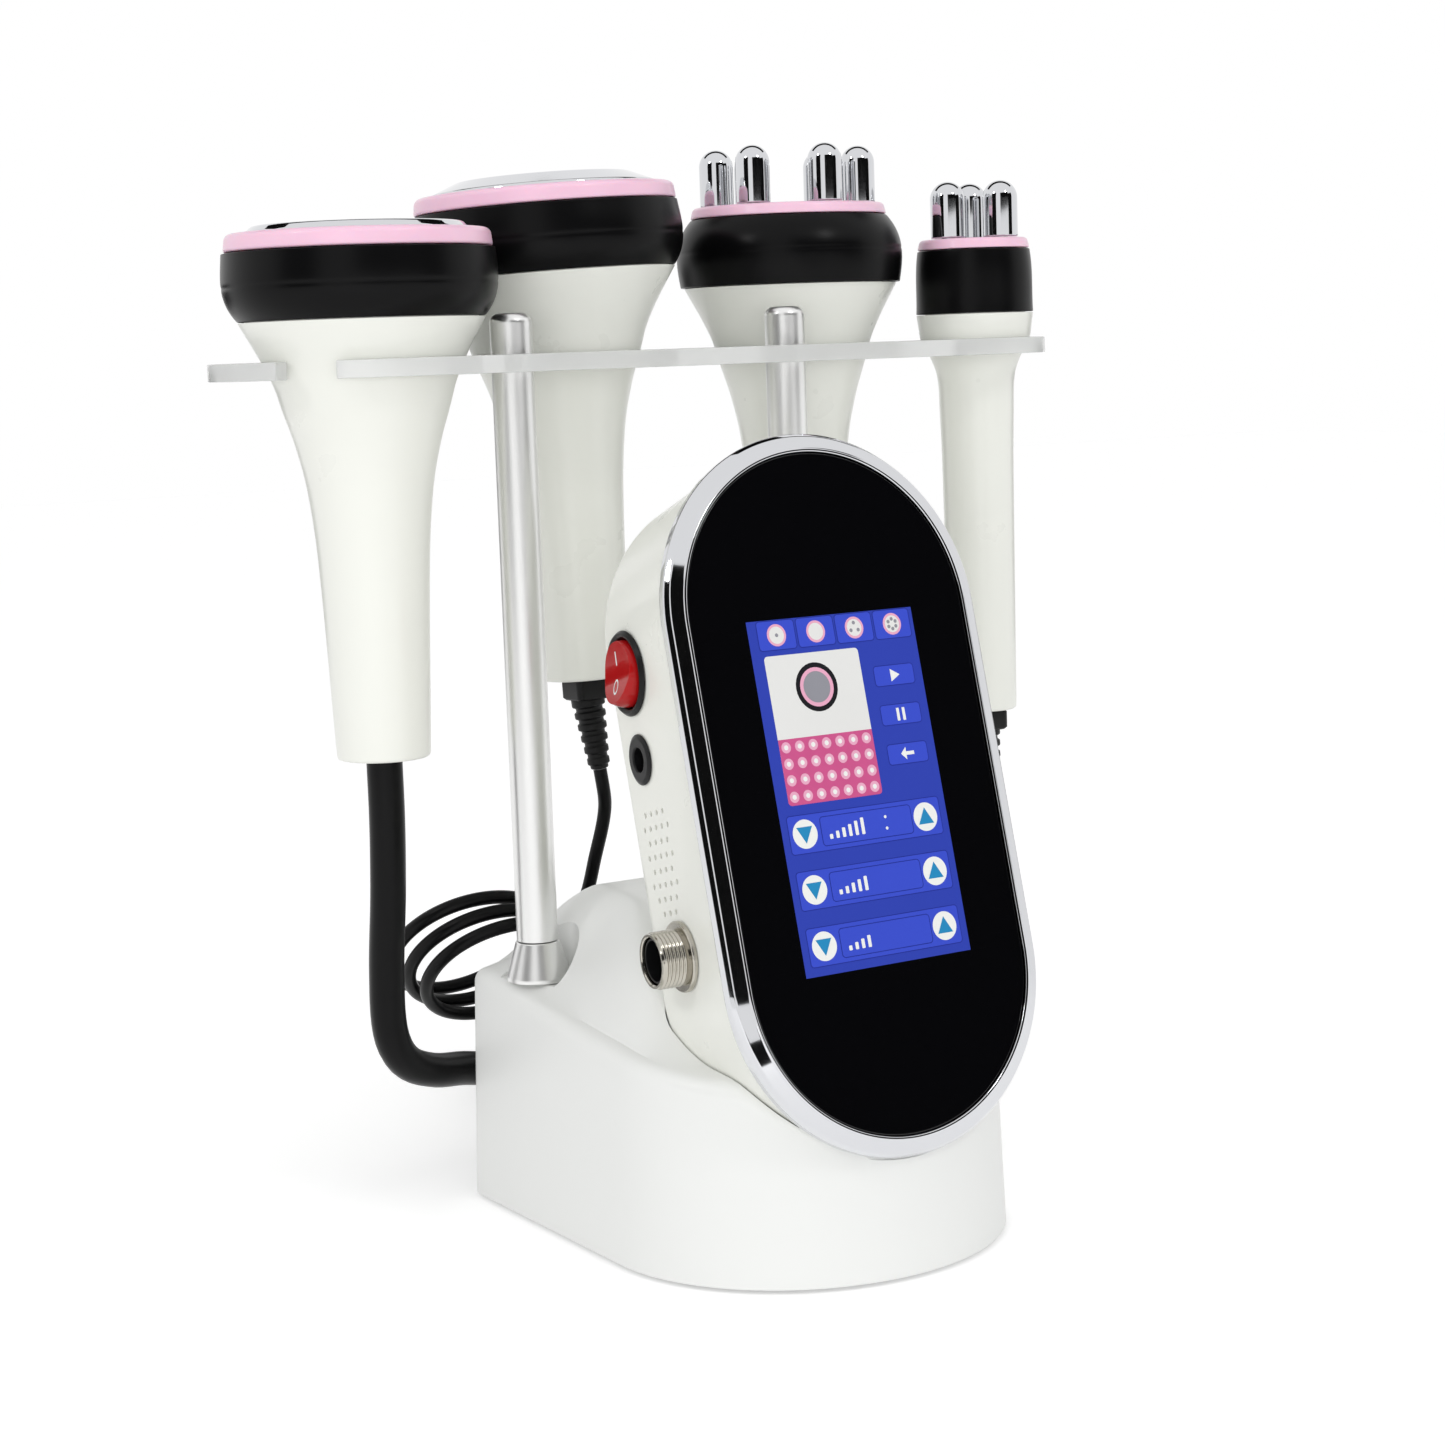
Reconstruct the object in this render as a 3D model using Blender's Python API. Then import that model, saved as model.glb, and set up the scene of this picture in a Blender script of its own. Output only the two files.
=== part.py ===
"""Cavitation slimming machine: a tilted touch-screen unit cradled in a moulded base, and four
handpieces hanging in a clear plate that two aluminium rods carry.

Metres, +Z up. The stand frame has X = 0 on the base's plane of symmetry, Y = 0 on the rods,
+Y to the back and Z = 0 on the floor. The stand empty then moves the whole part so that the
middle of its box, without the cords, lies over the origin.
"""

import math

import bmesh
import bpy
import numpy as np
from mathutils import Matrix, Vector, geometry

# General clearances and walls
FIT_GAP = 0.0003
BOOLEAN_OVERRUN = 0.004
MOULDED_WALL = 0.0028

# Sides of turned pieces, from the largest to the smallest
HEAD_SIDES = 20
BARREL_SIDES = 12
SMALL_SIDES = 8
TINY_SIDES = 5
OUTLINE_ARC_STEPS = 9
EDGE_STEPS = 3
DOME_STEPS = 3

# Base
BASE_HALF_WIDTH = 0.0592
BASE_REAR_Y = 0.0255
BASE_SIDE_END_Y = -0.0641
BASE_FRONT_DEPTH = 0.0557
BASE_CORNER_RADIUS = 0.0055
BASE_DRAFT = math.radians(2.0)
BASE_EDGE_RADIUS = 0.0042
BASE_FOOT_GAP = 0.0012
REAR_SHOULDER_HEIGHT = 0.0700
FRONT_SHOULDER_HEIGHT = 0.0540
RIM_DROP = 0.0160
RIM_DROP_LENGTH = 0.0240
SADDLE_HEIGHT = 0.0920
SADDLE_REAR_DROP = 0.0070
SADDLE_REAR_LENGTH = 0.0200
SADDLE_FRONT_LENGTH = 0.0660
SADDLE_FRONT_Y = -0.0200
SADDLE_CREST_HALF_WIDTH = 0.0210
SADDLE_FOOT_HALF_WIDTH = 0.0540
CRADLE_CREST_HALF_WIDTH = 0.0420
CRADLE_FOOT_HALF_WIDTH = 0.0565
CRADLE_WIDEN_START_Y = -0.0100
CRADLE_WIDEN_END_Y = -0.0660
TOP_LATTICE = 0.0125
CAVITY_LATTICE = 0.0250
COVER_THICKNESS = 0.0025

# Feet and base screws
FOOT_RADIUS = 0.0060
FOOT_RECESS = 0.0010
FOOT_INSET = 0.0105
FRONT_FOOT_Y = -0.0700
BASE_SCREW_REAR_Y = 0.0120
BASE_SCREW_FRONT_Y = -0.0900
BASE_BOSS_RADIUS = 0.0042
SCREW_RADIUS = 0.0014
SCREW_HEAD_RADIUS = 0.0029
SCREW_HEAD_HEIGHT = 0.0012
SCREW_REACH = 0.0080

# Rods, ferrules and the ledges they stand on
ROD_X = 0.0465
ROD_RADIUS = 0.0060
ROD_TOP_Z = 0.2603
ROD_EDGE_RADIUS = 0.0028
LEDGE_Z = 0.0680
LEDGE_POCKET_RADIUS = 0.0122
FERRULE_RADIUS = 0.0094
FERRULE_RIM = 0.0012
FERRULE_HEIGHT = 0.0117
ROD_STUD_RADIUS = 0.0025
ROD_STUD_REACH = 0.0080
LEDGE_THICKNESS = 0.0100

# Holder plate
PLATE_TOP_Z = 0.2488
PLATE_THICKNESS = 0.0050
PLATE_HALF_DEPTH = 0.0458
PLATE_CENTRE_Y = 0.0268
PLATE_LEFT_ARC_X = -0.0780
PLATE_RIGHT_ARC_X = 0.1091
CORD_SLOT_WIDTH = 0.0175
CORD_SLOT_ANGLE = math.radians(54.0)

# Screen unit: u runs across, depth runs back from the glass, rise runs up the glass
UNIT_CENTRE_Y = -0.09893
UNIT_CENTRE_Z = 0.1301
UNIT_TILT = math.radians(14.44)
UNIT_STRAIGHT = 0.0967
ARC_STEPS = 10
GLASS_RADIUS = 0.0441
GLASS_THICKNESS = 0.0012
BEZEL_RADIUS = 0.0500
BEZEL_LEDGE_RADIUS = 0.0415
BEZEL_LEDGE_DEPTH = 0.0015
BEZEL_BACK_DEPTH = 0.0057
BEZEL_LIP = 0.0006
BEZEL_SKIRT_LENGTH = 0.0033
BEZEL_SKIRT_WALL = 0.0024
BEZEL_FACE_SHARES = ((0.15, -1.0), (0.60, -0.33), (0.88, 1.8))
BEZEL_SIDE_SHARE = 0.45
BEZEL_BACK_SHARE = 0.80
BEZEL_INNER_SHARE = 0.70
SHELL_RADIUS = 0.0479
SHELL_WALL = 0.0025
SHELL_TAPER_SHARE = 0.1175
SHELL_DEPTH = 0.0540
SHELL_BACK_RADIUS = 0.0100
DISPLAY_WIDTH = 0.0585
DISPLAY_HEIGHT = 0.1030
DISPLAY_THICKNESS = 0.0034
POCKET_GAP = 0.0004

# Boards inside the unit
BOARD_THICKNESS = 0.0016
BOARD_WIDTH = 0.0580
BOARD_HEIGHT = 0.1000
BOARD_HOLE_INSET = 0.0050
MAIN_BOARD_DEPTH = 0.0170
DRIVER_BOARD_DEPTH = 0.0440
POST_RADIUS = 0.0025
CARRIER_DEPTH = 0.0250
CARRIER_THICKNESS = 0.0015
TRANSFORMER_RADIUS = 0.0120
TRANSFORMER_HEIGHT = 0.0140
TRANSFORMER_RISE = 0.0250
SPEAKER_LENGTH = 0.0300
SPEAKER_WIDTH = 0.0170
SPEAKER_THICKNESS = 0.0050

# Pieces in the unit's left wall
ROCKER_RISE = 0.0419
ROCKER_DEPTH = 0.0350
ROCKER_FLANGE_RADIUS = 0.01175
ROCKER_FLANGE_THICKNESS = 0.0016
ROCKER_BARREL_RADIUS = 0.0104
ROCKER_BORE_RADIUS = 0.0096
ROCKER_BARREL_LENGTH = 0.0160
ROCKER_BORE_DEPTH = 0.0120
ROCKER_PIVOT_OUT = 0.0004
ROCKER_CROWN = 0.0026
ROCKER_FACE_ANGLE = math.radians(8.0)
ROCKER_REST_TILT = math.radians(10.0)
ROCKER_SKIRT = 0.0055
ROCKER_WEDGE_SHARE = 1.5
JACK_RISE = 0.0182
JACK_DEPTH = 0.0356
JACK_FLANGE_RADIUS = 0.0070
JACK_FLANGE_THICKNESS = 0.0011
JACK_BARREL_RADIUS = 0.0057
JACK_BORE_RADIUS = 0.0033
JACK_LENGTH = 0.0120
JACK_BACK_WALL = 0.0020
JACK_PIN_RADIUS = 0.0010
JACK_PIN_RECESS = 0.0046
GRILLE_RISE = -0.0104
GRILLE_DEPTH = 0.0335
GRILLE_PITCH = 0.0039
GRILLE_HOLE_RADIUS = 0.0009
GRILLE_SIDES = 4
GRILLE_ROWS = (4, 5, 4, 5, 4, 5, 4, 3)
SOCKET_RISE = -0.0360
SOCKET_DEPTH = 0.0298
SOCKET_FLANGE_RADIUS = 0.00965
SOCKET_FLANGE_THICKNESS = 0.0016
SOCKET_RADIUS = 0.0078
SOCKET_BORE_RADIUS = 0.0064
SOCKET_PROUD = 0.0095
SOCKET_THREADS = 5
SOCKET_THREAD_DEPTH = 0.0005
SOCKET_INSIDE = 0.0090
SOCKET_NUT_RADIUS = 0.0105
SOCKET_NUT_THICKNESS = 0.0030
SOCKET_RECESS = 0.0080
SOCKET_PIN_RADIUS = 0.0008
SOCKET_PIN_CIRCLE = 0.0032
SOCKET_PIN_PROUD = 0.0038
SOCKET_PINS = 4

# Screw from the base into the unit's back
CRADLE_SCREW_RISE = -0.0560
CRADLE_BOSS_RADIUS = 0.0040
CRADLE_BOSS_LENGTH = 0.0080

# Handpieces: shares common to the three flared shells, from the shoulder to the grip's end
FLARE_SHARES = (
    (0.00, 1.000),
    (0.08, 0.745),
    (0.14, 0.585),
    (0.20, 0.480),
    (0.28, 0.335),
    (0.38, 0.210),
    (0.54, 0.117),
    (0.96, 0.012),
)
BAND_STEP_SHARES = (1.0, 0.78, 0.52, 0.24, 0.0)
SHELL_SKIN = 0.0022
BAND_WALL = 0.0018
GRIP_EDGE = 0.0012
HANDLE_LEAN = math.radians(2.6)
HANDLE_LEAN_HEADING = math.radians(-122.2)
SLIM_FLARE_SHARES = (
    (0.000, 0.975),
    (0.022, 0.926),
    (0.061, 0.827),
    (0.085, 0.654),
    (0.105, 0.469),
    (0.141, 0.247),
    (0.179, 0.160),
    (0.240, 0.136),
    (0.357, 0.086),
    (0.960, 0.010),
)

DISC_SKIN_SHARE = 0.40
DISC_HOLLOW_SHARE = 1.5
DISC_EDGE_SHARE = 0.80
STUD_RADIUS_SHARE = 0.40
TRANSDUCER_FRONT_SHARE = 0.30
TRANSDUCER_RING_SHARE = 0.30
TRANSDUCER_RING_RADIUS_SHARE = 0.90
TRANSDUCER_REAR_RADIUS_SHARE = 0.85
TRANSDUCER_BOLT_RADIUS_SHARE = 0.25

# Strain reliefs of the thin cords
RELIEF_BLOCK = 0.0120
RELIEF_BLOCK_HEIGHT = 0.0065
RELIEF_LENGTH = 0.0219
RELIEF_RADIUS = 0.0052
RELIEF_TIP_SHARE = 1.5
RELIEF_RIBS = 6
RELIEF_LEAN = math.radians(5.0)
RELIEF_GROOVE_SHARE = 0.82
RELIEF_RIB_SHARES = (0.10, 0.55, 0.65)

BODY_CORD_RADIUS = 0.0052
SONIC_CORD_RADIUS = 0.0021
GRIP_GLAND_FLANGE = 0.0030
GRIP_GLAND_RADIUS = 0.0085
WALL_GLAND_FLANGE = 0.0035
GLAND_SKIN_SHARE = 0.25
BODY_GLAND_RADIUS = 0.0085
BODY_GLAND_X = 0.0020
BODY_GLAND_Z = 0.0360
SONIC_GLAND_RADIUS = 0.0050
SONIC_GLAND_X = -0.0090
SONIC_GLAND_Z = 0.0440

# Cords: routes are points chosen by hand, in the stand's frame
LOOP_POINTS = 24
CORD_STEP = 5
BODY_LEAD = (
    (-0.0848, 0.0180, 0.0980),
    (-0.0845, 0.0225, 0.0720),
    (-0.0828, 0.0255, 0.0530),
    (-0.0770, 0.0285, 0.0430),
    (-0.0660, 0.0330, 0.0375),
    (-0.0512, 0.0400, 0.0342),
    (-0.0330, 0.0455, 0.0290),
    (-0.0080, 0.0430, 0.0195),
    (0.0220, 0.0385, 0.0100),
)
BODY_TAIL = (
    (0.0020, 0.0700, 0.0205),
    (0.0020, 0.0540, 0.0310),
)
BODY_COIL_CENTRE = (0.0640, 0.0990, 0.0054)
BODY_COIL_RADIUS = 0.0620
BODY_COIL_TURNS = 2.75
BODY_COIL_PITCH = 0.0112
BODY_COIL_LAYER = 0.0109
SONIC_LEAD = (
    (0.0008, 0.0405, 0.1075),
    (-0.0008, 0.0445, 0.0930),
    (-0.0030, 0.0500, 0.0770),
    (-0.0085, 0.0600, 0.0630),
    (-0.0180, 0.0675, 0.0562),
)
SONIC_TAIL = (
    (-0.0110, 0.0372, 0.0640),
    (-0.0090, 0.0385, 0.0540),
)
SONIC_COIL_CENTRE = (-0.0370, 0.0515, 0.0650)
SONIC_COIL_SHIFT = (0.0032, -0.0050, -0.0036)
SONIC_COIL_ALONG = (0.996, -0.040, -0.075)
SONIC_COIL_UP = (0.028, -0.677, 0.735)
SONIC_COIL_START = math.radians(-60.0)
SONIC_COIL_RADIUS = 0.0244
SONIC_COIL_TURNS = 2.67

# Handpieces from left to right: their places on the plate, and heights from the plate's top
BODY_HANDLE = {
    "x": -0.0849,
    "y": 0.0160,
    "lean": 0.0,
    "flare_shares": FLARE_SHARES,
    "ring_rise": 0.0354,
    "ring_height": 0.0051,
    "ring_radius": 0.0375,
    "band_radius": 0.0386,
    "band_peak_share": 0.60,
    "shoulder_radius": 0.0345,
    "shoulder_rise": 0.0109,
    "grip_length": 0.1238,
    "end_radius": 0.0133,
    "disc_radius": 0.0315,
    "disc_flat_radius": 0.0295,
    "disc_proud": 0.0020,
    "stack_radius": 0.0200,
    "stack_height": 0.0300,
    "cord_radius": BODY_CORD_RADIUS,
    "ribbed": False,
}
SONIC_HANDLE = {
    "x": -0.0082,
    "y": 0.0422,
    "lean": HANDLE_LEAN,
    "flare_shares": FLARE_SHARES,
    "ring_rise": 0.0484,
    "ring_height": 0.0051,
    "ring_radius": 0.0396,
    "band_radius": 0.0409,
    "band_peak_share": 0.52,
    "shoulder_radius": 0.0376,
    "shoulder_rise": 0.0234,
    "grip_length": 0.1225,
    "end_radius": 0.0136,
    "disc_radius": 0.0340,
    "disc_flat_radius": 0.0260,
    "disc_proud": 0.0040,
    "stack_radius": 0.0200,
    "stack_height": 0.0300,
    "cord_radius": SONIC_CORD_RADIUS,
    "ribbed": True,
}
HEXAPOLAR_HANDLE = {
    "x": 0.0732,
    "y": 0.0360,
    "lean": 0.0,
    "flare_shares": FLARE_SHARES,
    "ring_rise": 0.0432,
    "ring_height": 0.0034,
    "ring_radius": 0.0308,
    "band_radius": 0.0355,
    "band_peak_share": 0.40,
    "shoulder_radius": 0.0334,
    "shoulder_rise": 0.0184,
    "grip_length": 0.1220,
    "end_radius": 0.0130,
    "cord_radius": SONIC_CORD_RADIUS,
    "ribbed": False,
    "electrodes": 6,
    "electrode_circle": 0.0222,
    "electrode_radius": 0.0053,
    "electrode_height": 0.0180,
    "electrode_heading": math.radians(-32.2),
}
TRIPOLAR_HANDLE = {
    "x": 0.1289,
    "y": 0.0137,
    "lean": 0.0,
    "flare_shares": SLIM_FLARE_SHARES,
    "ring_rise": 0.0314,
    "ring_height": 0.0032,
    "ring_radius": 0.0178,
    "band_radius": 0.0185,
    "band_peak_share": 0.40,
    "shoulder_radius": 0.0188,
    "shoulder_rise": 0.0078,
    "grip_length": 0.1272,
    "end_radius": 0.0108,
    "cord_radius": SONIC_CORD_RADIUS,
    "ribbed": True,
    "electrodes": 3,
    "electrode_circle": 0.0096,
    "electrode_radius": 0.0055,
    "electrode_height": 0.0180,
    "electrode_heading": math.radians(57.8),
}


def srgb(red, green, blue):
    """Turns display values into the linear ones that a material takes."""
    shares = (red / 255, green / 255, blue / 255)
    return tuple(c / 12.92 if c <= 0.04045 else ((c + 0.055) / 1.055) ** 2.4 for c in shares)


WHITE_PLASTIC = ("white_plastic", srgb(238, 238, 234), 0.35, 0.0)
IVORY_PLASTIC = ("ivory_plastic", srgb(243, 243, 238), 0.28, 0.0)
BLACK_PLASTIC = ("black_plastic", srgb(24, 24, 26), 0.45, 0.0)
BLACK_RUBBER = ("black_rubber", srgb(20, 20, 22), 0.60, 0.0)
PINK_PLASTIC = ("pink_plastic", srgb(240, 176, 206), 0.35, 0.0)
CLEAR_PLASTIC = ("clear_plastic", srgb(232, 236, 238), 0.20, 0.0)
RED_PLASTIC = ("red_plastic", srgb(190, 24, 26), 0.20, 0.0)
BLACK_GLASS = ("black_glass", srgb(8, 8, 10), 0.06, 0.0)
SCREEN = ("screen", srgb(52, 68, 190), 0.30, 0.0)
CHROME = ("chrome", srgb(214, 216, 220), 0.06, 1.0)
ALUMINIUM = ("aluminium", srgb(196, 198, 202), 0.25, 1.0)
STEEL = ("steel", srgb(150, 150, 152), 0.35, 1.0)
BRASS = ("brass", srgb(206, 168, 92), 0.35, 1.0)
GREEN_BOARD = ("green_board", srgb(24, 84, 52), 0.50, 0.0)


# Scene and mesh helpers


def clear_scene():
    """Removes every object of the startup scene."""
    for obj in list(bpy.data.objects):
        bpy.data.objects.remove(obj, do_unlink=True)


def material(finish):
    """Returns the Principled material of a finish, made once."""
    name, colour, roughness, metallic = finish
    found = bpy.data.materials.get(name)
    if found:
        return found
    made = bpy.data.materials.new(name)
    made.use_nodes = True
    shader = made.node_tree.nodes["Principled BSDF"]
    shader.inputs["Base Color"].default_value = (*colour, 1.0)
    shader.inputs["Roughness"].default_value = roughness
    shader.inputs["Metallic"].default_value = metallic
    return made


def empty(name, parent=None, location=(0, 0, 0), rotation=None):
    """Adds an empty that carries other pieces."""
    holder = bpy.data.objects.new(name, None)
    bpy.context.scene.collection.objects.link(holder)
    holder.parent = parent
    holder.location = location
    if rotation is not None:
        holder.rotation_euler = rotation.to_euler()
    return holder


def finish_object(name, bm, finish, parent, smooth=True):
    """Turns a bmesh into an object of one finish under its parent."""
    bmesh.ops.recalc_face_normals(bm, faces=bm.faces)
    mesh = bpy.data.meshes.new(name)
    bm.to_mesh(mesh)
    bm.free()
    obj = bpy.data.objects.new(name, mesh)
    bpy.context.scene.collection.objects.link(obj)
    obj.parent = parent
    if finish:
        mesh.materials.append(material(finish))
    if smooth:
        mesh.shade_smooth()
        mesh.set_sharp_from_angle(angle=math.radians(35))
    return obj


def helper_object(name, bm, parent):
    """Makes a cutter or another helper, which isn't a piece of the machine."""
    obj = finish_object(name, bm, None, parent, smooth=False)
    obj.hide_render = True
    obj.display_type = "WIRE"
    return obj


def combine(obj, other, operation):
    """Adds a Boolean of the other object."""
    modifier = obj.modifiers.new(f"{operation.lower()}_{other.name}", "BOOLEAN")
    modifier.operation = operation
    modifier.object = other
    modifier.solver = "EXACT"


def cut(obj, cutter):
    combine(obj, cutter, "DIFFERENCE")


def bridge(bm, lower, upper):
    """Joins two rings of as many vertices each with quads, or fans to a ring of one."""
    count = max(len(lower), len(upper))
    for i in range(count):
        j = (i + 1) % count
        corners = [
            lower[i % len(lower)],
            lower[j % len(lower)],
            upper[j % len(upper)],
            upper[i % len(upper)],
        ]
        corners = list(dict.fromkeys(corners))
        if len(corners) > 2:
            bm.faces.new(corners)


def loft(bm, rings, closed=False):
    """Skins rings of points in turn. An open loft gets end caps, a closed one joins up."""
    made = [[bm.verts.new(point) for point in ring] for ring in rings]
    for lower, upper in zip(made, made[1:]):
        bridge(bm, lower, upper)
    if closed:
        bridge(bm, made[-1], made[0])
        return
    for ring in (made[0], made[-1]):
        if len(ring) > 2:
            bm.faces.new(ring)


def turned(bm, profile, sides, matrix=None, closed=False):
    """Turns a profile of (radius, height) pairs about Z. Radius zero closes it on the axis."""
    move = matrix or Matrix()
    rings = []
    for radius, height in profile:
        if radius == 0:
            rings.append([move @ Vector((0, 0, height))])
            continue
        angles = [math.tau * k / sides for k in range(sides)]
        rings.append(
            [move @ Vector((radius * math.cos(a), radius * math.sin(a), height)) for a in angles]
        )
    loft(bm, rings, closed)


def cylinder(bm, radius, low, high, sides, matrix=None):
    turned(bm, ((0, low), (radius, low), (radius, high), (0, high)), sides, matrix)


def box(bm, low, high):
    """Adds a box between two corners."""
    (x0, y0, z0), (x1, y1, z1) = low, high
    rings = [[(x0, y0, z), (x1, y0, z), (x1, y1, z), (x0, y1, z)] for z in (z0, z1)]
    loft(bm, rings)


def at(x, y, z):
    return Matrix.Translation((x, y, z))


def ramp(value, start, end):
    """Smooth step from zero at start to one at end."""
    share = min(max((value - start) / (end - start), 0.0), 1.0)
    return share * share * (3 - 2 * share)


def blend(first, second, share):
    return first + (second - first) * share


# Cord helpers


def smooth_route(route, spacing, straight=(False, False)):
    """Points at even steps along a smooth curve through a route's own points.

    A straight end keeps its outermost stretch as one straight run.
    """
    points = [Vector(point) for point in route]
    ends = zip([points[0], *points[:-1]], [*points[1:], points[-1]])
    tangents = [(after - before).normalized() for before, after in ends]
    first, last = 0, len(points) - 1
    if straight[0]:
        first = 1
        tangents[1] = (points[1] - points[0]).normalized()
    if straight[1]:
        last -= 1
        tangents[last] = (points[-1] - points[-2]).normalized()
    fine = []
    for i in range(first, last):
        start, end = points[i], points[i + 1]
        third = (end - start).length / 3
        handles = (start + tangents[i] * third, end - tangents[i + 1] * third)
        fine += geometry.interpolate_bezier(start, *handles, end, LOOP_POINTS)[:-1]
    fine.append(points[last])
    lengths = [0.0]
    for before, after in zip(fine, fine[1:]):
        lengths.append(lengths[-1] + (after - before).length)
    steps = max(2, round(lengths[-1] / spacing))
    chosen = np.linspace(0, lengths[-1], steps + 1)
    columns = [np.interp(chosen, lengths, [point[axis] for point in fine]) for axis in range(3)]
    found = [Vector(row) for row in zip(*columns)]
    return points[:first] + found + points[last + 1 :]


def tube(name, points, radius, parent, bevel_resolution=2):
    """A cord along straight pieces between its points, closed at both ends."""
    curve = bpy.data.curves.new(name, "CURVE")
    curve.dimensions = "3D"
    curve.bevel_depth = radius
    curve.bevel_resolution = bevel_resolution
    curve.use_fill_caps = True
    spline = curve.splines.new("POLY")
    spline.points.add(len(points) - 1)
    for spot, point in zip(spline.points, points):
        spot.co = (*point, 1.0)
    curve.materials.append(material(BLACK_RUBBER))
    obj = bpy.data.objects.new(name, curve)
    bpy.context.scene.collection.objects.link(obj)
    obj.parent = parent
    return obj


# Base


def base_outline(inset):
    """Plan outline of the base, drawn in by a distance, from the middle of the back round."""
    half = BASE_HALF_WIDTH - inset
    rear = BASE_REAR_Y - inset
    corner = max(BASE_CORNER_RADIUS - inset, BASE_EDGE_RADIUS / 4)
    depth = BASE_FRONT_DEPTH - inset
    points = [(half * share, rear) for share in (0.0, 0.3, 0.6)]
    for k in range(EDGE_STEPS + 1):
        angle = math.pi / 2 * (1 - k / EDGE_STEPS)
        centre = (half - corner, rear - corner)
        points.append((centre[0] + corner * math.cos(angle), centre[1] + corner * math.sin(angle)))
    side = rear - corner - BASE_SIDE_END_Y
    points += [(half, rear - corner - side * share) for share in (0.25, 0.5, 0.75)]
    for k in range(OUTLINE_ARC_STEPS + 1):
        angle = math.pi / 2 * k / OUTLINE_ARC_STEPS
        points.append((half * math.cos(angle), BASE_SIDE_END_Y - depth * math.sin(angle)))
    mirrored = [(-x, y) for x, y in points[1:-1]]
    return points + mirrored[::-1]


def shoulder_height(y):
    """Height of the top edge of the base's wall, which falls to the front."""
    front = BASE_SIDE_END_Y - BASE_FRONT_DEPTH
    share = (BASE_REAR_Y - y) / (BASE_REAR_Y - front)
    straight = blend(REAR_SHOULDER_HEIGHT, FRONT_SHOULDER_HEIGHT, share)
    return straight - RIM_DROP * ramp(y, front + RIM_DROP_LENGTH, front)


def top_height(x, y):
    """Height of the base's top: its shoulder, and the saddle that rises to the unit's back."""
    low = shoulder_height(y)
    crest = SADDLE_HEIGHT - SADDLE_REAR_DROP * ramp(
        y, BASE_REAR_Y - SADDLE_REAR_LENGTH, BASE_REAR_Y
    )
    along = ramp(y, SADDLE_FRONT_Y - SADDLE_FRONT_LENGTH, SADDLE_FRONT_Y)
    widen = ramp(y, CRADLE_WIDEN_START_Y, CRADLE_WIDEN_END_Y)
    foot = blend(SADDLE_FOOT_HALF_WIDTH, CRADLE_FOOT_HALF_WIDTH, widen)
    top = blend(SADDLE_CREST_HALF_WIDTH, CRADLE_CREST_HALF_WIDTH, widen)
    return low + (crest - low) * along * ramp(abs(x), foot, top)


def moulded_solid(wall, bottom, lattice):
    """Solid of the base drawn in by a wall: draughted sides, a round edge and the saddle."""
    bm = bmesh.new()
    rings = [[(x, y, bottom) for x, y in base_outline(wall)]]
    rim = base_outline(wall + BASE_EDGE_RADIUS)
    for k in range(EDGE_STEPS + 1):
        angle = math.pi / 2 * k / EDGE_STEPS
        ring = []
        for i, (x, y) in enumerate(rim):
            z = top_height(x, y) - wall - BASE_EDGE_RADIUS * (1 - math.sin(angle))
            inset = wall + BASE_EDGE_RADIUS * (1 - math.cos(angle)) + draught(z)
            ring.append((*base_outline(inset)[i], z))
        rings.append(ring)
    made = [[bm.verts.new(point) for point in ring] for ring in rings]
    for lower, upper in zip(made, made[1:]):
        bridge(bm, lower, upper)
    bm.faces.new(made[0])
    rim = [Vector(vert.co[:2]) for vert in made[-1]]
    inside = lattice_points(rim, lattice)
    edges = [(i, (i + 1) % len(rim)) for i in range(len(rim))]
    flat, _, faces, origin, _, _ = geometry.delaunay_2d_cdt(
        rim + inside, edges, [], 1, FIT_GAP / 10
    )
    verts = []
    for point, sources in zip(flat, origin):
        known = [i for i in sources if i < len(rim)]
        if known:
            verts.append(made[-1][known[0]])
        else:
            verts.append(bm.verts.new((*point, top_height(*point) - wall)))
    for face in faces:
        bm.faces.new([verts[i] for i in face])
    return bm


def lattice_points(rim, spacing):
    """Points of a square lattice that lie well inside a rim."""
    low = Vector((min(p.x for p in rim), min(p.y for p in rim)))
    high = Vector((max(p.x for p in rim), max(p.y for p in rim)))
    counts = [max(2, round((high[i] - low[i]) / spacing)) for i in range(2)]
    inside = []
    for i in range(1, counts[0]):
        for j in range(1, counts[1]):
            point = Vector((blend(low.x, high.x, i / counts[0]), blend(low.y, high.y, j / counts[1])))
            if inside_rim(point, rim) and min((point - p).length for p in rim) > spacing * 0.4:
                inside.append(point)
    return inside


def inside_rim(point, rim):
    """Tells whether a point lies inside a closed outline, by counting crossings."""
    found = False
    for first, second in zip(rim, rim[1:] + rim[:1]):
        if (first.y > point.y) != (second.y > point.y):
            cross = first.x + (point.y - first.y) * (second.x - first.x) / (second.y - first.y)
            found ^= point.x < cross
    return found


def base_screw_places():
    """Name and plan position of each screw that holds the cover."""
    return {
        "base_screw_rear": (0.0, BASE_SCREW_REAR_Y),
        "base_screw_front": (0.0, BASE_SCREW_FRONT_Y),
    }


def gland_places():
    """Place, flange radius and cord radius of each outlet in the base's back wall."""
    return {
        "body_cord_gland": (BODY_GLAND_X, BODY_GLAND_Z, BODY_GLAND_RADIUS, BODY_CORD_RADIUS),
        "sonic_cord_gland": (SONIC_GLAND_X, SONIC_GLAND_Z, SONIC_GLAND_RADIUS, SONIC_CORD_RADIUS),
    }


def draught(z):
    """How far the base's wall has leaned in at a height."""
    return (z - BASE_FOOT_GAP) * math.tan(BASE_DRAFT)


def gland_neck(cord):
    """Radius of the part of a gland that goes through a wall, round a cord of some radius."""
    return cord * (1 + GLAND_SKIN_SHARE)


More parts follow.
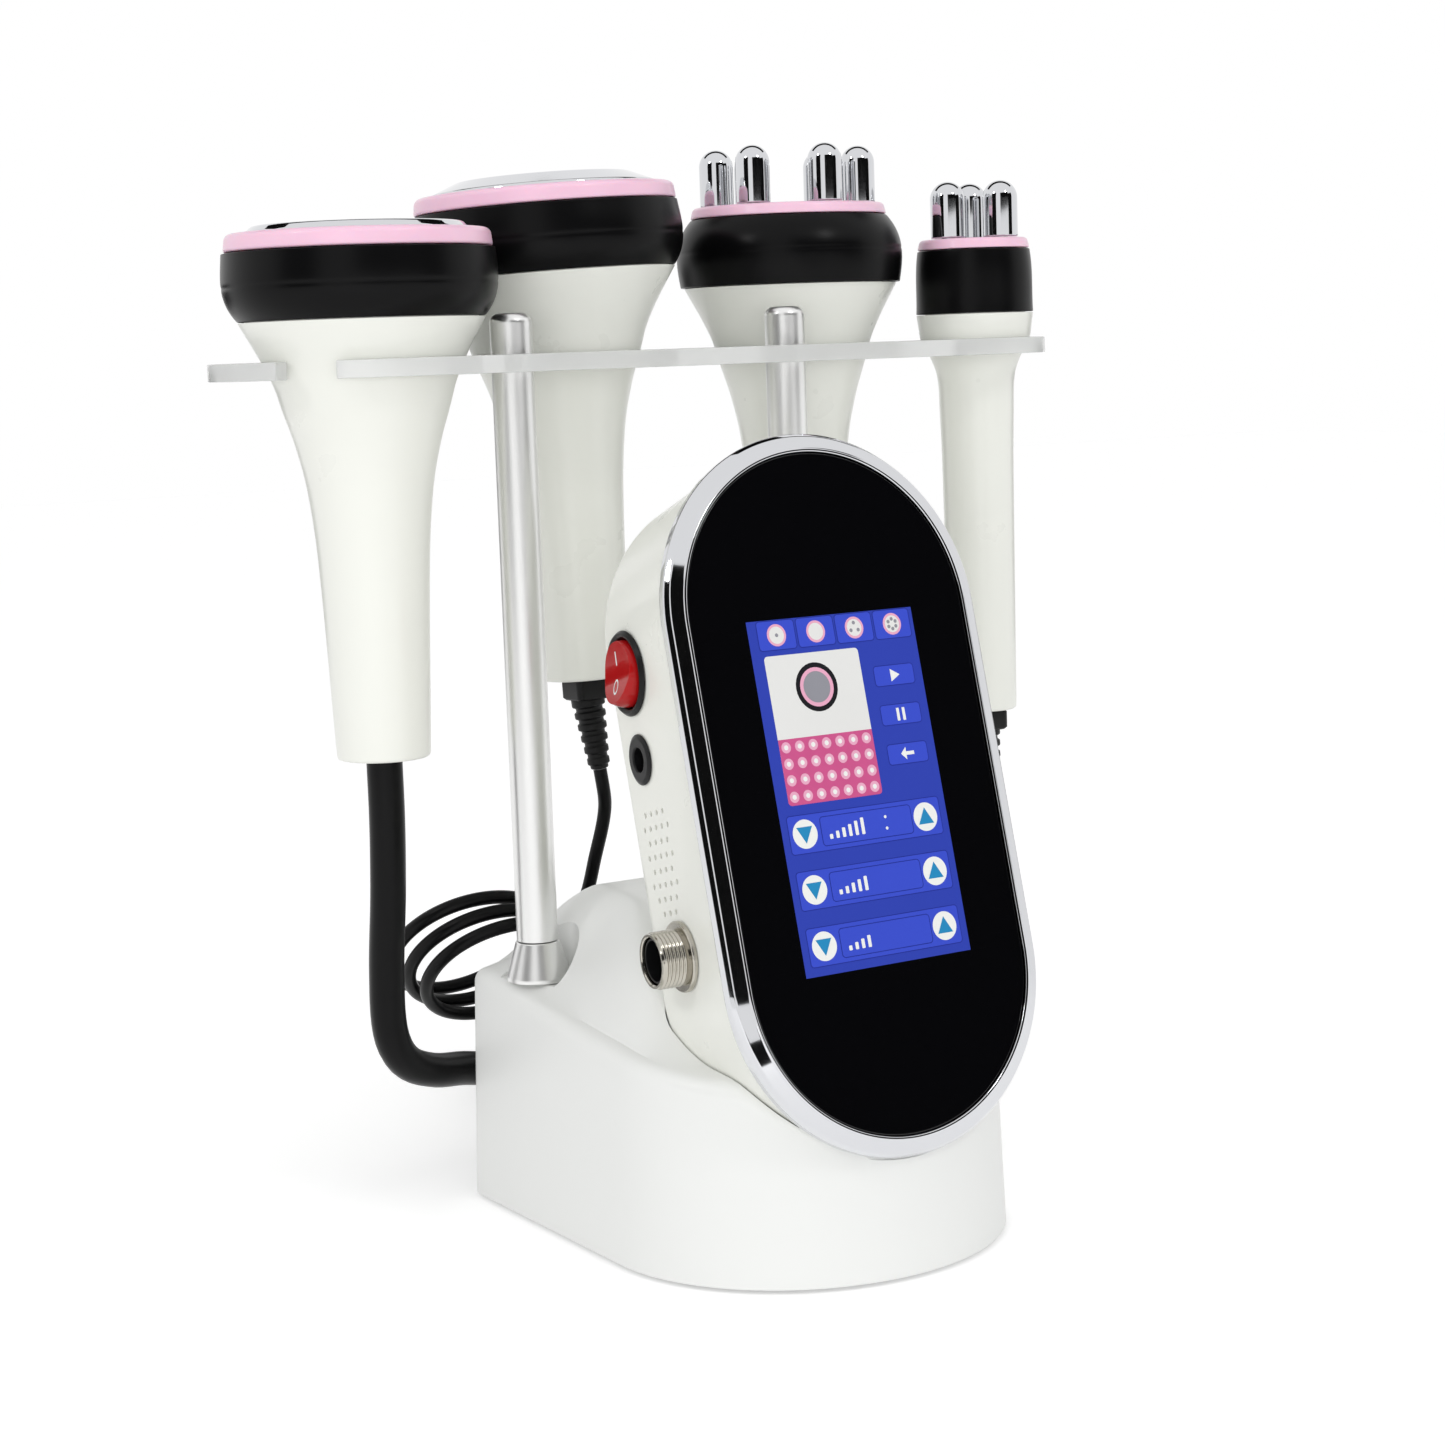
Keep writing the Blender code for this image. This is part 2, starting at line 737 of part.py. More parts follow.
def stadium(radius, depth, straight=UNIT_STRAIGHT):
    """Ring of a stadium in the unit's frame: u across, depth back, rise up."""
    points = []
    for side in (1, -1):
        for k in range(ARC_STEPS + 1):
            angle = math.pi * k / ARC_STEPS
            rise = side * (straight / 2 + radius * math.sin(angle))
            points.append((side * radius * math.cos(angle), depth, rise))
    return points


def shell_rings(offset, front, back_offset):
    """Rings of the rear shell's skin, or of one beside it by an offset, front to back."""
    bend = SHELL_BACK_RADIUS + offset
    bend_depth = SHELL_DEPTH - SHELL_BACK_RADIUS
    rings = [stadium(SHELL_RADIUS + offset, front)]
    at_bend = SHELL_RADIUS + offset - SHELL_TAPER_SHARE * (bend_depth - BEZEL_BACK_DEPTH)
    for k in range(EDGE_STEPS + 1):
        angle = math.pi / 2 * k / EDGE_STEPS
        radius = at_bend - bend * (1 - math.cos(angle))
        rings.append(stadium(radius, bend_depth + (bend + back_offset - offset) * math.sin(angle)))
    return rings


def unit_envelope(offset, unit):
    """Helper solid round the unit, open far to the front."""
    bm = bmesh.new()
    step = BEZEL_BACK_DEPTH + offset
    rings = [stadium(BEZEL_RADIUS + offset, depth) for depth in (-BEZEL_RADIUS, step)]
    rings += shell_rings(offset, step + FIT_GAP / 3, offset)
    loft(bm, rings)
    return helper_object("unit_envelope", bm, unit)


def base_cavity(unit):
    """Inside of the base: it leaves walls at the unit's pocket, the ledges and the bosses."""
    bottom = BASE_FOOT_GAP - BOOLEAN_OVERRUN
    cavity = helper_object("base_cavity", moulded_solid(MOULDED_WALL, bottom, CAVITY_LATTICE), unit.parent)
    cut(cavity, unit_envelope(POCKET_GAP + MOULDED_WALL, unit))
    bm = bmesh.new()
    cover_top = BASE_FOOT_GAP + COVER_THICKNESS + FIT_GAP
    for side in (-1, 1):
        low = LEDGE_Z - LEDGE_THICKNESS
        cylinder(
            bm, LEDGE_POCKET_RADIUS + MOULDED_WALL, low, SADDLE_HEIGHT, BARREL_SIDES, at(side * ROD_X, 0, 0)
        )
    keep = helper_object("ledge_walls", bm, unit.parent)
    cut(cavity, keep)
    bm = bmesh.new()
    for x, y in base_screw_places().values():
        cylinder(bm, BASE_BOSS_RADIUS, cover_top, SADDLE_HEIGHT, SMALL_SIDES, at(x, y, 0))
    cut(cavity, helper_object("base_bosses", bm, unit.parent))
    return cavity


def base_shell(stand, unit):
    """White moulded base with the unit's pocket, the rods' ledges and an open underside."""
    base = finish_object(
        "base_shell", moulded_solid(0, BASE_FOOT_GAP, TOP_LATTICE), WHITE_PLASTIC, stand
    )
    cut(base, unit_envelope(POCKET_GAP, unit))
    bm = bmesh.new()
    for side in (-1, 1):
        cylinder(bm, LEDGE_POCKET_RADIUS, LEDGE_Z, PLATE_TOP_Z / 2, BARREL_SIDES, at(side * ROD_X, 0, 0))
    cut(base, helper_object("ledge_pockets", bm, stand))
    cut(base, base_cavity(unit))
    bm = bmesh.new()
    reach = MOULDED_WALL + BOOLEAN_OVERRUN
    cylinder(bm, SCREW_RADIUS + FIT_GAP, -BOOLEAN_OVERRUN, reach, SMALL_SIDES, cradle_frame(1))
    cut(base, helper_object("cradle_hole", bm, unit))
    bm = bmesh.new()
    for side in (-1, 1):
        ends = (LEDGE_Z - ROD_STUD_REACH - FIT_GAP, LEDGE_Z + BOOLEAN_OVERRUN)
        cylinder(bm, ROD_STUD_RADIUS + FIT_GAP, *ends, BARREL_SIDES, at(side * ROD_X, 0, 0))
    for x, y in base_screw_places().values():
        low = BASE_FOOT_GAP + COVER_THICKNESS - BOOLEAN_OVERRUN
        high = BASE_FOOT_GAP + SCREW_HEAD_HEIGHT + SCREW_REACH + FIT_GAP * 2
        cylinder(bm, SCREW_RADIUS + FIT_GAP, low, high, SMALL_SIDES, at(x, y, 0))
    for x, z, _, cord in gland_places().values():
        turn = at(x, BASE_REAR_Y, z) @ Matrix.Rotation(math.pi / 2, 4, "X")
        reach = BOOLEAN_OVERRUN * 2
        cylinder(bm, gland_neck(cord) + FIT_GAP, -reach, reach, BARREL_SIDES, turn)
    cut(base, helper_object("base_holes", bm, stand))
    return base


def base_fittings(stand):
    """Cover, feet, screws, rods with their ferrules and studs, and the cord outlets."""
    top = BASE_FOOT_GAP + COVER_THICKNESS
    bm = bmesh.new()
    outline = base_outline(MOULDED_WALL + FIT_GAP + draught(top))
    loft(bm, [[(x, y, z) for x, y in outline] for z in (BASE_FOOT_GAP, top)])
    cover = finish_object("base_cover", bm, WHITE_PLASTIC, stand)
    holes = bmesh.new()
    head_top = BASE_FOOT_GAP + SCREW_HEAD_HEIGHT
    for name, (x, y) in base_screw_places().items():
        place = at(x, y, 0)
        bore = SCREW_RADIUS + FIT_GAP
        sink = SCREW_HEAD_RADIUS + FIT_GAP
        below = BASE_FOOT_GAP - BOOLEAN_OVERRUN
        above = top + BOOLEAN_OVERRUN
        seat = head_top + FIT_GAP
        turned(
            holes,
            ((0, below), (sink, below), (sink, seat), (bore, seat), (bore, above), (0, above)),
            SMALL_SIDES,
            place,
        )
        bm = bmesh.new()
        turned(
            bm,
            (
                (0, BASE_FOOT_GAP),
                (SCREW_HEAD_RADIUS, BASE_FOOT_GAP),
                (SCREW_HEAD_RADIUS, head_top),
                (SCREW_RADIUS, head_top),
                (SCREW_RADIUS, head_top + SCREW_REACH),
                (0, head_top + SCREW_REACH),
            ),
            SMALL_SIDES,
        )
        finish_object(name, bm, STEEL, stand).location = (x, y, 0)
    for name, (x, y) in foot_places().items():
        recess_top = BASE_FOOT_GAP + FOOT_RECESS
        low = BASE_FOOT_GAP - BOOLEAN_OVERRUN
        cylinder(holes, FOOT_RADIUS + FIT_GAP, low, recess_top, BARREL_SIDES, at(x, y, 0))
        bm = bmesh.new()
        cylinder(bm, FOOT_RADIUS, 0, recess_top - FIT_GAP, BARREL_SIDES)
        finish_object(name, bm, BLACK_RUBBER, stand).location = (x, y, 0)
    cut(cover, helper_object("cover_holes", holes, stand))
    for side, name in ((-1, "left"), (1, "right")):
        rod_pieces(stand, name, side * ROD_X)
    for name, (x, z, flange, cord) in gland_places().items():
        wall_gland(stand, name, x, z, flange, cord)


def foot_places():
    """Name and plan position of each foot, in from the base's edge."""
    x = BASE_HALF_WIDTH - FOOT_INSET
    return {
        f"foot_{end}_{side}": (sign * x, y)
        for end, y in (("rear", BASE_REAR_Y - FOOT_INSET), ("front", FRONT_FOOT_Y))
        for side, sign in (("left", -1), ("right", 1))
    }


def rod_pieces(stand, name, x):
    """One rod with the threaded stud at its foot, and the ferrule that the stud goes through."""
    bore = ROD_STUD_RADIUS + FIT_GAP
    low = LEDGE_Z + FIT_GAP
    high = LEDGE_Z + FERRULE_HEIGHT
    bm = bmesh.new()
    profile = (
        (bore, high),
        (ROD_RADIUS, high),
        (FERRULE_RADIUS, low + FERRULE_RIM),
        (FERRULE_RADIUS, low),
        (bore, low),
    )
    turned(bm, profile, BARREL_SIDES, closed=True)
    finish_object(f"ferrule_{name}", bm, ALUMINIUM, stand).location.x = x
    foot = high + FIT_GAP
    edge = [(0, ROD_TOP_Z)]
    for k in range(EDGE_STEPS + 1):
        angle = math.pi / 2 * k / EDGE_STEPS
        drawn = ROD_EDGE_RADIUS * (1 - math.sin(angle))
        fallen = ROD_EDGE_RADIUS * (1 - math.cos(angle))
        edge.append((ROD_RADIUS - drawn, ROD_TOP_Z - fallen))
    tip = LEDGE_Z - ROD_STUD_REACH
    bm = bmesh.new()
    stud = ((ROD_RADIUS, foot), (ROD_STUD_RADIUS, foot), (ROD_STUD_RADIUS, tip), (0, tip))
    turned(bm, (*edge, *stud), BARREL_SIDES)
    finish_object(f"rod_{name}", bm, ALUMINIUM, stand).location.x = x


def wall_gland(stand, name, x, z, flange, cord):
    """Outlet in the base's back wall: a flange outside, a neck, and a collar inside."""
    neck = gland_neck(cord)
    outside = WALL_GLAND_FLANGE
    wall = MOULDED_WALL + FIT_GAP * 2 + flange * math.tan(BASE_DRAFT) * 2
    collar = wall + WALL_GLAND_FLANGE
    bm = bmesh.new()
    turned(
        bm,
        (
            (0, -outside),
            (flange - outside / 3, -outside),
            (flange, -outside * 2 / 3),
            (flange, 0),
            (neck, 0),
            (neck, wall),
            (flange, wall),
            (flange, collar),
            (0, collar),
        ),
        BARREL_SIDES,
    )
    obj = finish_object(name, bm, BLACK_PLASTIC, stand)
    obj.location = (x, gland_face_y(z, flange) - outside, z)
    obj.rotation_euler.x = math.pi / 2


def gland_face_y(z, flange):
    """Outer face of a gland whose flange clears the leaning back wall."""
    return BASE_REAR_Y - draught(z - flange) + FIT_GAP + WALL_GLAND_FLANGE


# Holder plate


def holder_plate(stand, handles):
    """Clear plate with a hole for each rod and handpiece, and a slot for the thick cord."""
    bm = bmesh.new()
    outline = []
    for side, x in ((1, PLATE_RIGHT_ARC_X), (-1, PLATE_LEFT_ARC_X)):
        for k in range(BARREL_SIDES + 1):
            angle = math.pi * k / BARREL_SIDES - math.pi / 2
            across = side * math.cos(angle) * PLATE_HALF_DEPTH
            outline.append((x + across, PLATE_CENTRE_Y + side * math.sin(angle) * PLATE_HALF_DEPTH))
    low = PLATE_TOP_Z - PLATE_THICKNESS
    loft(bm, [[(x, y, z) for x, y in outline] for z in (low, PLATE_TOP_Z)])
    plate = finish_object("holder_plate", bm, CLEAR_PLASTIC, stand)
    holes = bmesh.new()
    ends = (low - BOOLEAN_OVERRUN, PLATE_TOP_Z + BOOLEAN_OVERRUN)
    for side in (-1, 1):
        cylinder(holes, ROD_RADIUS + FIT_GAP, *ends, BARREL_SIDES, at(side * ROD_X, 0, 0))
    for handle in handles:
        cylinder(holes, handle.hole_radius(), *ends, HEAD_SIDES, at(handle.x, handle.y, 0))
    cut(plate, helper_object("plate_holes", holes, stand))
    slot = bmesh.new()
    box(slot, (-CORD_SLOT_WIDTH / 2, -PLATE_HALF_DEPTH, ends[0]), (CORD_SLOT_WIDTH / 2, 0, ends[1]))
    cutter = helper_object("cord_slot", slot, stand)
    cutter.location = (handles[0].x, handles[0].y, 0)
    cutter.rotation_euler.z = -CORD_SLOT_ANGLE
    cut(plate, cutter)


# Screen unit


def wall_frame(unit, name, rise, depth):
    """Empty on the unit's left wall: its X runs out of the wall and its Z runs up the glass."""
    lean = math.atan(SHELL_TAPER_SHARE)
    across = -SHELL_RADIUS + SHELL_TAPER_SHARE * (depth - BEZEL_BACK_DEPTH)
    return empty(name, unit, (across, depth, rise), Matrix.Rotation(math.pi - lean, 4, "Z"))


OUTWARD = Matrix.Rotation(math.pi / 2, 4, "Y")
INWARD = Matrix.Rotation(-math.pi / 2, 4, "X")


def unit_shells(unit, frames):
    """Rear shell, chrome bezel and glass."""
    front = BEZEL_BACK_DEPTH + FIT_GAP
    outer = shell_rings(0, front, 0)
    inner = shell_rings(-SHELL_WALL, front, -SHELL_WALL)
    bm = bmesh.new()
    loft(bm, outer[::-1] + inner)
    shell = finish_object("unit_rear_shell", bm, IVORY_PLASTIC, unit)
    boss = bmesh.new()
    ends = (SHELL_WALL / 2, CRADLE_BOSS_LENGTH)
    cylinder(boss, CRADLE_BOSS_RADIUS, *ends, SMALL_SIDES, cradle_frame(-1))
    combine(shell, helper_object("cradle_boss", boss, unit), "UNION")
    bm = bmesh.new()
    depth = CRADLE_BOSS_LENGTH - SHELL_WALL / 2
    cylinder(bm, SCREW_RADIUS + FIT_GAP, -BOOLEAN_OVERRUN, depth, SMALL_SIDES, cradle_frame(-1))
    cut(shell, helper_object("boss_hole", bm, unit))
    for frame, radius, sides in (
        (frames["rocker"], ROCKER_BARREL_RADIUS, HEAD_SIDES),
        (frames["jack"], JACK_BARREL_RADIUS, BARREL_SIDES),
        (frames["socket"], SOCKET_RADIUS, BARREL_SIDES),
    ):
        bm = bmesh.new()
        reach = SHELL_WALL + BOOLEAN_OVERRUN
        cylinder(bm, radius + FIT_GAP, -reach, reach, sides, OUTWARD)
        cut(shell, helper_object("wall_hole", bm, frame))
    bm = bmesh.new()
    for row, count in enumerate(GRILLE_ROWS):
        rise = ((len(GRILLE_ROWS) - 1) / 2 - row) * GRILLE_PITCH
        for k in range(count):
            place = at(0, (k - (count - 1) / 2) * GRILLE_PITCH, rise)
            reach = SHELL_WALL * 1.5
            cylinder(bm, GRILLE_HOLE_RADIUS, -reach, reach, GRILLE_SIDES, place @ OUTWARD)
    cut(shell, helper_object("grille_holes", bm, frames["grille"]))
    chrome_bezel(unit)
    bm = bmesh.new()
    chamfer = GLASS_THICKNESS / 4
    rings = [stadium(GLASS_RADIUS - chamfer, 0), stadium(GLASS_RADIUS, chamfer)]
    loft(bm, [*rings, stadium(GLASS_RADIUS, GLASS_THICKNESS)])
    finish_object("touch_glass", bm, BLACK_GLASS, unit)


def chrome_bezel(unit):
    """Chrome ring round the glass, with a ledge under it and a skirt inside the rear shell."""
    lip = GLASS_RADIUS + FIT_GAP
    taper = SHELL_TAPER_SHARE * BEZEL_SKIRT_LENGTH
    skirt = SHELL_RADIUS - SHELL_WALL - taper - FIT_GAP
    skirt_end = BEZEL_BACK_DEPTH + BEZEL_SKIRT_LENGTH
    wide = BEZEL_RADIUS - lip
    profile = (
        (BEZEL_LEDGE_RADIUS, BEZEL_LEDGE_DEPTH),
        (lip, BEZEL_LEDGE_DEPTH),
        (lip, -BEZEL_LIP / 2),
        *((lip + wide * across, BEZEL_LIP * down) for across, down in BEZEL_FACE_SHARES),
        (BEZEL_RADIUS, BEZEL_BACK_DEPTH * BEZEL_SIDE_SHARE),
        (BEZEL_RADIUS - BEZEL_LIP / 3, BEZEL_BACK_DEPTH * BEZEL_BACK_SHARE),
        (SHELL_RADIUS, BEZEL_BACK_DEPTH),
        (skirt, BEZEL_BACK_DEPTH),
        (skirt, skirt_end),
        (skirt - BEZEL_SKIRT_WALL, skirt_end),
        (skirt - BEZEL_SKIRT_WALL, BEZEL_BACK_DEPTH),
        (BEZEL_LEDGE_RADIUS, BEZEL_BACK_DEPTH * BEZEL_INNER_SHARE),
    )
    bm = bmesh.new()
    loft(bm, [stadium(radius, depth) for radius, depth in profile], closed=True)
    finish_object("chrome_bezel", bm, CHROME, unit)


def cradle_frame(sign):
    """Place of the cradle screw on the unit's back, with Z running out of it or into it."""
    return at(0, SHELL_DEPTH, CRADLE_SCREW_RISE) @ Matrix.Rotation(-sign * math.pi / 2, 4, "X")


def cradle_screw(unit):
    """Screw from inside the base, through its wall, into the unit's boss."""
    wall = POCKET_GAP + MOULDED_WALL + FIT_GAP
    tip = -(CRADLE_BOSS_LENGTH - SHELL_WALL)
    bm = bmesh.new()
    turned(
        bm,
        (
            (0, tip),
            (SCREW_RADIUS, tip),
            (SCREW_RADIUS, wall),
            (SCREW_HEAD_RADIUS, wall),
            (SCREW_HEAD_RADIUS, wall + SCREW_HEAD_HEIGHT),
            (0, wall + SCREW_HEAD_HEIGHT),
        ),
        SMALL_SIDES,
        cradle_frame(1),
    )
    finish_object("cradle_screw", bm, STEEL, unit)


def board(unit, name, depth, thickness, finish):
    """One flat plate of the boards' outline at a depth in the unit."""
    bm = bmesh.new()
    half = (BOARD_WIDTH / 2, BOARD_HEIGHT / 2)
    box(bm, (-half[0], depth, -half[1]), (half[0], depth + thickness, half[1]))
    return finish_object(name, bm, finish, unit, smooth=False)


def unit_electronics(unit, speaker_frame):
    """Display, main board, driver board with its transformer, their carrier, and the speaker."""
    bm = bmesh.new()
    front = GLASS_THICKNESS + FIT_GAP
    box(
        bm,
        (-DISPLAY_WIDTH / 2, front, -DISPLAY_HEIGHT / 2),
        (DISPLAY_WIDTH / 2, front + DISPLAY_THICKNESS, DISPLAY_HEIGHT / 2),
    )
    finish_object("display_panel", bm, SCREEN, unit, smooth=False)
    boards = {}
    for name, depth in (("main_board", MAIN_BOARD_DEPTH), ("driver_board", DRIVER_BOARD_DEPTH)):
        boards[name] = board(unit, name, depth, BOARD_THICKNESS, GREEN_BOARD)
    posts = bmesh.new()
    holes = bmesh.new()
    low = MAIN_BOARD_DEPTH + BOARD_THICKNESS + FIT_GAP
    high = SHELL_DEPTH - SHELL_WALL - FIT_GAP
    for side in (-1, 1):
        for end in (-1, 1):
            u = side * (BOARD_WIDTH / 2 - BOARD_HOLE_INSET)
            turn = at(u, 0, end * (BOARD_HEIGHT / 2 - BOARD_HOLE_INSET)) @ INWARD
            cylinder(posts, POST_RADIUS, low, high, TINY_SIDES, turn)
            cylinder(holes, POST_RADIUS + FIT_GAP, CARRIER_DEPTH + BOOLEAN_OVERRUN, high, TINY_SIDES, turn)
    carrier = board(unit, "board_carrier", CARRIER_DEPTH, CARRIER_THICKNESS, WHITE_PLASTIC)
    combine(carrier, helper_object("carrier_posts", posts, unit), "UNION")
    cut(boards["driver_board"], helper_object("post_holes", holes, unit))
    bm = bmesh.new()
    high = DRIVER_BOARD_DEPTH + BOARD_THICKNESS / 2
    low = DRIVER_BOARD_DEPTH - TRANSFORMER_HEIGHT
    cylinder(bm, TRANSFORMER_RADIUS, low, high, BARREL_SIDES, at(0, 0, TRANSFORMER_RISE) @ INWARD)
    combine(boards["driver_board"], helper_object("transformer", bm, unit), "UNION")
    bm = bmesh.new()
    wall = -SHELL_WALL - FIT_GAP * 2
    half = (SPEAKER_WIDTH / 2, SPEAKER_LENGTH / 2)
    box(bm, (wall - SPEAKER_THICKNESS, -half[0], -half[1]), (wall, half[0], half[1]))
    finish_object("speaker", bm, BLACK_PLASTIC, speaker_frame, smooth=False)


def rocker_switch(frame):
    """Round power switch: a flanged bezel and the red rocker that tips in it."""
    bm = bmesh.new()
    rim = ROCKER_FLANGE_THICKNESS
    turned(
        bm,
        (
            (0, -ROCKER_BORE_DEPTH),
            (ROCKER_BORE_RADIUS, -ROCKER_BORE_DEPTH),
            (ROCKER_BORE_RADIUS, rim),
            (ROCKER_FLANGE_RADIUS - rim / 2, rim),
            (ROCKER_FLANGE_RADIUS, rim / 2),
            (ROCKER_FLANGE_RADIUS, FIT_GAP),
            (ROCKER_BARREL_RADIUS, FIT_GAP),
            (ROCKER_BARREL_RADIUS, -ROCKER_BARREL_LENGTH),
            (0, -ROCKER_BARREL_LENGTH),
        ),
        HEAD_SIDES,
        OUTWARD,
    )
    finish_object("rocker_bezel", bm, BLACK_PLASTIC, frame)
    pivot = empty("rocker_pivot", frame, (ROCKER_PIVOT_OUT, 0, 0))
    radius = ROCKER_BORE_RADIUS - FIT_GAP
    bm = bmesh.new()
    bmesh.ops.create_uvsphere(bm, u_segments=BARREL_SIDES, v_segments=SMALL_SIDES, radius=radius)
    bmesh.ops.rotate(bm, verts=bm.verts, matrix=OUTWARD.to_3x3())
    button = finish_object("rocker_button", bm, RED_PLASTIC, pivot)
    button.rotation_euler.y = -ROCKER_REST_TILT
    wide = radius * ROCKER_WEDGE_SHARE
    end = ROCKER_CROWN + wide * math.tan(ROCKER_FACE_ANGLE)
    rise = ((end, -wide), (ROCKER_CROWN, 0), (end, wide))
    outline = ((-ROCKER_SKIRT, -wide), *rise, (-ROCKER_SKIRT, wide))
    bm = bmesh.new()
    loft(bm, [[(x, y, z) for x, z in outline] for y in (-wide, wide)])
    faces = helper_object("rocker_faces", bm, button)
    combine(button, faces, "INTERSECT")


def dc_jack(frame):
    """Round power inlet with its centre pin."""
    bm = bmesh.new()
    rim = JACK_FLANGE_THICKNESS
    floor = -JACK_LENGTH + JACK_BACK_WALL
    turned(
        bm,
        (
            (0, floor),
            (JACK_BORE_RADIUS, floor),
            (JACK_BORE_RADIUS, rim),
            (JACK_FLANGE_RADIUS - rim, rim),
            (JACK_FLANGE_RADIUS, rim / 3 + FIT_GAP),
            (JACK_FLANGE_RADIUS, FIT_GAP),
            (JACK_BARREL_RADIUS, FIT_GAP),
            (JACK_BARREL_RADIUS, -JACK_LENGTH),
            (0, -JACK_LENGTH),
        ),
        BARREL_SIDES,
        OUTWARD,
    )
    finish_object("dc_jack", bm, BLACK_PLASTIC, frame)
    bm = bmesh.new()
    tip = rim - JACK_PIN_RECESS
    turned(
        bm,
        (
            (0, floor + FIT_GAP),
            (JACK_PIN_RADIUS, floor + FIT_GAP),
            (JACK_PIN_RADIUS, tip - JACK_PIN_RADIUS / 2),
            (JACK_PIN_RADIUS / 2, tip),
            (0, tip),
        ),
        SMALL_SIDES,
        OUTWARD,
    )
    finish_object("dc_jack_pin", bm, STEEL, frame)


def round_socket(frame):
    """Threaded socket for a handpiece plug: shell, nut, insert and pins."""
    pitch = (SOCKET_PROUD - SOCKET_FLANGE_THICKNESS) / (SOCKET_THREADS + 1)
    thread = [(SOCKET_RADIUS - SOCKET_THREAD_DEPTH, SOCKET_PROUD)]
    for k in range(SOCKET_THREADS):
        top = SOCKET_PROUD - pitch * (k + 0.5)
        thread.append((SOCKET_RADIUS, top))
        thread.append((SOCKET_RADIUS - SOCKET_THREAD_DEPTH, top - pitch / 2))
    bm = bmesh.new()
    turned(
        bm,
        (
            (SOCKET_BORE_RADIUS, SOCKET_PROUD),
            *thread,
            (SOCKET_RADIUS - SOCKET_THREAD_DEPTH, SOCKET_FLANGE_THICKNESS),
            (SOCKET_FLANGE_RADIUS, SOCKET_FLANGE_THICKNESS),
            (SOCKET_FLANGE_RADIUS, FIT_GAP),
            (SOCKET_RADIUS, FIT_GAP),
            (SOCKET_RADIUS, -SOCKET_INSIDE),
            (SOCKET_BORE_RADIUS, -SOCKET_INSIDE),
        ),
        BARREL_SIDES,
        OUTWARD,
        closed=True,
    )
    finish_object("socket_shell", bm, STEEL, frame)
    bm = bmesh.new()
    back = -SHELL_WALL - FIT_GAP * 2
    inner = (SOCKET_RADIUS + FIT_GAP) / math.cos(math.pi / 6)
    ring = [(SOCKET_NUT_RADIUS, back), (SOCKET_NUT_RADIUS, back - SOCKET_NUT_THICKNESS)]
    turned(bm, (*ring, (inner, ring[1][1]), (inner, back)), 6, OUTWARD, closed=True)
    finish_object("socket_nut", bm, STEEL, frame, smooth=False)
    face = SOCKET_PROUD - SOCKET_RECESS
    holes = bmesh.new()
    pins = bmesh.new()
    disc_top = -SOCKET_INSIDE - FIT_GAP
    disc_low = disc_top - BOARD_THICKNESS
    for k in range(SOCKET_PINS):
        angle = math.tau * (k + 0.5) / SOCKET_PINS
        place = at(0, SOCKET_PIN_CIRCLE * math.cos(angle), SOCKET_PIN_CIRCLE * math.sin(angle))
        low = (disc_top + disc_low) / 2
        cylinder(pins, SOCKET_PIN_RADIUS, low, face + SOCKET_PIN_PROUD, TINY_SIDES, place @ OUTWARD)
        ends = (disc_low, face + BOOLEAN_OVERRUN)
        cylinder(holes, SOCKET_PIN_RADIUS + FIT_GAP, *ends, TINY_SIDES, place @ OUTWARD)
    bm = bmesh.new()
    cylinder(bm, SOCKET_BORE_RADIUS - FIT_GAP, -SOCKET_INSIDE, face, BARREL_SIDES, OUTWARD)
    insert = finish_object("socket_insert", bm, BLACK_PLASTIC, frame)
    cut(insert, helper_object("pin_holes", holes, frame))
    bm = bmesh.new()
    cylinder(bm, SOCKET_BORE_RADIUS, disc_low, disc_top, BARREL_SIDES, OUTWARD)
    disc = finish_object("socket_pins", bm, BRASS, frame)
    combine(disc, helper_object("pin_posts", pins, frame), "UNION")


def screen_unit(stand):
    """The tilted unit: its empty stands at the middle of the glass."""
    unit = empty(
        "unit", stand, (0, UNIT_CENTRE_Y, UNIT_CENTRE_Z), Matrix.Rotation(-UNIT_TILT, 4, "X")
    )
    frames = {
        "rocker": wall_frame(unit, "rocker_place", ROCKER_RISE, ROCKER_DEPTH),
        "jack": wall_frame(unit, "jack_place", JACK_RISE, JACK_DEPTH),
        "grille": wall_frame(unit, "grille_place", GRILLE_RISE, GRILLE_DEPTH),
        "socket": wall_frame(unit, "socket_place", SOCKET_RISE, SOCKET_DEPTH),
    }
    unit_shells(unit, frames)
    unit_electronics(unit, frames["grille"])
    rocker_switch(frames["rocker"])
    dc_jack(frames["jack"])
    round_socket(frames["socket"])
    cradle_screw(unit)
    return unit


# Handpieces


def drawn_in(profile, distance):
    """A profile that runs downwards, moved towards the axis along its normals."""
    moved = []
    for i, (radius, z) in enumerate(profile):
        before, after = profile[max(i - 1, 0)], profile[min(i + 1, len(profile) - 1)]
        run = Vector((after[0] - before[0], after[1] - before[1])).normalized()
        moved.append((radius + run.y * distance, z - run.x * distance))
    return moved


def relief_turn(low):
    """Matrix that leans a ribbed sleeve about the middle of its top."""
    heading = Vector((math.cos(HANDLE_LEAN_HEADING), math.sin(HANDLE_LEAN_HEADING), 0))
    return at(0, 0, low) @ Matrix.Rotation(RELIEF_LEAN, 4, heading) @ at(0, 0, -low)


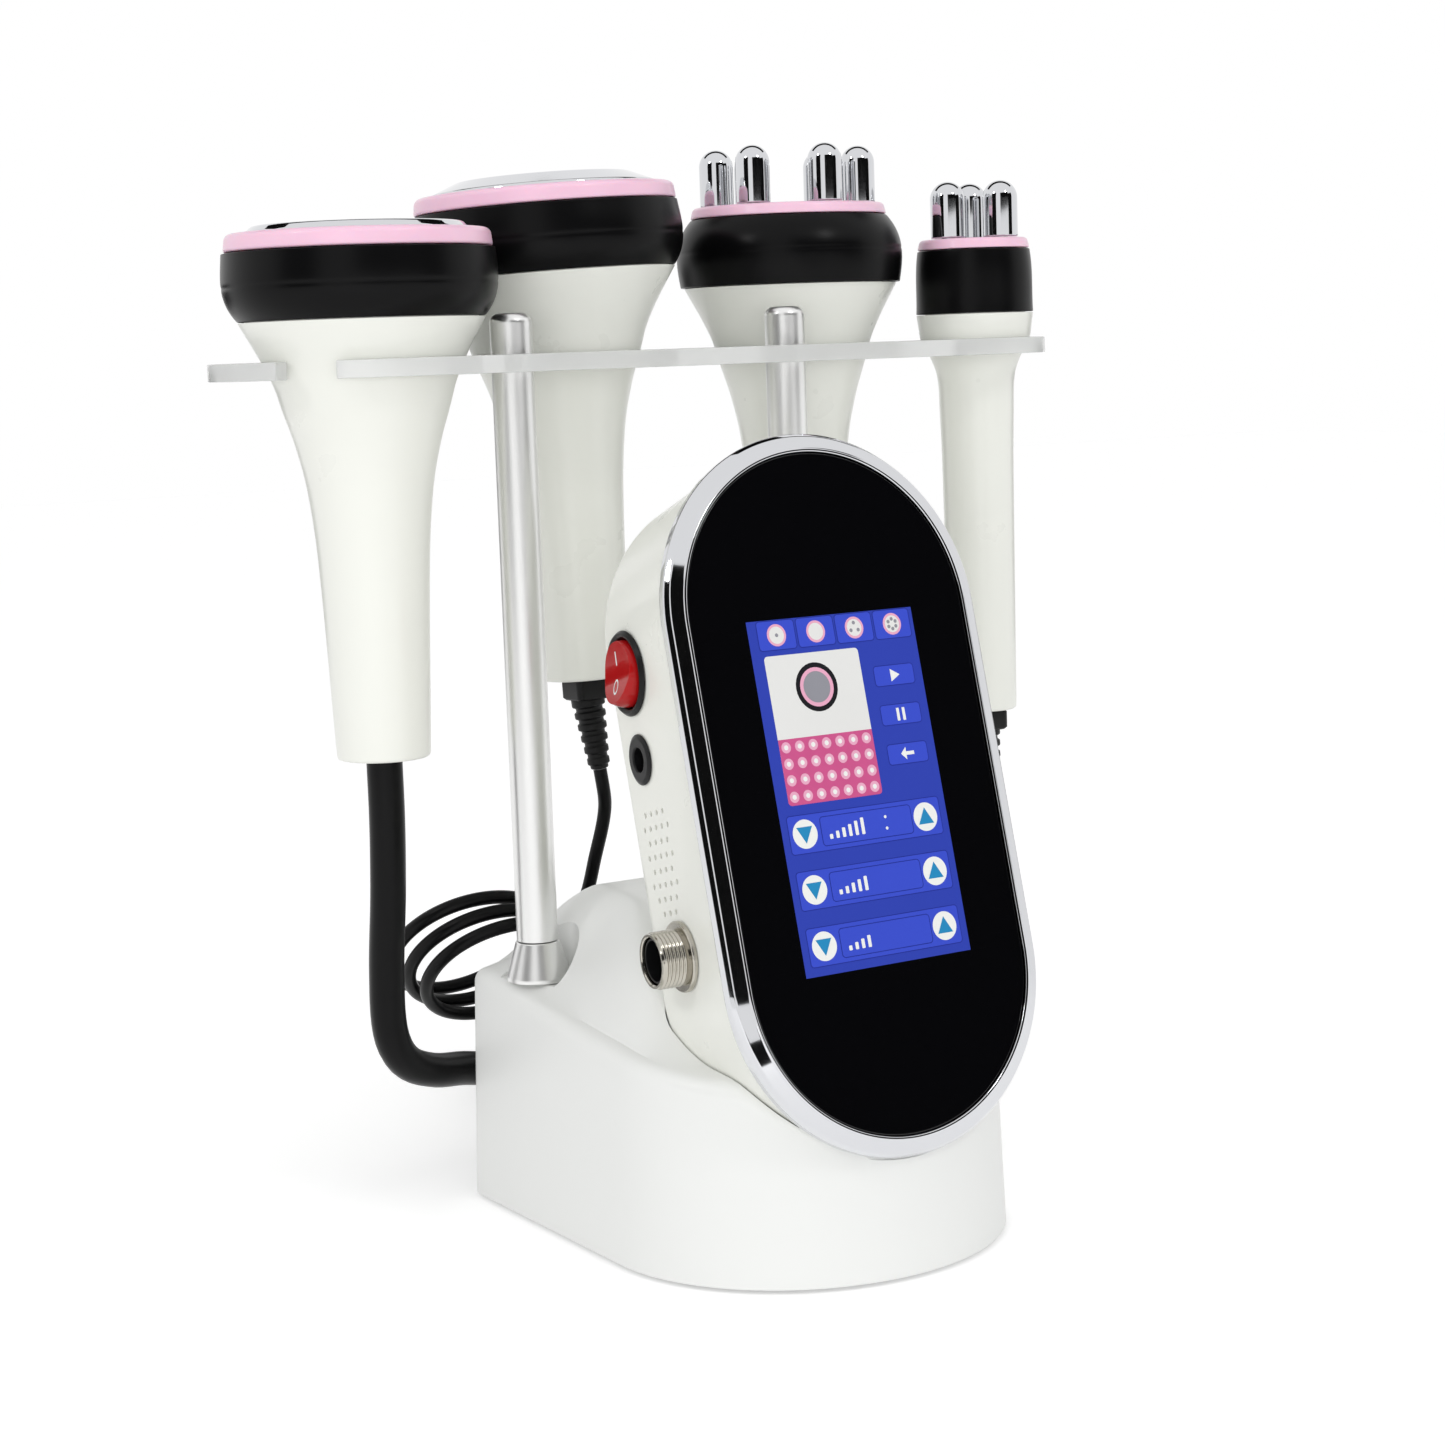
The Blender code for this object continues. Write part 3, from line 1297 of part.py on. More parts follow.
class Handpiece:
    """A handpiece hanging in the plate. Heights are measured from the plate's top."""

    def __init__(self, name, sizes):
        self.name = name
        for key, value in sizes.items():
            setattr(self, key, value)

    def place(self, stand):
        """Adds the empty that carries the handpiece, leaning about the plate's top."""
        turn = Matrix()
        if self.lean:
            axis = Vector((math.cos(HANDLE_LEAN_HEADING), math.sin(HANDLE_LEAN_HEADING), 0))
            turn = Matrix.Rotation(self.lean, 4, axis)
        self.frame = at(self.x, self.y, PLATE_TOP_Z) @ turn
        self.holder = empty(self.name, stand, self.frame.to_translation(), turn)

    def piece(self, suffix, bm, finish, smooth=True):
        return finish_object(f"{self.name}_{suffix}", bm, finish, self.holder, smooth)

    def flare(self):
        """Outer profile of the shell from its shoulder down to the grip's end."""
        end = self.shoulder_rise - self.grip_length
        span = self.shoulder_radius - self.end_radius
        points = [
            (self.end_radius + span * radius_share, self.shoulder_rise - self.grip_length * share)
            for share, radius_share in self.flare_shares
        ]
        return [*points, (self.end_radius, end + GRIP_EDGE), (self.end_radius - GRIP_EDGE, end)]

    def hole_radius(self):
        """The plate's hole: the shell's radius at the plate's top, its lean and a clearance."""
        heights, radii = zip(*((z, r) for r, z in reversed(self.flare())))
        radius = float(np.interp(0, heights, radii))
        slope = (float(np.interp(GRIP_EDGE, heights, radii)) - radius) / GRIP_EDGE
        return radius * (1 + math.sin(self.lean) * slope) + FIT_GAP

    def shell(self):
        """White shell: a collar inside the band, the flare and the grip, hollow throughout."""
        outer = self.flare()
        end = outer[-1][1]
        collar = self.collar_radius()
        hole = gland_neck(self.cord_radius) + FIT_GAP
        inside = drawn_in(outer, SHELL_SKIN)[1:-2]
        inner = [point for point in inside if point[0] < collar - SHELL_SKIN][::2]
        profile = [
            (collar - SHELL_SKIN, self.collar_rise()),
            (collar, self.collar_rise()),
            (collar, self.shoulder_rise),
            *outer,
            (hole, end),
            (hole, end + SHELL_SKIN),
            (self.end_radius - SHELL_SKIN, end + SHELL_SKIN),
            *inner[::-1],
            (collar - SHELL_SKIN, self.shoulder_rise),
        ]
        bm = bmesh.new()
        turned(bm, profile, HEAD_SIDES, closed=True)
        self.piece("shell", bm, IVORY_PLASTIC)

    def collar_radius(self):
        """Outer radius of the shell's collar, inside the band."""
        return min(self.shoulder_radius, self.ring_radius) - BAND_WALL

    def collar_rise(self):
        """Top of the shell's collar, on which the disc or the cap sits."""
        return self.ring_rise - self.ring_height - FIT_GAP

    def band(self):
        """Black band round the head, bulging or straight."""
        low = self.shoulder_rise + FIT_GAP
        high = self.collar_rise()
        inner = self.collar_radius() + FIT_GAP
        span = high - low
        reach = max(self.band_peak_share, 1 - self.band_peak_share)
        profile = [(inner, high)]
        for share in BAND_STEP_SHARES:
            swell = 1 - ((share - self.band_peak_share) / reach) ** 2
            straight = blend(self.shoulder_radius, self.ring_radius, share)
            profile.append((straight + (self.band_radius - straight) * swell, low + span * share))
        profile.append((inner, low))
        bm = bmesh.new()
        turned(bm, profile, HEAD_SIDES, closed=True)
        self.piece("band", bm, BLACK_PLASTIC)

    def gland(self):
        """Plug that closes the grip's end round the cord."""
        end = self.shoulder_rise - self.grip_length
        neck = gland_neck(self.cord_radius)
        top = end + SHELL_SKIN + FIT_GAP
        wide = min(GRIP_GLAND_RADIUS, self.end_radius - SHELL_SKIN - FIT_GAP * 2)
        bm = bmesh.new()
        turned(
            bm,
            (
                (0, top + GRIP_GLAND_FLANGE),
                (wide, top + GRIP_GLAND_FLANGE),
                (wide, top),
                (neck, top),
                (neck, end),
                (0, end),
            ),
            BARREL_SIDES,
        )
        self.piece("gland", bm, BLACK_RUBBER)

    def relief(self):
        """Gland with a square block and a ribbed sleeve, which the thin cord leaves by."""
        end = self.shoulder_rise - self.grip_length
        neck = gland_neck(self.cord_radius)
        top = end + SHELL_SKIN + FIT_GAP
        wide = min(GRIP_GLAND_RADIUS, self.end_radius - SHELL_SKIN - FIT_GAP * 2)
        block = end - FIT_GAP
        low = block - RELIEF_BLOCK_HEIGHT
        pitch = RELIEF_LENGTH / RELIEF_RIBS
        middle = (block + low) / 2
        ribs = [(0, middle), (RELIEF_RADIUS, middle)]
        for k in range(RELIEF_RIBS):
            rib = blend(RELIEF_RADIUS, self.cord_radius * RELIEF_TIP_SHARE, k / RELIEF_RIBS)
            z = low - pitch * k
            groove = rib * RELIEF_GROOVE_SHARE
            start, end_share, foot = RELIEF_RIB_SHARES
            ribs += [(rib, z - pitch * start), (rib, z - pitch * end_share)]
            ribs += [(groove, z - pitch * foot), (groove, z - pitch)]
        bm = bmesh.new()
        turned(
            bm,
            (
                (0, top + GRIP_GLAND_FLANGE),
                (wide, top + GRIP_GLAND_FLANGE),
                (wide, top),
                (neck, top),
                (neck, middle),
                (0, middle),
            ),
            SMALL_SIDES,
        )
        obj = self.piece("strain_relief", bm, BLACK_RUBBER)
        bm = bmesh.new()
        half = RELIEF_BLOCK / 2
        box(bm, (-half, -half, low), (half, half, block))
        combine(obj, helper_object(f"{self.name}_block", bm, self.holder), "UNION")
        bm = bmesh.new()
        turned(bm, (*ribs, (0, ribs[-1][1])), SMALL_SIDES, relief_turn(low))
        combine(obj, helper_object(f"{self.name}_ribs", bm, self.holder), "UNION")

    def cord_exit(self):
        """Where the cord leaves the handpiece, and a point one diameter further on."""
        end = self.shoulder_rise - self.grip_length
        turn = self.frame
        if self.ribbed:
            low = end - FIT_GAP - RELIEF_BLOCK_HEIGHT
            turn = turn @ relief_turn(low)
            end = low - RELIEF_LENGTH
        return [turn @ Vector((0, 0, end - FIT_GAP - run)) for run in (0, self.cord_radius * 2)]

    def ring(self):
        """Pink ring round the disc."""
        low = self.collar_rise() + FIT_GAP
        inner = self.disc_radius + FIT_GAP
        edge = self.ring_height / 5
        top = self.ring_radius - edge / 2
        bm = bmesh.new()
        profile = (
            (inner, self.ring_rise),
            (top - edge, self.ring_rise),
            (top, self.ring_rise - edge),
            (self.ring_radius, low),
            (inner, low),
        )
        turned(bm, profile, HEAD_SIDES, closed=True)
        self.piece("ring", bm, PINK_PLASTIC)

    def disc(self):
        """Chrome disc that touches the skin, hollow behind, seated on the shell's collar."""
        low = self.collar_rise() + FIT_GAP
        top = self.ring_rise + self.disc_proud
        skin = self.disc_skin()
        hollow = self.disc_radius - skin * DISC_HOLLOW_SHARE
        bm = bmesh.new()
        turned(
            bm,
            (
                (0, top),
                (self.disc_flat_radius, top),
                (self.disc_radius - FIT_GAP, top - self.disc_proud * DISC_EDGE_SHARE),
                (self.disc_radius, top - self.disc_proud),
                (self.disc_radius, low),
                (hollow, low),
                (hollow, self.ring_rise - skin),
                (0, self.ring_rise - skin),
            ),
            HEAD_SIDES,
        )
        self.piece("disc", bm, CHROME)

    def disc_skin(self):
        """Thickness of the disc's plate behind its face."""
        return self.ring_height * DISC_SKIN_SHARE

    def transducer(self):
        """Metal masses clamped on two ceramic rings by a bolt, against the disc's back."""
        top = self.ring_rise - self.disc_skin() - FIT_GAP
        front = top - self.stack_height * TRANSDUCER_FRONT_SHARE
        rear = front - self.stack_height * TRANSDUCER_RING_SHARE
        end = top - self.stack_height
        middle = (front + rear) / 2
        ring = self.stack_radius * TRANSDUCER_RING_RADIUS_SHARE
        groove = ring - FIT_GAP * 2
        mass = self.stack_radius * TRANSDUCER_REAR_RADIUS_SHARE
        bolt = self.stack_radius * TRANSDUCER_BOLT_RADIUS_SHARE
        bm = bmesh.new()
        turned(
            bm,
            (
                (0, top),
                (self.stack_radius, top),
                (self.stack_radius, front),
                (ring, front),
                (ring, middle + FIT_GAP),
                (groove, middle),
                (ring, middle - FIT_GAP),
                (ring, rear),
                (mass, rear),
                (mass, end),
                (bolt, end),
                (bolt, end - SHELL_SKIN),
                (0, end - SHELL_SKIN),
            ),
            BARREL_SIDES,
        )
        self.piece("transducer", bm, ALUMINIUM)

    def electrode_places(self):
        """Matrix of each electrode, the first at the handpiece's own heading."""
        for k in range(self.electrodes):
            angle = self.electrode_heading + math.tau * k / self.electrodes
            radius = self.electrode_circle
            yield at(radius * math.cos(angle), radius * math.sin(angle), 0)

    def cap(self):
        """Pink cap that closes the head and carries the electrodes."""
        low = self.collar_rise() + FIT_GAP
        edge = self.ring_height / 5
        top = self.ring_radius - edge
        bm = bmesh.new()
        turned(
            bm,
            (
                (0, self.ring_rise),
                (top - edge, self.ring_rise),
                (top, self.ring_rise - edge),
                (self.ring_radius, low),
                (0, low),
            ),
            HEAD_SIDES,
        )
        cap = self.piece("cap", bm, PINK_PLASTIC)
        holes = bmesh.new()
        for place in self.electrode_places():
            ends = (low - BOOLEAN_OVERRUN, self.ring_rise + BOOLEAN_OVERRUN)
            cylinder(holes, self.stud_radius() + FIT_GAP, *ends, SMALL_SIDES, place)
        cut(cap, helper_object(f"{self.name}_holes", holes, self.holder))

    def stud_radius(self):
        return self.electrode_radius * STUD_RADIUS_SHARE

    def electrode_set(self):
        """Domed electrodes on the cap, their studs carried by the contact plate behind it."""
        low = self.ring_rise + FIT_GAP
        top = self.ring_rise + self.electrode_height
        radius = self.electrode_radius
        dome = []
        for k in range(DOME_STEPS + 1):
            angle = math.pi / 2 * k / DOME_STEPS
            dome.append((radius * math.sin(angle), top - radius * (1 - math.cos(angle))))
        plate_top = self.collar_rise() - self.ring_height
        plate_low = plate_top - BOARD_THICKNESS
        stud = self.stud_radius()
        end = (plate_top + plate_low) / 2
        studs = bmesh.new()
        for place in self.electrode_places():
            profile = (*dome, (radius, low), (stud, low), (stud, end), (0, end))
            turned(studs, profile, SMALL_SIDES, place)
        bm = bmesh.new()
        wide = self.collar_radius() - SHELL_SKIN - FIT_GAP
        cylinder(bm, wide, plate_low, plate_top, BARREL_SIDES)
        plate = self.piece("electrodes", bm, CHROME)
        combine(plate, helper_object(f"{self.name}_studs", studs, self.holder), "UNION")


def handpieces():
    """The four handpieces from left to right."""
    return [
        Handpiece("body_handle", BODY_HANDLE),
        Handpiece("sonic_handle", SONIC_HANDLE),
        Handpiece("hexapolar_handle", HEXAPOLAR_HANDLE),
        Handpiece("tripolar_handle", TRIPOLAR_HANDLE),
    ]


def build_handpieces(stand, handles):
    body, sonic, hexapolar, tripolar = handles
    for handle in handles:
        handle.place(stand)
        handle.shell()
        handle.band()
        if handle.ribbed:
            handle.relief()
        else:
            handle.gland()
    for handle in (body, sonic):
        handle.ring()
        handle.disc()
        handle.transducer()
    for handle in (hexapolar, tripolar):
        handle.cap()
        handle.electrode_set()


# Cords


def body_coil():
    """Turns of the thick cord on the floor behind the base: they spiral in, climb and spiral out."""
    steps = round(BODY_COIL_TURNS * LOOP_POINTS)
    points = []
    for k in range(steps + 1):
        turn = BODY_COIL_TURNS * k / steps
        angle = math.tau * (turn - 0.25)
        drawn = BODY_COIL_PITCH * (BODY_COIL_TURNS / 2 - abs(turn - BODY_COIL_TURNS / 2))
        radius = BODY_COIL_RADIUS - drawn
        climb = ramp(turn, BODY_COIL_TURNS / 2 - 0.25, BODY_COIL_TURNS / 2 + 0.25)
        x, y, z = BODY_COIL_CENTRE
        points.append(
            Vector((x + radius * math.cos(angle), y + radius * math.sin(angle), z + climb * BODY_COIL_LAYER))
        )
    return points


def sonic_coil():
    """Loose loops of the thin cord behind the base, each a little in front of the one before."""
    along = Vector(SONIC_COIL_ALONG).normalized()
    up = Vector(SONIC_COIL_UP)
    up = (up - along * up.dot(along)).normalized()
    steps = round(SONIC_COIL_TURNS * LOOP_POINTS)
    points = []
    for k in range(steps + 1):
        turn = SONIC_COIL_TURNS * k / steps
        angle = SONIC_COIL_START - math.tau * turn
        middle = Vector(SONIC_COIL_CENTRE) + Vector(SONIC_COIL_SHIFT) * (turn - SONIC_COIL_TURNS / 2)
        points.append(middle + (along * math.cos(angle) + up * math.sin(angle)) * SONIC_COIL_RADIUS)
    return points


def least_gap(points, radius):
    """Least gap between parts of a coil that are over half a loop apart."""
    least = math.inf
    spots = np.array(points)
    fine = np.concatenate([spots[:-1] + (spots[1:] - spots[:-1]) * share for share in (0, 0.25, 0.5, 0.75)])
    order = np.argsort(np.tile(np.arange(len(spots) - 1), 4), kind="stable")
    fine = fine[order]
    apart = LOOP_POINTS * 2
    for i in range(len(fine) - apart):
        distances = np.linalg.norm(fine[i + apart :] - fine[i], axis=1)
        least = min(least, distances.min())
    return least - 2 * radius


def straight_end(point, towards, radius):
    """A point one cord diameter from an end, on the line along which the cord leaves it."""
    return Vector(point) + Vector(towards).normalized() * radius * 2


def cords(stand, body, sonic):
    """The two cords that the machine shows, each as a lead, its turns and a tail."""
    glands = gland_places()
    for name, handle, lead, coil, tail in (
        ("body_cord", body, BODY_LEAD, body_coil(), BODY_TAIL),
        ("sonic_cord", sonic, SONIC_LEAD, sonic_coil(), SONIC_TAIL),
    ):
        x, z, flange, radius = glands[f"{name}_gland"]
        face = gland_face_y(z, flange) + FIT_GAP
        print(f"{name} least gap between turns: {least_gap(coil, radius) * 1000:.2f} mm")
        into, out = (coil[1] - coil[0]).normalized(), (coil[-1] - coil[-2]).normalized()
        lead_end = coil[0] - into * FIT_GAP
        tail_start = coil[-1] + out * FIT_GAP
        spacing = radius * CORD_STEP
        lead_route = [*handle.cord_exit(), *lead, straight_end(lead_end, -into, radius), lead_end]
        tail_route = [tail_start, straight_end(tail_start, out, radius), *tail]
        tail_route += [(x, face + radius * 2, z), (x, face, z)]
        lead_points = smooth_route(lead_route, spacing, (True, True))
        tail_points = smooth_route(tail_route, spacing, (True, True))
        tube(f"{name}_lead", lead_points, radius, stand)
        tube(f"{name}_coil", coil, radius, stand, bevel_resolution=1)
        tube(f"{name}_tail", tail_points, radius, stand)


def centre_over_origin(stand):
    """Moves the stand so that the middle of the part's box, without its cords, is at the origin."""
    bpy.context.view_layer.update()
    graph = bpy.context.evaluated_depsgraph_get()
    corners = []
    for obj in bpy.data.objects:
        if obj.type != "MESH" or obj.hide_render:
            continue
        evaluated = obj.evaluated_get(graph)
        corners += [evaluated.matrix_world @ Vector(corner) for corner in evaluated.bound_box]
    middle = [(min(c[i] for c in corners) + max(c[i] for c in corners)) / 2 for i in range(2)]
    stand.location = (-middle[0], -middle[1], -min(c.z for c in corners))
    print("stand moved by", [round(value, 6) for value in stand.location])


def main():
    clear_scene()
    stand = empty("stand")
    unit = screen_unit(stand)
    base_shell(stand, unit)
    base_fittings(stand)
    handles = handpieces()
    holder_plate(stand, handles)
    build_handpieces(stand, handles)
    cords(stand, *handles[:2])
    centre_over_origin(stand)


if __name__ == "__main__":
    main()
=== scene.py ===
"""Dresses the body care machine: fine surfaces, finishes, cords, studio and camera.

Lengths are metres. The stand frame has X = 0 on the base's plane of symmetry, Y = 0 on the
rods, +Y to the back and Z = 0 on the floor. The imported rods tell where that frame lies.
"""

from __future__ import annotations

import logging
import math
from dataclasses import dataclass, field
from enum import Enum, IntEnum
from typing import Iterable, Sequence

import bmesh
import bpy
import numpy as np
from mathutils import Matrix, Vector, geometry

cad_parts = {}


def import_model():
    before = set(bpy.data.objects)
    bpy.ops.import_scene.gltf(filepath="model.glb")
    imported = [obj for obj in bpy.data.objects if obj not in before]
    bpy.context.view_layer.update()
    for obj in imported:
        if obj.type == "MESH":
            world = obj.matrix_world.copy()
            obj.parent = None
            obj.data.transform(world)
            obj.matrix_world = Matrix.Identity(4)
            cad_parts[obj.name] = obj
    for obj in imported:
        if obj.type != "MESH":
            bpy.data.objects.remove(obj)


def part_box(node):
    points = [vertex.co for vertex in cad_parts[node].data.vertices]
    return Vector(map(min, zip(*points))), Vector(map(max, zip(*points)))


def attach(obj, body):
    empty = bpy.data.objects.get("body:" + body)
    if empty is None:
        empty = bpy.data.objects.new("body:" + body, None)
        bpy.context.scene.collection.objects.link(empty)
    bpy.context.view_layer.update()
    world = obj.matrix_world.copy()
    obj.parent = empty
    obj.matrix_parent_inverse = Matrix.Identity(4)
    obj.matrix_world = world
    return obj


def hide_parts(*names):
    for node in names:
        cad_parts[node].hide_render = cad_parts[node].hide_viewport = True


LOG = logging.getLogger("machine")

Colour = tuple[float, float, float]
Point2 = tuple[float, float]
Point3 = tuple[float, float, float]
Profile = Sequence[Point2]

FIT_GAP = 0.0003
OVERRUN = 0.004
THICK_CORD = 0.0052
THIN_CORD = 0.0021
CORNER_STEPS = 4


class Body(Enum):
    """The bodies that pieces ride on."""

    STAND = "stand"
    ROCKER = "rocker"
    BODY_HANDLE = "body_handle"
    SONIC_HANDLE = "sonic_handle"
    HEXAPOLAR_HANDLE = "hexapolar_handle"
    TRIPOLAR_HANDLE = "tripolar_handle"


class Sides(IntEnum):
    """How finely a round piece is divided."""

    LARGE = 96
    MEDIUM = 64
    SMALL = 32


# Finishes


def linear(value: float) -> float:
    """Turns one display value from 0 to 255 into a linear one."""
    share = value / 255
    return share / 12.92 if share <= 0.04045 else ((share + 0.055) / 1.055) ** 2.4


@dataclass(frozen=True)
class Finish:
    """A finish: colour in display values, gloss, and the fine relief of its surface."""

    name: str
    slot: str
    colour: Colour
    roughness: float
    metallic: float = 0.0
    mottle: float = 0.02
    mottle_size: float = 0.020
    wear: float = 0.04
    grain_size: float = 0.0004
    grain_depth: float = 0.0
    grain_stretch: Point3 = (1.0, 1.0, 1.0)
    specular: float = 0.5
    coat: float = 0.0
    transmission: float = 0.0
    scatter: float = 0.0

    def material(self) -> bpy.types.Material:
        """Makes the material once.

        Returns:
            The finish's material, with colour, roughness and relief from its nodes.
        """
        found = bpy.data.materials.get(self.name)
        if found:
            return found
        made = bpy.data.materials.new(self.name)
        made.use_nodes = True
        tree = made.node_tree
        nodes, links = tree.nodes, tree.links
        shader = nodes["Principled BSDF"]
        place = nodes.new("ShaderNodeTexCoord")
        patches = nodes.new("ShaderNodeTexNoise")
        patches.inputs["Scale"].default_value = 1 / self.mottle_size
        patches.inputs["Detail"].default_value = 5.0
        links.new(place.outputs["Object"], patches.inputs["Vector"])
        links.new(self._tint(tree, patches), shader.inputs["Base Color"])
        gloss = nodes.new("ShaderNodeMapRange")
        gloss.inputs["To Min"].default_value = self.roughness - self.wear / 2
        gloss.inputs["To Max"].default_value = self.roughness + self.wear / 2
        links.new(patches.outputs["Fac"], gloss.inputs["Value"])
        links.new(gloss.outputs["Result"], shader.inputs["Roughness"])
        if self.grain_depth:
            links.new(self._relief(tree, place), shader.inputs["Normal"])
        shader.inputs["Metallic"].default_value = self.metallic
        shader.inputs["Specular IOR Level"].default_value = self.specular
        shader.inputs["Coat Weight"].default_value = self.coat
        shader.inputs["Coat Roughness"].default_value = 0.05
        shader.inputs["Transmission Weight"].default_value = self.transmission
        if self.scatter:
            shader.inputs["Subsurface Weight"].default_value = self.scatter
            shader.inputs["Subsurface Scale"].default_value = 0.002
        return made

    def _shade(self, share: float) -> tuple[float, float, float, float]:
        """The colour, lightened or darkened by a share."""
        return (*(min(linear(value) * share, 1.0) for value in self.colour), 1.0)

    def _tint(self, tree: bpy.types.NodeTree, patches: bpy.types.Node) -> bpy.types.NodeSocket:
        """Colour that varies a little from patch to patch.

        Args:
            tree: The material's nodes.
            patches: Noise that tells the patches.

        Returns:
            The socket that gives the colour.
        """
        mix = tree.nodes.new("ShaderNodeMix")
        mix.data_type = "RGBA"
        mix.inputs["A"].default_value = self._shade(1 - self.mottle)
        mix.inputs["B"].default_value = self._shade(1 + self.mottle)
        tree.links.new(patches.outputs["Fac"], mix.inputs["Factor"])
        return mix.outputs["Result"]

    def _relief(self, tree: bpy.types.NodeTree, place: bpy.types.Node) -> bpy.types.NodeSocket:
        """Fine grain of the surface as a bump.

        Args:
            tree: The material's nodes.
            place: Coordinates of the surface.

        Returns:
            The socket that gives the normal.
        """
        nodes, links = tree.nodes, tree.links
        stretch = nodes.new("ShaderNodeMapping")
        stretch.inputs["Scale"].default_value = self.grain_stretch
        grain = nodes.new("ShaderNodeTexNoise")
        grain.inputs["Scale"].default_value = 1 / self.grain_size
        grain.inputs["Detail"].default_value = 2.0
        bump = nodes.new("ShaderNodeBump")
        bump.inputs["Distance"].default_value = self.grain_depth
        links.new(place.outputs["Object"], stretch.inputs["Vector"])
        links.new(stretch.outputs["Vector"], grain.inputs["Vector"])
        links.new(grain.outputs["Fac"], bump.inputs["Height"])
        return bump.outputs["Normal"]


WHITE_SHELL = Finish(
    "satin_white", "white_plastic", (240, 241, 239), 0.38, mottle=0.006, grain_depth=0.000004
)
IVORY_SHELL = Finish(
    "glossy_ivory", "ivory_plastic", (243, 244, 237), 0.28, mottle=0.006, coat=0.15, grain_depth=0.000002
)
BLACK_BAND = Finish(
    "grained_black",
    "black_plastic",
    (8, 8, 9),
    0.30,
    mottle=0.10,
    specular=0.13,
    grain_size=0.00035,
    grain_depth=0.000012,
)
BLACK_FITTING = Finish(
    "black_fitting", "black_plastic", (17, 17, 18), 0.34, specular=0.22, grain_depth=0.000006
)
BLACK_RUBBER = Finish(
    "black_rubber_skin", "black_rubber", (13, 13, 14), 0.44, specular=0.25, grain_depth=0.000008
)
CORD_SKIN = Finish(
    "cord_skin",
    "black_rubber",
    (9, 9, 10),
    0.30,
    wear=0.10,
    specular=0.15,
    grain_size=0.0012,
    grain_depth=0.000012,
)
PINK_RING = Finish(
    "pearly_pink", "pink_plastic", (246, 202, 224), 0.32, mottle=0.03, scatter=0.15, coat=0.15
)
CLEAR_ACRYLIC = Finish(
    "clear_acrylic", "clear_plastic", (246, 247, 246), 0.20, transmission=0.42, mottle=0.004
)
RED_BUTTON = Finish(
    "red_button", "red_plastic", (176, 20, 22), 0.12, mottle=0.12, mottle_size=0.006, specular=0.25
)
BLACK_GLASS = Finish("backed_glass", "black_glass", (7, 7, 9), 0.05, mottle=0.02, wear=0.01)
CHROME = Finish("mirror_chrome", "chrome", (214, 215, 218), 0.045, 1.0, mottle=0.01, wear=0.02)
NICKEL = Finish(
    "plated_nickel", "steel", (188, 184, 174), 0.17, 1.0, mottle=0.04, wear=0.08, grain_depth=0.000002
)
STEEL = Finish("plain_steel", "steel", (160, 160, 162), 0.32, 1.0, mottle=0.05)
ALUMINIUM = Finish(
    "drawn_aluminium",
    "aluminium",
    (238, 238, 237),
    0.34,
    1.0,
    mottle=0.03,
    wear=0.10,
    grain_size=0.0005,
    grain_depth=0.000005,
    grain_stretch=(1.0, 1.0, 0.03),
)
BOARD_GREEN = Finish(
    "coated_board", "green_board", (24, 84, 52), 0.45, mottle=0.10, grain_depth=0.00001
)
PRINT_WHITE = Finish("print_white", "white_plastic", (240, 240, 240), 0.30, specular=0.2)


def screen(name: str, colour: Colour, mottle: float = 0.02, mottle_size: float = 0.020) -> Finish:
    """A finish of something that the display shows."""
    return Finish(name, "screen", colour, 0.25, mottle=mottle, mottle_size=mottle_size, specular=0.12)


PANEL_BLUE = screen("panel_blue", (50, 68, 176), 0.01)
ROW_BLUE = screen("row_blue", (60, 80, 203))
LINE_BLUE = screen("line_blue", (38, 50, 144))
MARK_WHITE = screen("mark_white", (238, 239, 236))
MARK_TEAL = screen("mark_teal", (42, 138, 190))
PICTURE_PALE = screen("picture_pale", (228, 228, 226))
PICTURE_PINK = screen("picture_pink", (204, 88, 140), 0.10, 0.006)
PICTURE_ROSE = screen("picture_rose", (232, 170, 196), 0.04)
PICTURE_GREY = screen("picture_grey", (146, 146, 154), 0.06)
PICTURE_BLACK = screen("picture_black", (34, 34, 38))


# Mesh helpers


def at(x: float, y: float, z: float) -> Matrix:
    """A move as a matrix."""
    return Matrix.Translation((x, y, z))


def blend(first: float, second: float, share: float) -> float:
    """The value a share of the way from the first to the second."""
    return first + (second - first) * share


def ramp(value: float, start: float, end: float) -> float:
    """Smooth step from zero at start to one at end."""
    share = min(max((value - start) / (end - start), 0.0), 1.0)
    return share * share * (3 - 2 * share)


def bridge(bm: bmesh.types.BMesh, lower: list, upper: list) -> None:
    """Joins two rings of vertices with quads, or fans to a ring of one.

    Args:
        bm: Mesh that holds both rings.
        lower: Vertices of the first ring.
        upper: Vertices of the second, as many or one.
    """
    count = max(len(lower), len(upper))
    for i in range(count):
        j = (i + 1) % count
        corners = [
            lower[i % len(lower)],
            lower[j % len(lower)],
            upper[j % len(upper)],
            upper[i % len(upper)],
        ]
        corners = list(dict.fromkeys(corners))
        if len(corners) > 2:
            bm.faces.new(corners)


def loft(bm: bmesh.types.BMesh, rings: Iterable, closed: bool = False) -> None:
    """Skins rings of points in turn.

    Args:
        bm: Mesh that takes the skin.
        rings: Rings of points, as many in each, or one point where it closes.
        closed: Whether the last ring joins the first, instead of end caps.
    """
    made = [[bm.verts.new(point) for point in ring] for ring in rings]
    for lower, upper in zip(made, made[1:]):
        bridge(bm, lower, upper)
    if closed:
        bridge(bm, made[-1], made[0])
        return
    for ring in (made[0], made[-1]):
        if len(ring) > 2:
            bm.faces.new(ring)


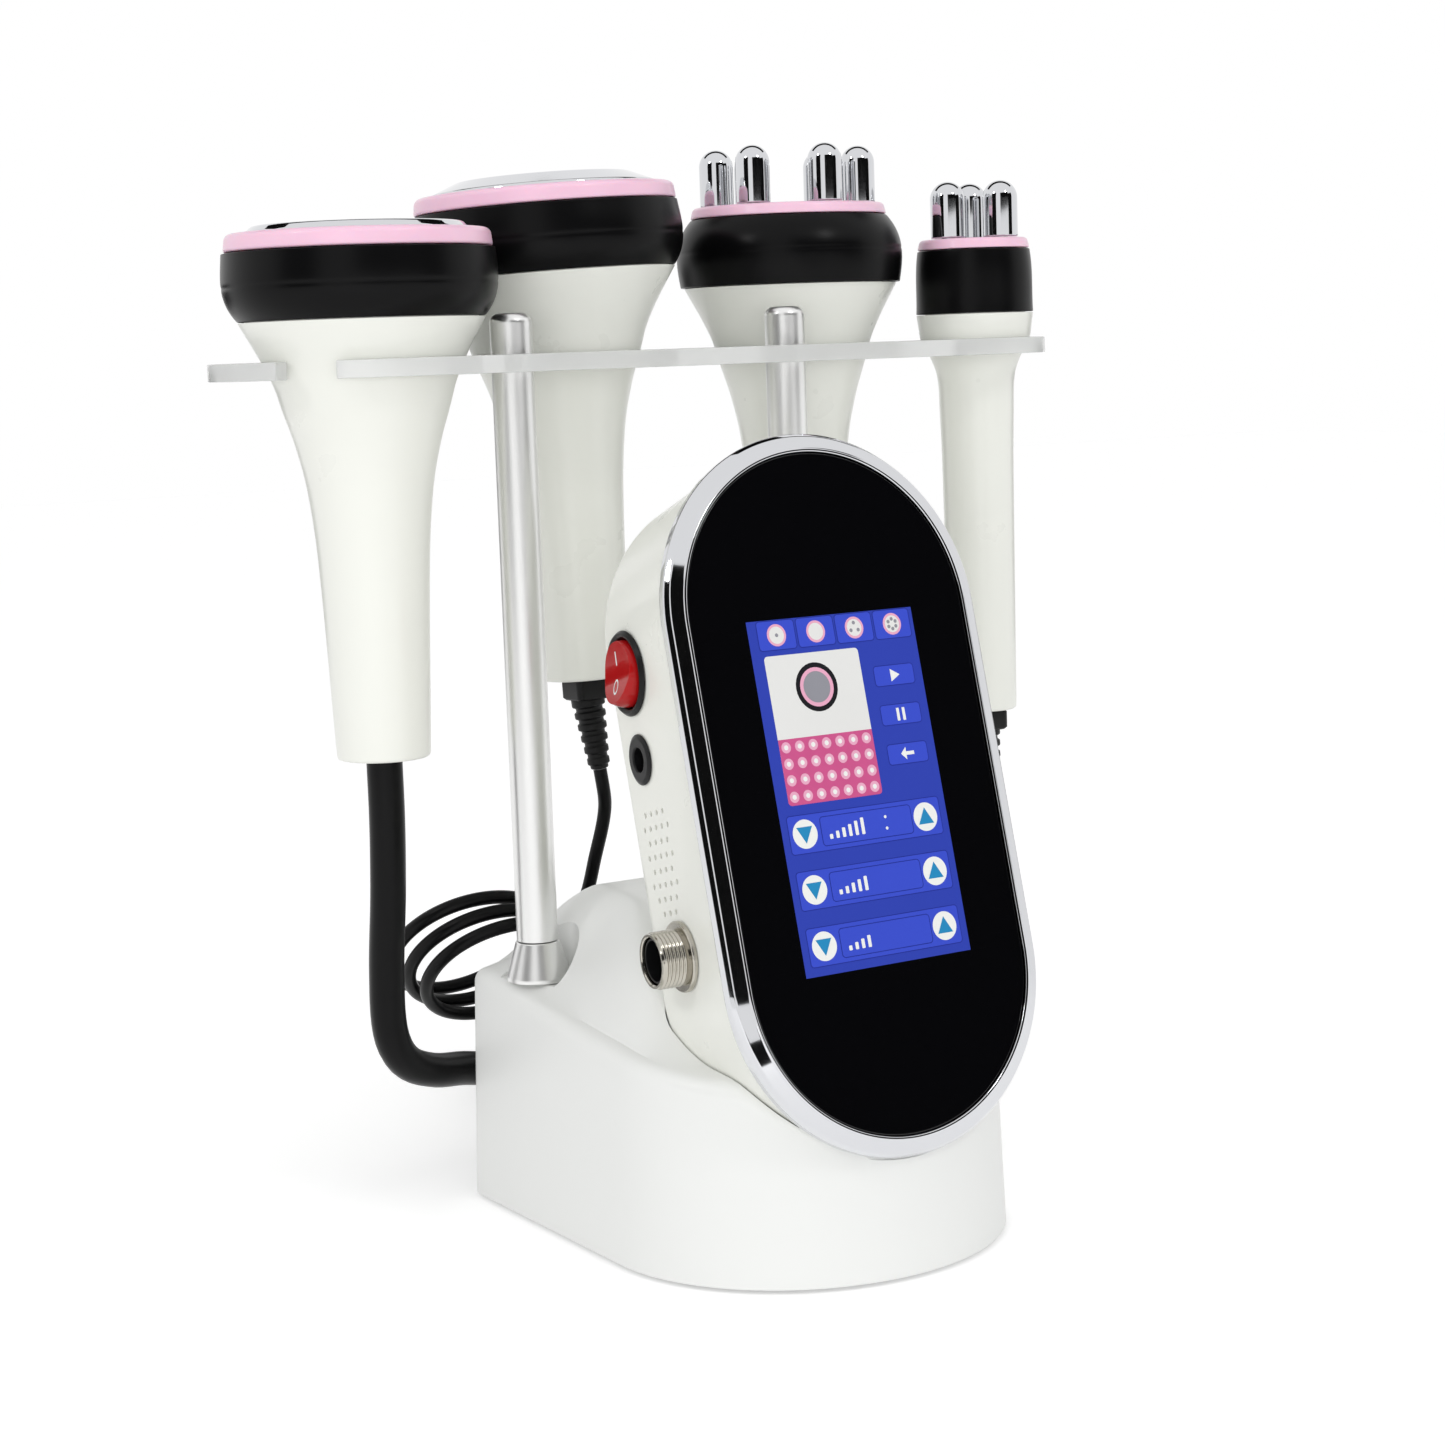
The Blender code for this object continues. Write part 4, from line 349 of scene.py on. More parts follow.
def turned(
    bm: bmesh.types.BMesh, profile: Profile, sides: int, place: Matrix | None = None, closed: bool = False
) -> None:
    """Turns a profile about Z.

    Args:
        bm: Mesh that takes the piece.
        profile: Pairs of radius and height. A radius of zero closes the piece on its axis.
        sides: Number of sides.
        place: Where the piece goes.
        closed: Whether the profile is a closed outline of a ring.
    """
    move = place or Matrix()
    rings = []
    for radius, height in profile:
        if radius == 0:
            rings.append([move @ Vector((0, 0, height))])
            continue
        angles = [math.tau * k / sides for k in range(sides)]
        rings.append([move @ Vector((radius * math.cos(a), radius * math.sin(a), height)) for a in angles])
    loft(bm, rings, closed)


def cylinder(radius: float, low: float, high: float) -> Profile:
    """Profile of a plain cylinder."""
    return ((0, low), (radius, low), (radius, high), (0, high))


def softened(profile: Profile, radius: float, closed: bool = False) -> list[Point2]:
    """Rounds the corners of a profile.

    Args:
        profile: Corners of the profile.
        radius: Radius of the rounding, less where a side is short.
        closed: Whether the profile is a closed outline.

    Returns:
        The profile with its corners rounded. Corners on the axis stay sharp.
    """
    corners = [Vector(point) for point in profile]
    count = len(corners)
    made: list[Point2] = []
    for i, corner in enumerate(corners):
        open_end = not closed and i in (0, count - 1)
        if open_end or corner.x == 0:
            made.append(tuple(corner))
            continue
        before, after = corners[i - 1], corners[(i + 1) % count]
        reach = min(radius, (before - corner).length * 0.45, (after - corner).length * 0.45)
        start = corner + (before - corner).normalized() * reach
        end = corner + (after - corner).normalized() * reach
        for k in range(CORNER_STEPS + 1):
            share = k / CORNER_STEPS
            made.append(tuple(start.lerp(corner, share).lerp(corner.lerp(end, share), share)))
    return made


def curved(profile: Profile, steps: int = 6) -> list[Point2]:
    """Runs a smooth curve through a profile's points.

    Args:
        profile: Points that the curve passes.
        steps: Points from one to the next.

    Returns:
        Points of the curve.
    """
    points = [Vector((x, y, 0)) for x, y in profile]
    ends = zip([points[0], *points[:-1]], [*points[1:], points[-1]])
    tangents = [(after - before).normalized() for before, after in ends]
    fine = []
    for i in range(len(points) - 1):
        third = (points[i + 1] - points[i]).length / 3
        handles = (points[i] + tangents[i] * third, points[i + 1] - tangents[i + 1] * third)
        fine += geometry.interpolate_bezier(points[i], *handles, points[i + 1], steps)[:-1]
    return [(p.x, p.y) for p in [*fine, points[-1]]]


def new_object(name: str, bm: bmesh.types.BMesh, place: Matrix | None = None) -> bpy.types.Object:
    """Turns a mesh into an object of the scene.

    Args:
        name: Name of the object.
        bm: Mesh, freed here.
        place: Matrix that moves the mesh to its place.

    Returns:
        The object, at the origin with its place in its mesh.
    """
    if place is not None:
        bm.transform(place)
    bmesh.ops.recalc_face_normals(bm, faces=bm.faces)
    mesh = bpy.data.meshes.new(name)
    bm.to_mesh(mesh)
    bm.free()
    obj = bpy.data.objects.new(name, mesh)
    bpy.context.scene.collection.objects.link(obj)
    return obj


def shade(obj: bpy.types.Object, sharp: float = 38.0) -> None:
    """Shades an object smooth, with flat faces kept flat.

    Args:
        obj: The object.
        sharp: Angle in degrees past which an edge stays sharp.
    """
    obj.data.shade_smooth()
    obj.data.set_sharp_from_angle(angle=math.radians(sharp))
    flat = obj.modifiers.new("flat_faces", "WEIGHTED_NORMAL")
    flat.keep_sharp = True
    flat.weight = 60


def settle(obj: bpy.types.Object) -> None:
    """Turns an object's modifiers into its mesh.

    Args:
        obj: The object.
    """
    graph = bpy.context.evaluated_depsgraph_get()
    mesh = bpy.data.meshes.new_from_object(obj.evaluated_get(graph))
    obj.modifiers.clear()
    old = obj.data
    obj.data = mesh
    bpy.data.meshes.remove(old)


def carve(
    obj: bpy.types.Object, tools: Sequence[bpy.types.Object], operation: str = "DIFFERENCE"
) -> None:
    """Applies Booleans in turn and removes their tools.

    Args:
        obj: Object that changes.
        tools: Tool objects.
        operation: What each Boolean does.
    """
    for tool in tools:
        modifier = obj.modifiers.new(tool.name, "BOOLEAN")
        modifier.operation = operation
        modifier.object = tool
        modifier.solver = "EXACT"
    bpy.context.view_layer.update()
    settle(obj)
    for tool in tools:
        bpy.data.objects.remove(tool, do_unlink=True)


def round_edges(obj: bpy.types.Object, width: float, segments: int, angle: float) -> None:
    """Rounds an object's edges.

    Args:
        obj: Object that changes.
        width: Width of the rounding.
        segments: Steps across it.
        angle: Angle in degrees past which an edge is rounded.
    """
    edge = obj.modifiers.new("soft_edge", "BEVEL")
    edge.width = width
    edge.segments = segments
    edge.limit_method = "ANGLE"
    edge.angle_limit = math.radians(angle)
    bpy.context.view_layer.update()
    settle(obj)


def rounded_outline(width: float, height: float, radius: float, steps: int = 6) -> list[Point2]:
    """Outline of a rectangle with round corners about its middle.

    Args:
        width: Its width.
        height: Its height.
        radius: Radius of its corners.
        steps: Steps round each corner.

    Returns:
        The outline.
    """
    points = []
    for quarter, (side, end) in enumerate(((1, 1), (-1, 1), (-1, -1), (1, -1))):
        for k in range(steps + 1):
            angle = math.pi / 2 * (quarter + k / steps)
            x = side * (width / 2 - radius) + radius * math.cos(angle)
            points.append((x, end * (height / 2 - radius) + radius * math.sin(angle)))
    return points


@dataclass
class Assembly:
    """What the sub-assemblies share: a body and the way a piece is finished."""

    stand: Matrix
    body: Body = Body.STAND
    made: list[str] = field(default_factory=list, init=False)

    def add(
        self,
        obj: bpy.types.Object,
        finish: Finish,
        replaces: Sequence[str] = (),
        sharp: float = 38.0,
        body: Body | None = None,
    ) -> bpy.types.Object:
        """Finishes a piece and sets it on its body.

        Args:
            obj: The piece, in its place.
            finish: Its finish.
            replaces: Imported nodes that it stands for.
            sharp: Angle in degrees from which its edges stay sharp.
            body: Body that it rides on, if not the assembly's.

        Returns:
            The piece.
        """
        if obj.type == "MESH":
            shade(obj, sharp)
        obj.data.materials.clear()
        obj.data.materials.append(finish.material())
        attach(obj, (body or self.body).value)
        if replaces:
            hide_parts(*replaces)
        self.made.append(obj.name)
        LOG.info("%s: %s on %s", obj.name, finish.name, (body or self.body).value)
        return obj

    def turn(
        self,
        name: str,
        profile: Profile,
        finish: Finish,
        place: Matrix,
        replaces: Sequence[str] = (),
        sides: Sides = Sides.LARGE,
        closed: bool = False,
    ) -> bpy.types.Object:
        """Adds a turned piece.

        Args:
            name: Name of the piece.
            profile: Pairs of radius and height.
            finish: Its finish.
            place: Its place in the stand frame.
            replaces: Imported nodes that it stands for.
            sides: How finely it is divided.
            closed: Whether the profile is a closed outline.

        Returns:
            The piece.
        """
        bm = bmesh.new()
        turned(bm, profile, sides, closed=closed)
        return self.add(new_object(name, bm, self.stand @ place), finish, replaces)

    def dress(self, nodes: dict[str, Finish]) -> None:
        """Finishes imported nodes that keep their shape.

        Args:
            nodes: Each node's finish.
        """
        for name, finish in nodes.items():
            slots = bpy.data.objects[name].data.materials
            slots.clear()
            slots.append(finish.material())
            self.made.append(name)


# Base


@dataclass(frozen=True)
class Outlet:
    """A cord's outlet in the back wall: its node, place and flange, and the cord's radius."""

    name: str
    x: float
    z: float
    flange: float
    cord: float


@dataclass
class Base(Assembly):
    """White moulded base with its rods, ferrules and cord outlets."""

    half_width: float = 0.0592
    rear_y: float = 0.0255
    side_end_y: float = -0.0641
    front_depth: float = 0.0557
    corner_radius: float = 0.0055
    draft: float = math.radians(2.0)
    edge_radius: float = 0.0042
    foot_gap: float = 0.0012
    rear_shoulder: float = 0.0700
    front_shoulder: float = 0.0540
    rim_drop: float = 0.0160
    rim_drop_length: float = 0.0240
    saddle_height: float = 0.0920
    saddle_rear_drop: float = 0.0070
    saddle_rear_length: float = 0.0200
    saddle_front_length: float = 0.0660
    saddle_front_y: float = -0.0200
    saddle_crest: float = 0.0210
    saddle_foot: float = 0.0540
    cradle_crest: float = 0.0420
    cradle_foot: float = 0.0565
    widen_start_y: float = -0.0100
    widen_end_y: float = -0.0660
    lattice: float = 0.0022
    cavity_lattice: float = 0.0100
    wall: float = 0.0028
    rod_x: float = 0.0465
    rod_radius: float = 0.0060
    rod_top: float = 0.2603
    rod_edge: float = 0.0028
    ledge_z: float = 0.0680
    ledge_thickness: float = 0.0100
    pocket_radius: float = 0.0122
    ferrule_radius: float = 0.0094
    ferrule_rim: float = 0.0012
    ferrule_height: float = 0.0117
    ferrule_edge: float = 0.0004
    stud_radius: float = 0.0025
    gland_flange: float = 0.0035
    gland_edge: float = 0.0010
    gland_lip_share: float = 1.2
    body_outlet: Outlet = Outlet("body_cord_gland", 0.0020, 0.0360, 0.0085, THICK_CORD)
    sonic_outlet: Outlet = Outlet("sonic_cord_gland", -0.0090, 0.0440, 0.0050, THIN_CORD)
    pocket_gap: float = 0.0004
    steps: int = 28

    def outline(self, inset: float) -> list[Point2]:
        """Plan outline of the base, from the middle of the back round.

        Args:
            inset: Distance by which it is drawn in.

        Returns:
            The outline.
        """
        half = self.half_width - inset
        rear = self.rear_y - inset
        corner = max(self.corner_radius - inset, self.edge_radius / 4)
        points = [(half * share, rear) for share in np.linspace(0, 0.88, self.steps // 2)]
        for angle in np.linspace(math.pi / 2, 0, self.steps // 3 + 1):
            across = half - corner + corner * math.cos(angle)
            points.append((across, rear - corner + corner * math.sin(angle)))
        side = rear - corner - self.side_end_y
        shares = np.linspace(0, 1, self.steps)[1:-1]
        points += [(half, rear - corner - side * share) for share in shares]
        depth = self.front_depth - inset
        for angle in np.linspace(0, math.pi / 2, self.steps + 1):
            points.append((half * math.cos(angle), self.side_end_y - depth * math.sin(angle)))
        return points + [(-x, y) for x, y in points[1:-1]][::-1]

    def shoulder(self, y: float) -> float:
        """Height of the top edge of the base's wall, which falls to the front.

        Args:
            y: Place along the base.

        Returns:
            The height.
        """
        front = self.side_end_y - self.front_depth
        share = (self.rear_y - y) / (self.rear_y - front)
        straight = blend(self.rear_shoulder, self.front_shoulder, share)
        return straight - self.rim_drop * ramp(y, front + self.rim_drop_length, front)

    def top(self, x: float, y: float) -> float:
        """Height of the base's top: its shoulder, and the saddle that rises to the unit.

        Args:
            x: Place across the base.
            y: Place along it.

        Returns:
            The height.
        """
        low = self.shoulder(y)
        rear = ramp(y, self.rear_y - self.saddle_rear_length, self.rear_y)
        crest = self.saddle_height - self.saddle_rear_drop * rear
        along = ramp(y, self.saddle_front_y - self.saddle_front_length, self.saddle_front_y)
        widen = ramp(y, self.widen_start_y, self.widen_end_y)
        foot = blend(self.saddle_foot, self.cradle_foot, widen)
        peak = blend(self.saddle_crest, self.cradle_crest, widen)
        return low + (crest - low) * along * ramp(abs(x), foot, peak)

    def draught(self, z: float) -> float:
        """How far the base's wall has leaned in at a height."""
        return (z - self.foot_gap) * math.tan(self.draft)

    def solid(self, wall: float, bottom: float, lattice: float, bend: int) -> bmesh.types.BMesh:
        """Solid of the base drawn in by a wall.

        Args:
            wall: How far it is drawn in.
            bottom: Height of its underside.
            lattice: Spacing of the points on its top.
            bend: Steps round its edge.

        Returns:
            The solid's mesh, in the stand frame.
        """
        bm = bmesh.new()
        rings = [[(x, y, bottom) for x, y in self.outline(wall)]]
        rim = self.outline(wall + self.edge_radius)
        for angle in np.linspace(0, math.pi / 2, bend + 1):
            fall = wall + self.edge_radius * (1 - math.sin(angle))
            inset = wall + self.edge_radius * (1 - math.cos(angle))
            ring = []
            for i, (x, y) in enumerate(rim):
                z = self.top(x, y) - fall
                ring.append((*self.outline(inset + self.draught(z))[i], z))
            rings.append(ring)
        made = [[bm.verts.new(point) for point in ring] for ring in rings]
        for lower, upper in zip(made, made[1:]):
            bridge(bm, lower, upper)
        bm.faces.new(made[0])
        edge = [Vector(vert.co[:2]) for vert in made[-1]]
        inside = self.lattice_points(edge, lattice)
        sides = [(i, (i + 1) % len(edge)) for i in range(len(edge))]
        flat, _, faces, origin, _, _ = geometry.delaunay_2d_cdt(edge + inside, sides, [], 1, FIT_GAP / 10)
        verts = []
        for point, sources in zip(flat, origin):
            known = [i for i in sources if i < len(edge)]
            if known:
                verts.append(made[-1][known[0]])
            else:
                verts.append(bm.verts.new((*point, self.top(*point) - wall)))
        for face in faces:
            bm.faces.new([verts[i] for i in face])
        return bm

    @staticmethod
    def lattice_points(edge: list[Vector], spacing: float) -> list[Vector]:
        """Points of a square lattice that lie well inside an outline.

        Args:
            edge: The outline.
            spacing: Distance between the points.

        Returns:
            The points.
        """
        rim = np.array([tuple(p) for p in edge])
        low, high = rim.min(0), rim.max(0)
        counts = [max(2, round((high[i] - low[i]) / spacing)) for i in range(2)]
        after = np.roll(rim, -1, axis=0)
        inside = []
        for x in np.linspace(low[0], high[0], counts[0] + 1)[1:-1]:
            for y in np.linspace(low[1], high[1], counts[1] + 1)[1:-1]:
                apart = np.hypot(rim[:, 0] - x, rim[:, 1] - y).min()
                astride = (rim[:, 1] > y) != (after[:, 1] > y)
                first, second = rim[astride], after[astride]
                run = (y - first[:, 1]) / (second[:, 1] - first[:, 1])
                crossings = first[:, 0] + run * (second[:, 0] - first[:, 0])
                if (x < crossings).sum() % 2 and apart > spacing * 0.4:
                    inside.append(Vector((x, y)))
        return inside

    def build(self, unit: ScreenUnit) -> None:
        """Builds the base round the unit's pocket, with what stands on it.

        Args:
            unit: The unit, whose back the pocket fits.
        """
        self._shell(unit)
        for side, name in ((-1, "left"), (1, "right")):
            self._rod(name, at(side * self.rod_x, 0, 0))
        for outlet in (self.body_outlet, self.sonic_outlet):
            self._gland(outlet)
        self.dress({"base_cover": WHITE_SHELL, "base_screw_front": STEEL, "base_screw_rear": STEEL})
        feet = [f"foot_{end}_{side}" for end in ("rear", "front") for side in ("left", "right")]
        self.dress({name: BLACK_RUBBER for name in feet})

    def _shell(self, unit: ScreenUnit) -> None:
        """The moulded shell, hollow below, with the unit's pocket and the rods' ledges.

        Args:
            unit: The unit.
        """
        gap = self.pocket_gap
        shell = new_object("moulded_base", self.solid(0, self.foot_gap, self.lattice, 7))
        cavity = new_object("cavity", self.solid(self.wall, -OVERRUN, self.cavity_lattice, 2))
        keep = bmesh.new()
        wells = bmesh.new()
        for side in (-1, 1):
            place = at(side * self.rod_x, 0, 0)
            low = self.ledge_z - self.ledge_thickness
            keep_radius = self.pocket_radius + self.wall
            ledge = cylinder(keep_radius, low, self.saddle_height)
            turned(keep, ledge, Sides.SMALL, place)
            well = cylinder(self.pocket_radius, self.ledge_z, self.rod_top / 2)
            turned(wells, well, Sides.LARGE, place)
        around = new_object("around_unit", unit.envelope(gap + self.wall, 24), unit.local)
        carve(cavity, [around, new_object("ledge_walls", keep)])
        pocket = new_object("pocket", unit.envelope(gap, 96), unit.local)
        carve(shell, [pocket, new_object("wells", wells), cavity])
        shell.data.transform(self.stand)
        self.add(shell, WHITE_SHELL, ["base_shell"], sharp=32)

    def _rod(self, name: str, place: Matrix) -> None:
        """One rod with its round top, and the ferrule at its foot.

        Args:
            name: Which side it is on.
            place: Place of its axis.
        """
        high = self.ledge_z + self.ferrule_height
        profile = [(0, high + FIT_GAP), (self.rod_radius, high + FIT_GAP)]
        for angle in np.linspace(0, math.pi / 2, self.steps // 2 + 1):
            drawn = self.rod_edge * (1 - math.cos(angle))
            profile.append((self.rod_radius - drawn, self.rod_top - self.rod_edge * (1 - math.sin(angle))))
        profile.append((0, self.rod_top))
        self.turn(f"polished_rod_{name}", profile, ALUMINIUM, place, [f"rod_{name}"])
        low = self.ledge_z + FIT_GAP
        bore = self.stud_radius + FIT_GAP
        cone = (
            (bore, low),
            (self.ferrule_radius, low),
            (self.ferrule_radius, low + self.ferrule_rim),
            (self.rod_radius + FIT_GAP, high),
            (bore, high),
        )
        rim = softened(cone, self.ferrule_edge, closed=True)
        self.turn(f"turned_ferrule_{name}", rim, ALUMINIUM, place, [f"ferrule_{name}"], closed=True)

    def gland_face(self, outlet: Outlet) -> float:
        """Outer face of an outlet whose flange clears the leaning back wall."""
        return self.rear_y - self.draught(outlet.z - outlet.flange) + FIT_GAP + self.gland_flange

    def cord_end(self, outlet: Outlet) -> Point3:
        """Point at which a cord meets its outlet."""
        return (outlet.x, self.gland_face(outlet) + FIT_GAP, outlet.z)

    def _gland(self, outlet: Outlet) -> None:
        """Outlet of a cord: a round flange with a lip through the wall.

        Args:
            outlet: The outlet.
        """
        out = self.gland_flange
        lip = outlet.cord * self.gland_lip_share
        profile = (
            (0, -self.wall),
            (lip, -self.wall),
            (lip, 0),
            (outlet.flange, 0),
            (outlet.flange, out),
            (0, out),
        )
        place = at(outlet.x, self.gland_face(outlet) - out, outlet.z)
        place = place @ Matrix.Rotation(-math.pi / 2, 4, "X")
        rim = softened(profile, self.gland_edge)
        name = outlet.name
        self.turn(f"soft_{name}", rim, BLACK_FITTING, place, [name], Sides.MEDIUM)


@dataclass
class HolderPlate(Assembly):
    """Clear plate that the rods carry and the handpieces hang in."""

    top: float = 0.2488
    thickness: float = 0.0050
    half_depth: float = 0.0458
    centre_y: float = 0.0268
    left_x: float = -0.0780
    right_x: float = 0.1091
    slot_width: float = 0.0175
    slot_angle: float = math.radians(54.0)
    polish: float = 0.0003
    steps: int = 48

    def build(self, handpieces: Sequence[Handpiece], rod_x: float, rod_radius: float) -> None:
        """Builds the plate.

        Args:
            handpieces: The handpieces, whose holes it has. The first one's has the slot.
            rod_x: Distance of the rods from the middle.
            rod_radius: Radius of the rods.
        """
        outline = []
        for side, x in ((1, self.right_x), (-1, self.left_x)):
            for angle in np.linspace(-math.pi / 2, math.pi / 2, self.steps + 1):
                across = side * math.cos(angle) * self.half_depth
                outline.append((x + across, self.centre_y + side * math.sin(angle) * self.half_depth))
        low = self.top - self.thickness
        bm = bmesh.new()
        loft(bm, [[(x, y, z) for x, y in outline] for z in (low, self.top)])
        plate = new_object("clear_plate", bm)
        holes = bmesh.new()
        ends = (low - OVERRUN, self.top + OVERRUN)
        for side in (-1, 1):
            hole = cylinder(rod_radius + FIT_GAP, *ends)
            turned(holes, hole, Sides.MEDIUM, at(side * rod_x, 0, 0))
        for piece in handpieces:
            hole = cylinder(piece.hole_radius(), *ends)
            turned(holes, hole, Sides.LARGE, at(piece.x, piece.y, 0))
        slot = bmesh.new()
        corners = [(-1, -1), (1, -1), (1, 0), (-1, 0)]
        rings = [
            [(x * self.slot_width / 2, y * self.half_depth, z) for x, y in corners] for z in ends
        ]
        loft(slot, rings)
        first = handpieces[0]
        place = at(first.x, first.y, 0) @ Matrix.Rotation(-self.slot_angle, 4, "Z")
        carve(plate, [new_object("holes", holes), new_object("slot", slot, place)])
        round_edges(plate, self.polish, 2, 50)
        plate.data.transform(self.stand)
        self.add(plate, CLEAR_ACRYLIC, ["holder_plate"], sharp=30)


# Screen unit


class Mark(Enum):
    """Signs that the display shows."""

    UP = "up"
    DOWN = "down"
    PLAY = "play"
    PAUSE = "pause"
    BACK = "back"


@dataclass
class ScreenUnit(Assembly):
    """Tilted unit with its rear shell, chrome bezel, black glass and side fittings."""

    centre_y: float = -0.09893
    centre_z: float = 0.1301
    tilt: float = math.radians(14.44)
    straight: float = 0.0967
    glass_radius: float = 0.0441
    glass_thickness: float = 0.0012
    bezel_radius: float = 0.0500
    ledge_radius: float = 0.0415
    ledge_depth: float = 0.0015
    bezel_depth: float = 0.0057
    bezel_lip: float = 0.0006
    bezel_edge: float = 0.0004
    bezel_face_shares: Profile = ((0.0, -0.9), (0.14, -1.0), (0.20, -0.55), (0.80, 1.4))
    bezel_side_shares: tuple[float, float] = (0.42, 0.86)
    bezel_back_share: float = 0.7
    skirt_length: float = 0.0033
    skirt_wall: float = 0.0024
    shell_radius: float = 0.0479
    shell_wall: float = 0.0025
    taper: float = 0.1175
    depth: float = 0.0540
    back_radius: float = 0.0100
    arc: int = 72
    bend: int = 10

    @property
    def local(self) -> Matrix:
        """Place of the unit in the stand frame: the middle of its glass."""
        return at(0, self.centre_y, self.centre_z) @ Matrix.Rotation(-self.tilt, 4, "X")

    def stadium(self, radius: float, depth: float, arc: int | None = None) -> list[Point3]:
        """Ring with two straight sides and round ends.

        Args:
            radius: Half of its width.
            depth: How far behind the glass's face it lies.
            arc: Steps round each end.

        Returns:
            Points in the unit's frame: across, depth, rise.
        """
        arc = arc or self.arc
        points = []
        for side in (1, -1):
            for angle in np.linspace(0, math.pi, arc + 1):
                rise = side * (self.straight / 2 + radius * math.sin(angle))
                points.append((side * radius * math.cos(angle), depth, rise))
        return points

    def shell_rings(self, offset: float, front: float, back_offset: float, arc: int) -> list[list[Point3]]:
        """Rings of the rear shell's skin, or of one beside it.

        Args:
            offset: Distance outwards from the skin.
            front: Depth of the first ring.
            back_offset: Distance of the back from the skin's back.
            arc: Steps round each end.

        Returns:
            The rings from front to back.
        """
        radius = self.back_radius + offset
        bend_depth = self.depth - self.back_radius
        rings = [self.stadium(self.shell_radius + offset, front, arc)]
        at_bend = self.shell_radius + offset - self.taper * (bend_depth - self.bezel_depth)
        for angle in np.linspace(0, math.pi / 2, self.bend + 1):
            reach = at_bend - radius * (1 - math.cos(angle))
            depth = bend_depth + (radius + back_offset - offset) * math.sin(angle)
            rings.append(self.stadium(reach, depth, arc))
        return rings

    def envelope(self, offset: float, arc: int) -> bmesh.types.BMesh:
        """Solid round the unit, long to the front, which cuts its pocket.

        Args:
            offset: Distance outwards from the unit.
            arc: Steps round each end.

        Returns:
            The solid's mesh, in the unit's frame.
        """
        bm = bmesh.new()
        step = self.bezel_depth + offset
        rings = [self.stadium(self.bezel_radius + offset, depth, arc) for depth in (-self.bezel_radius, step)]
        loft(bm, rings + self.shell_rings(offset, step + FIT_GAP / 3, offset, arc))
        return bm

    def wall_place(self, rise: float, depth: float) -> Matrix:
        """Place on the left wall: Z runs out of the wall and -X up it.

        Args:
            rise: How far it lies above the glass's middle.
            depth: How far behind the glass's face.

        Returns:
            The place, in the stand frame.
        """
        lean = math.atan(self.taper)
        across = -self.shell_radius + self.taper * (depth - self.bezel_depth)
        wall = at(across, depth, rise) @ Matrix.Rotation(math.pi - lean, 4, "Z")
        return self.local @ wall @ Matrix.Rotation(math.pi / 2, 4, "Y")

    def build(self) -> None:
        """Builds the unit with everything in its left wall."""
        side = SideFittings(self.stand, unit=self)
        self._rear_shell(side)
        self._bezel()
        self._glass()
        side.build()
        self.dress({"display_panel": PANEL_BLUE, "main_board": BOARD_GREEN, "driver_board": BOARD_GREEN})
        self.dress({"board_carrier": WHITE_SHELL, "speaker": BLACK_FITTING, "cradle_screw": STEEL})

    def _rear_shell(self, side: SideFittings) -> None:
        """Ivory shell with the holes in its left wall.

        Args:
            side: What the holes are for.
        """
        front = self.bezel_depth + FIT_GAP
        outer = self.shell_rings(0, front, 0, self.arc)
        inner = self.shell_rings(-self.shell_wall, front, -self.shell_wall, self.arc)
        bm = bmesh.new()
        loft(bm, outer[::-1] + inner)
        shell = new_object("ivory_shell", bm, self.local)
        carve(shell, side.cutters())
        shell.data.transform(self.stand)
        self.add(shell, IVORY_SHELL, ["unit_rear_shell"], sharp=34)

    def _bezel(self) -> None:
        """Chrome ring round the glass, with a ledge under it and a skirt inside the shell."""
        lip = self.glass_radius + FIT_GAP
        wide = self.bezel_radius - lip
        skirt = self.shell_radius - self.shell_wall - self.taper * self.skirt_length - FIT_GAP
        skirt_end = self.bezel_depth + self.skirt_length
        side_start, side_end = self.bezel_side_shares
        face = softened(
            (
                (self.ledge_radius, self.ledge_depth),
                (lip, self.ledge_depth),
                *((lip + wide * out, self.bezel_lip * deep) for out, deep in self.bezel_face_shares),
                (self.bezel_radius, self.bezel_depth * side_start),
                (self.bezel_radius - self.bezel_lip / 4, self.bezel_depth * side_end),
                (self.shell_radius + self.bezel_lip, self.bezel_depth),
            ),
            self.bezel_edge,
        )
        back = (
            (skirt, self.bezel_depth),
            (skirt, skirt_end),
            (skirt - self.skirt_wall, skirt_end),
            (skirt - self.skirt_wall, self.bezel_depth),
            (self.ledge_radius, self.bezel_depth * self.bezel_back_share),
        )
        bm = bmesh.new()
        loft(bm, [self.stadium(radius, depth) for radius, depth in [*face, *back]], closed=True)
        bezel = new_object("polished_bezel", bm, self.stand @ self.local)
        self.add(bezel, CHROME, ["chrome_bezel"], sharp=30)

    def _glass(self) -> None:
        """Black glass with a polished edge."""
        edge = self.glass_thickness / 4
        bm = bmesh.new()
        rings = [self.stadium(self.glass_radius - self.glass_thickness, 0)]
        for angle in np.linspace(0, math.pi / 2, 5):
            drawn = edge * (1 - math.sin(angle))
            rings.append(self.stadium(self.glass_radius - drawn, edge * (1 - math.cos(angle))))
        loft(bm, [*rings, self.stadium(self.glass_radius, self.glass_thickness)])
        glass = new_object("black_glass", bm, self.stand @ self.local)
        self.add(glass, BLACK_GLASS, ["touch_glass"], sharp=40)


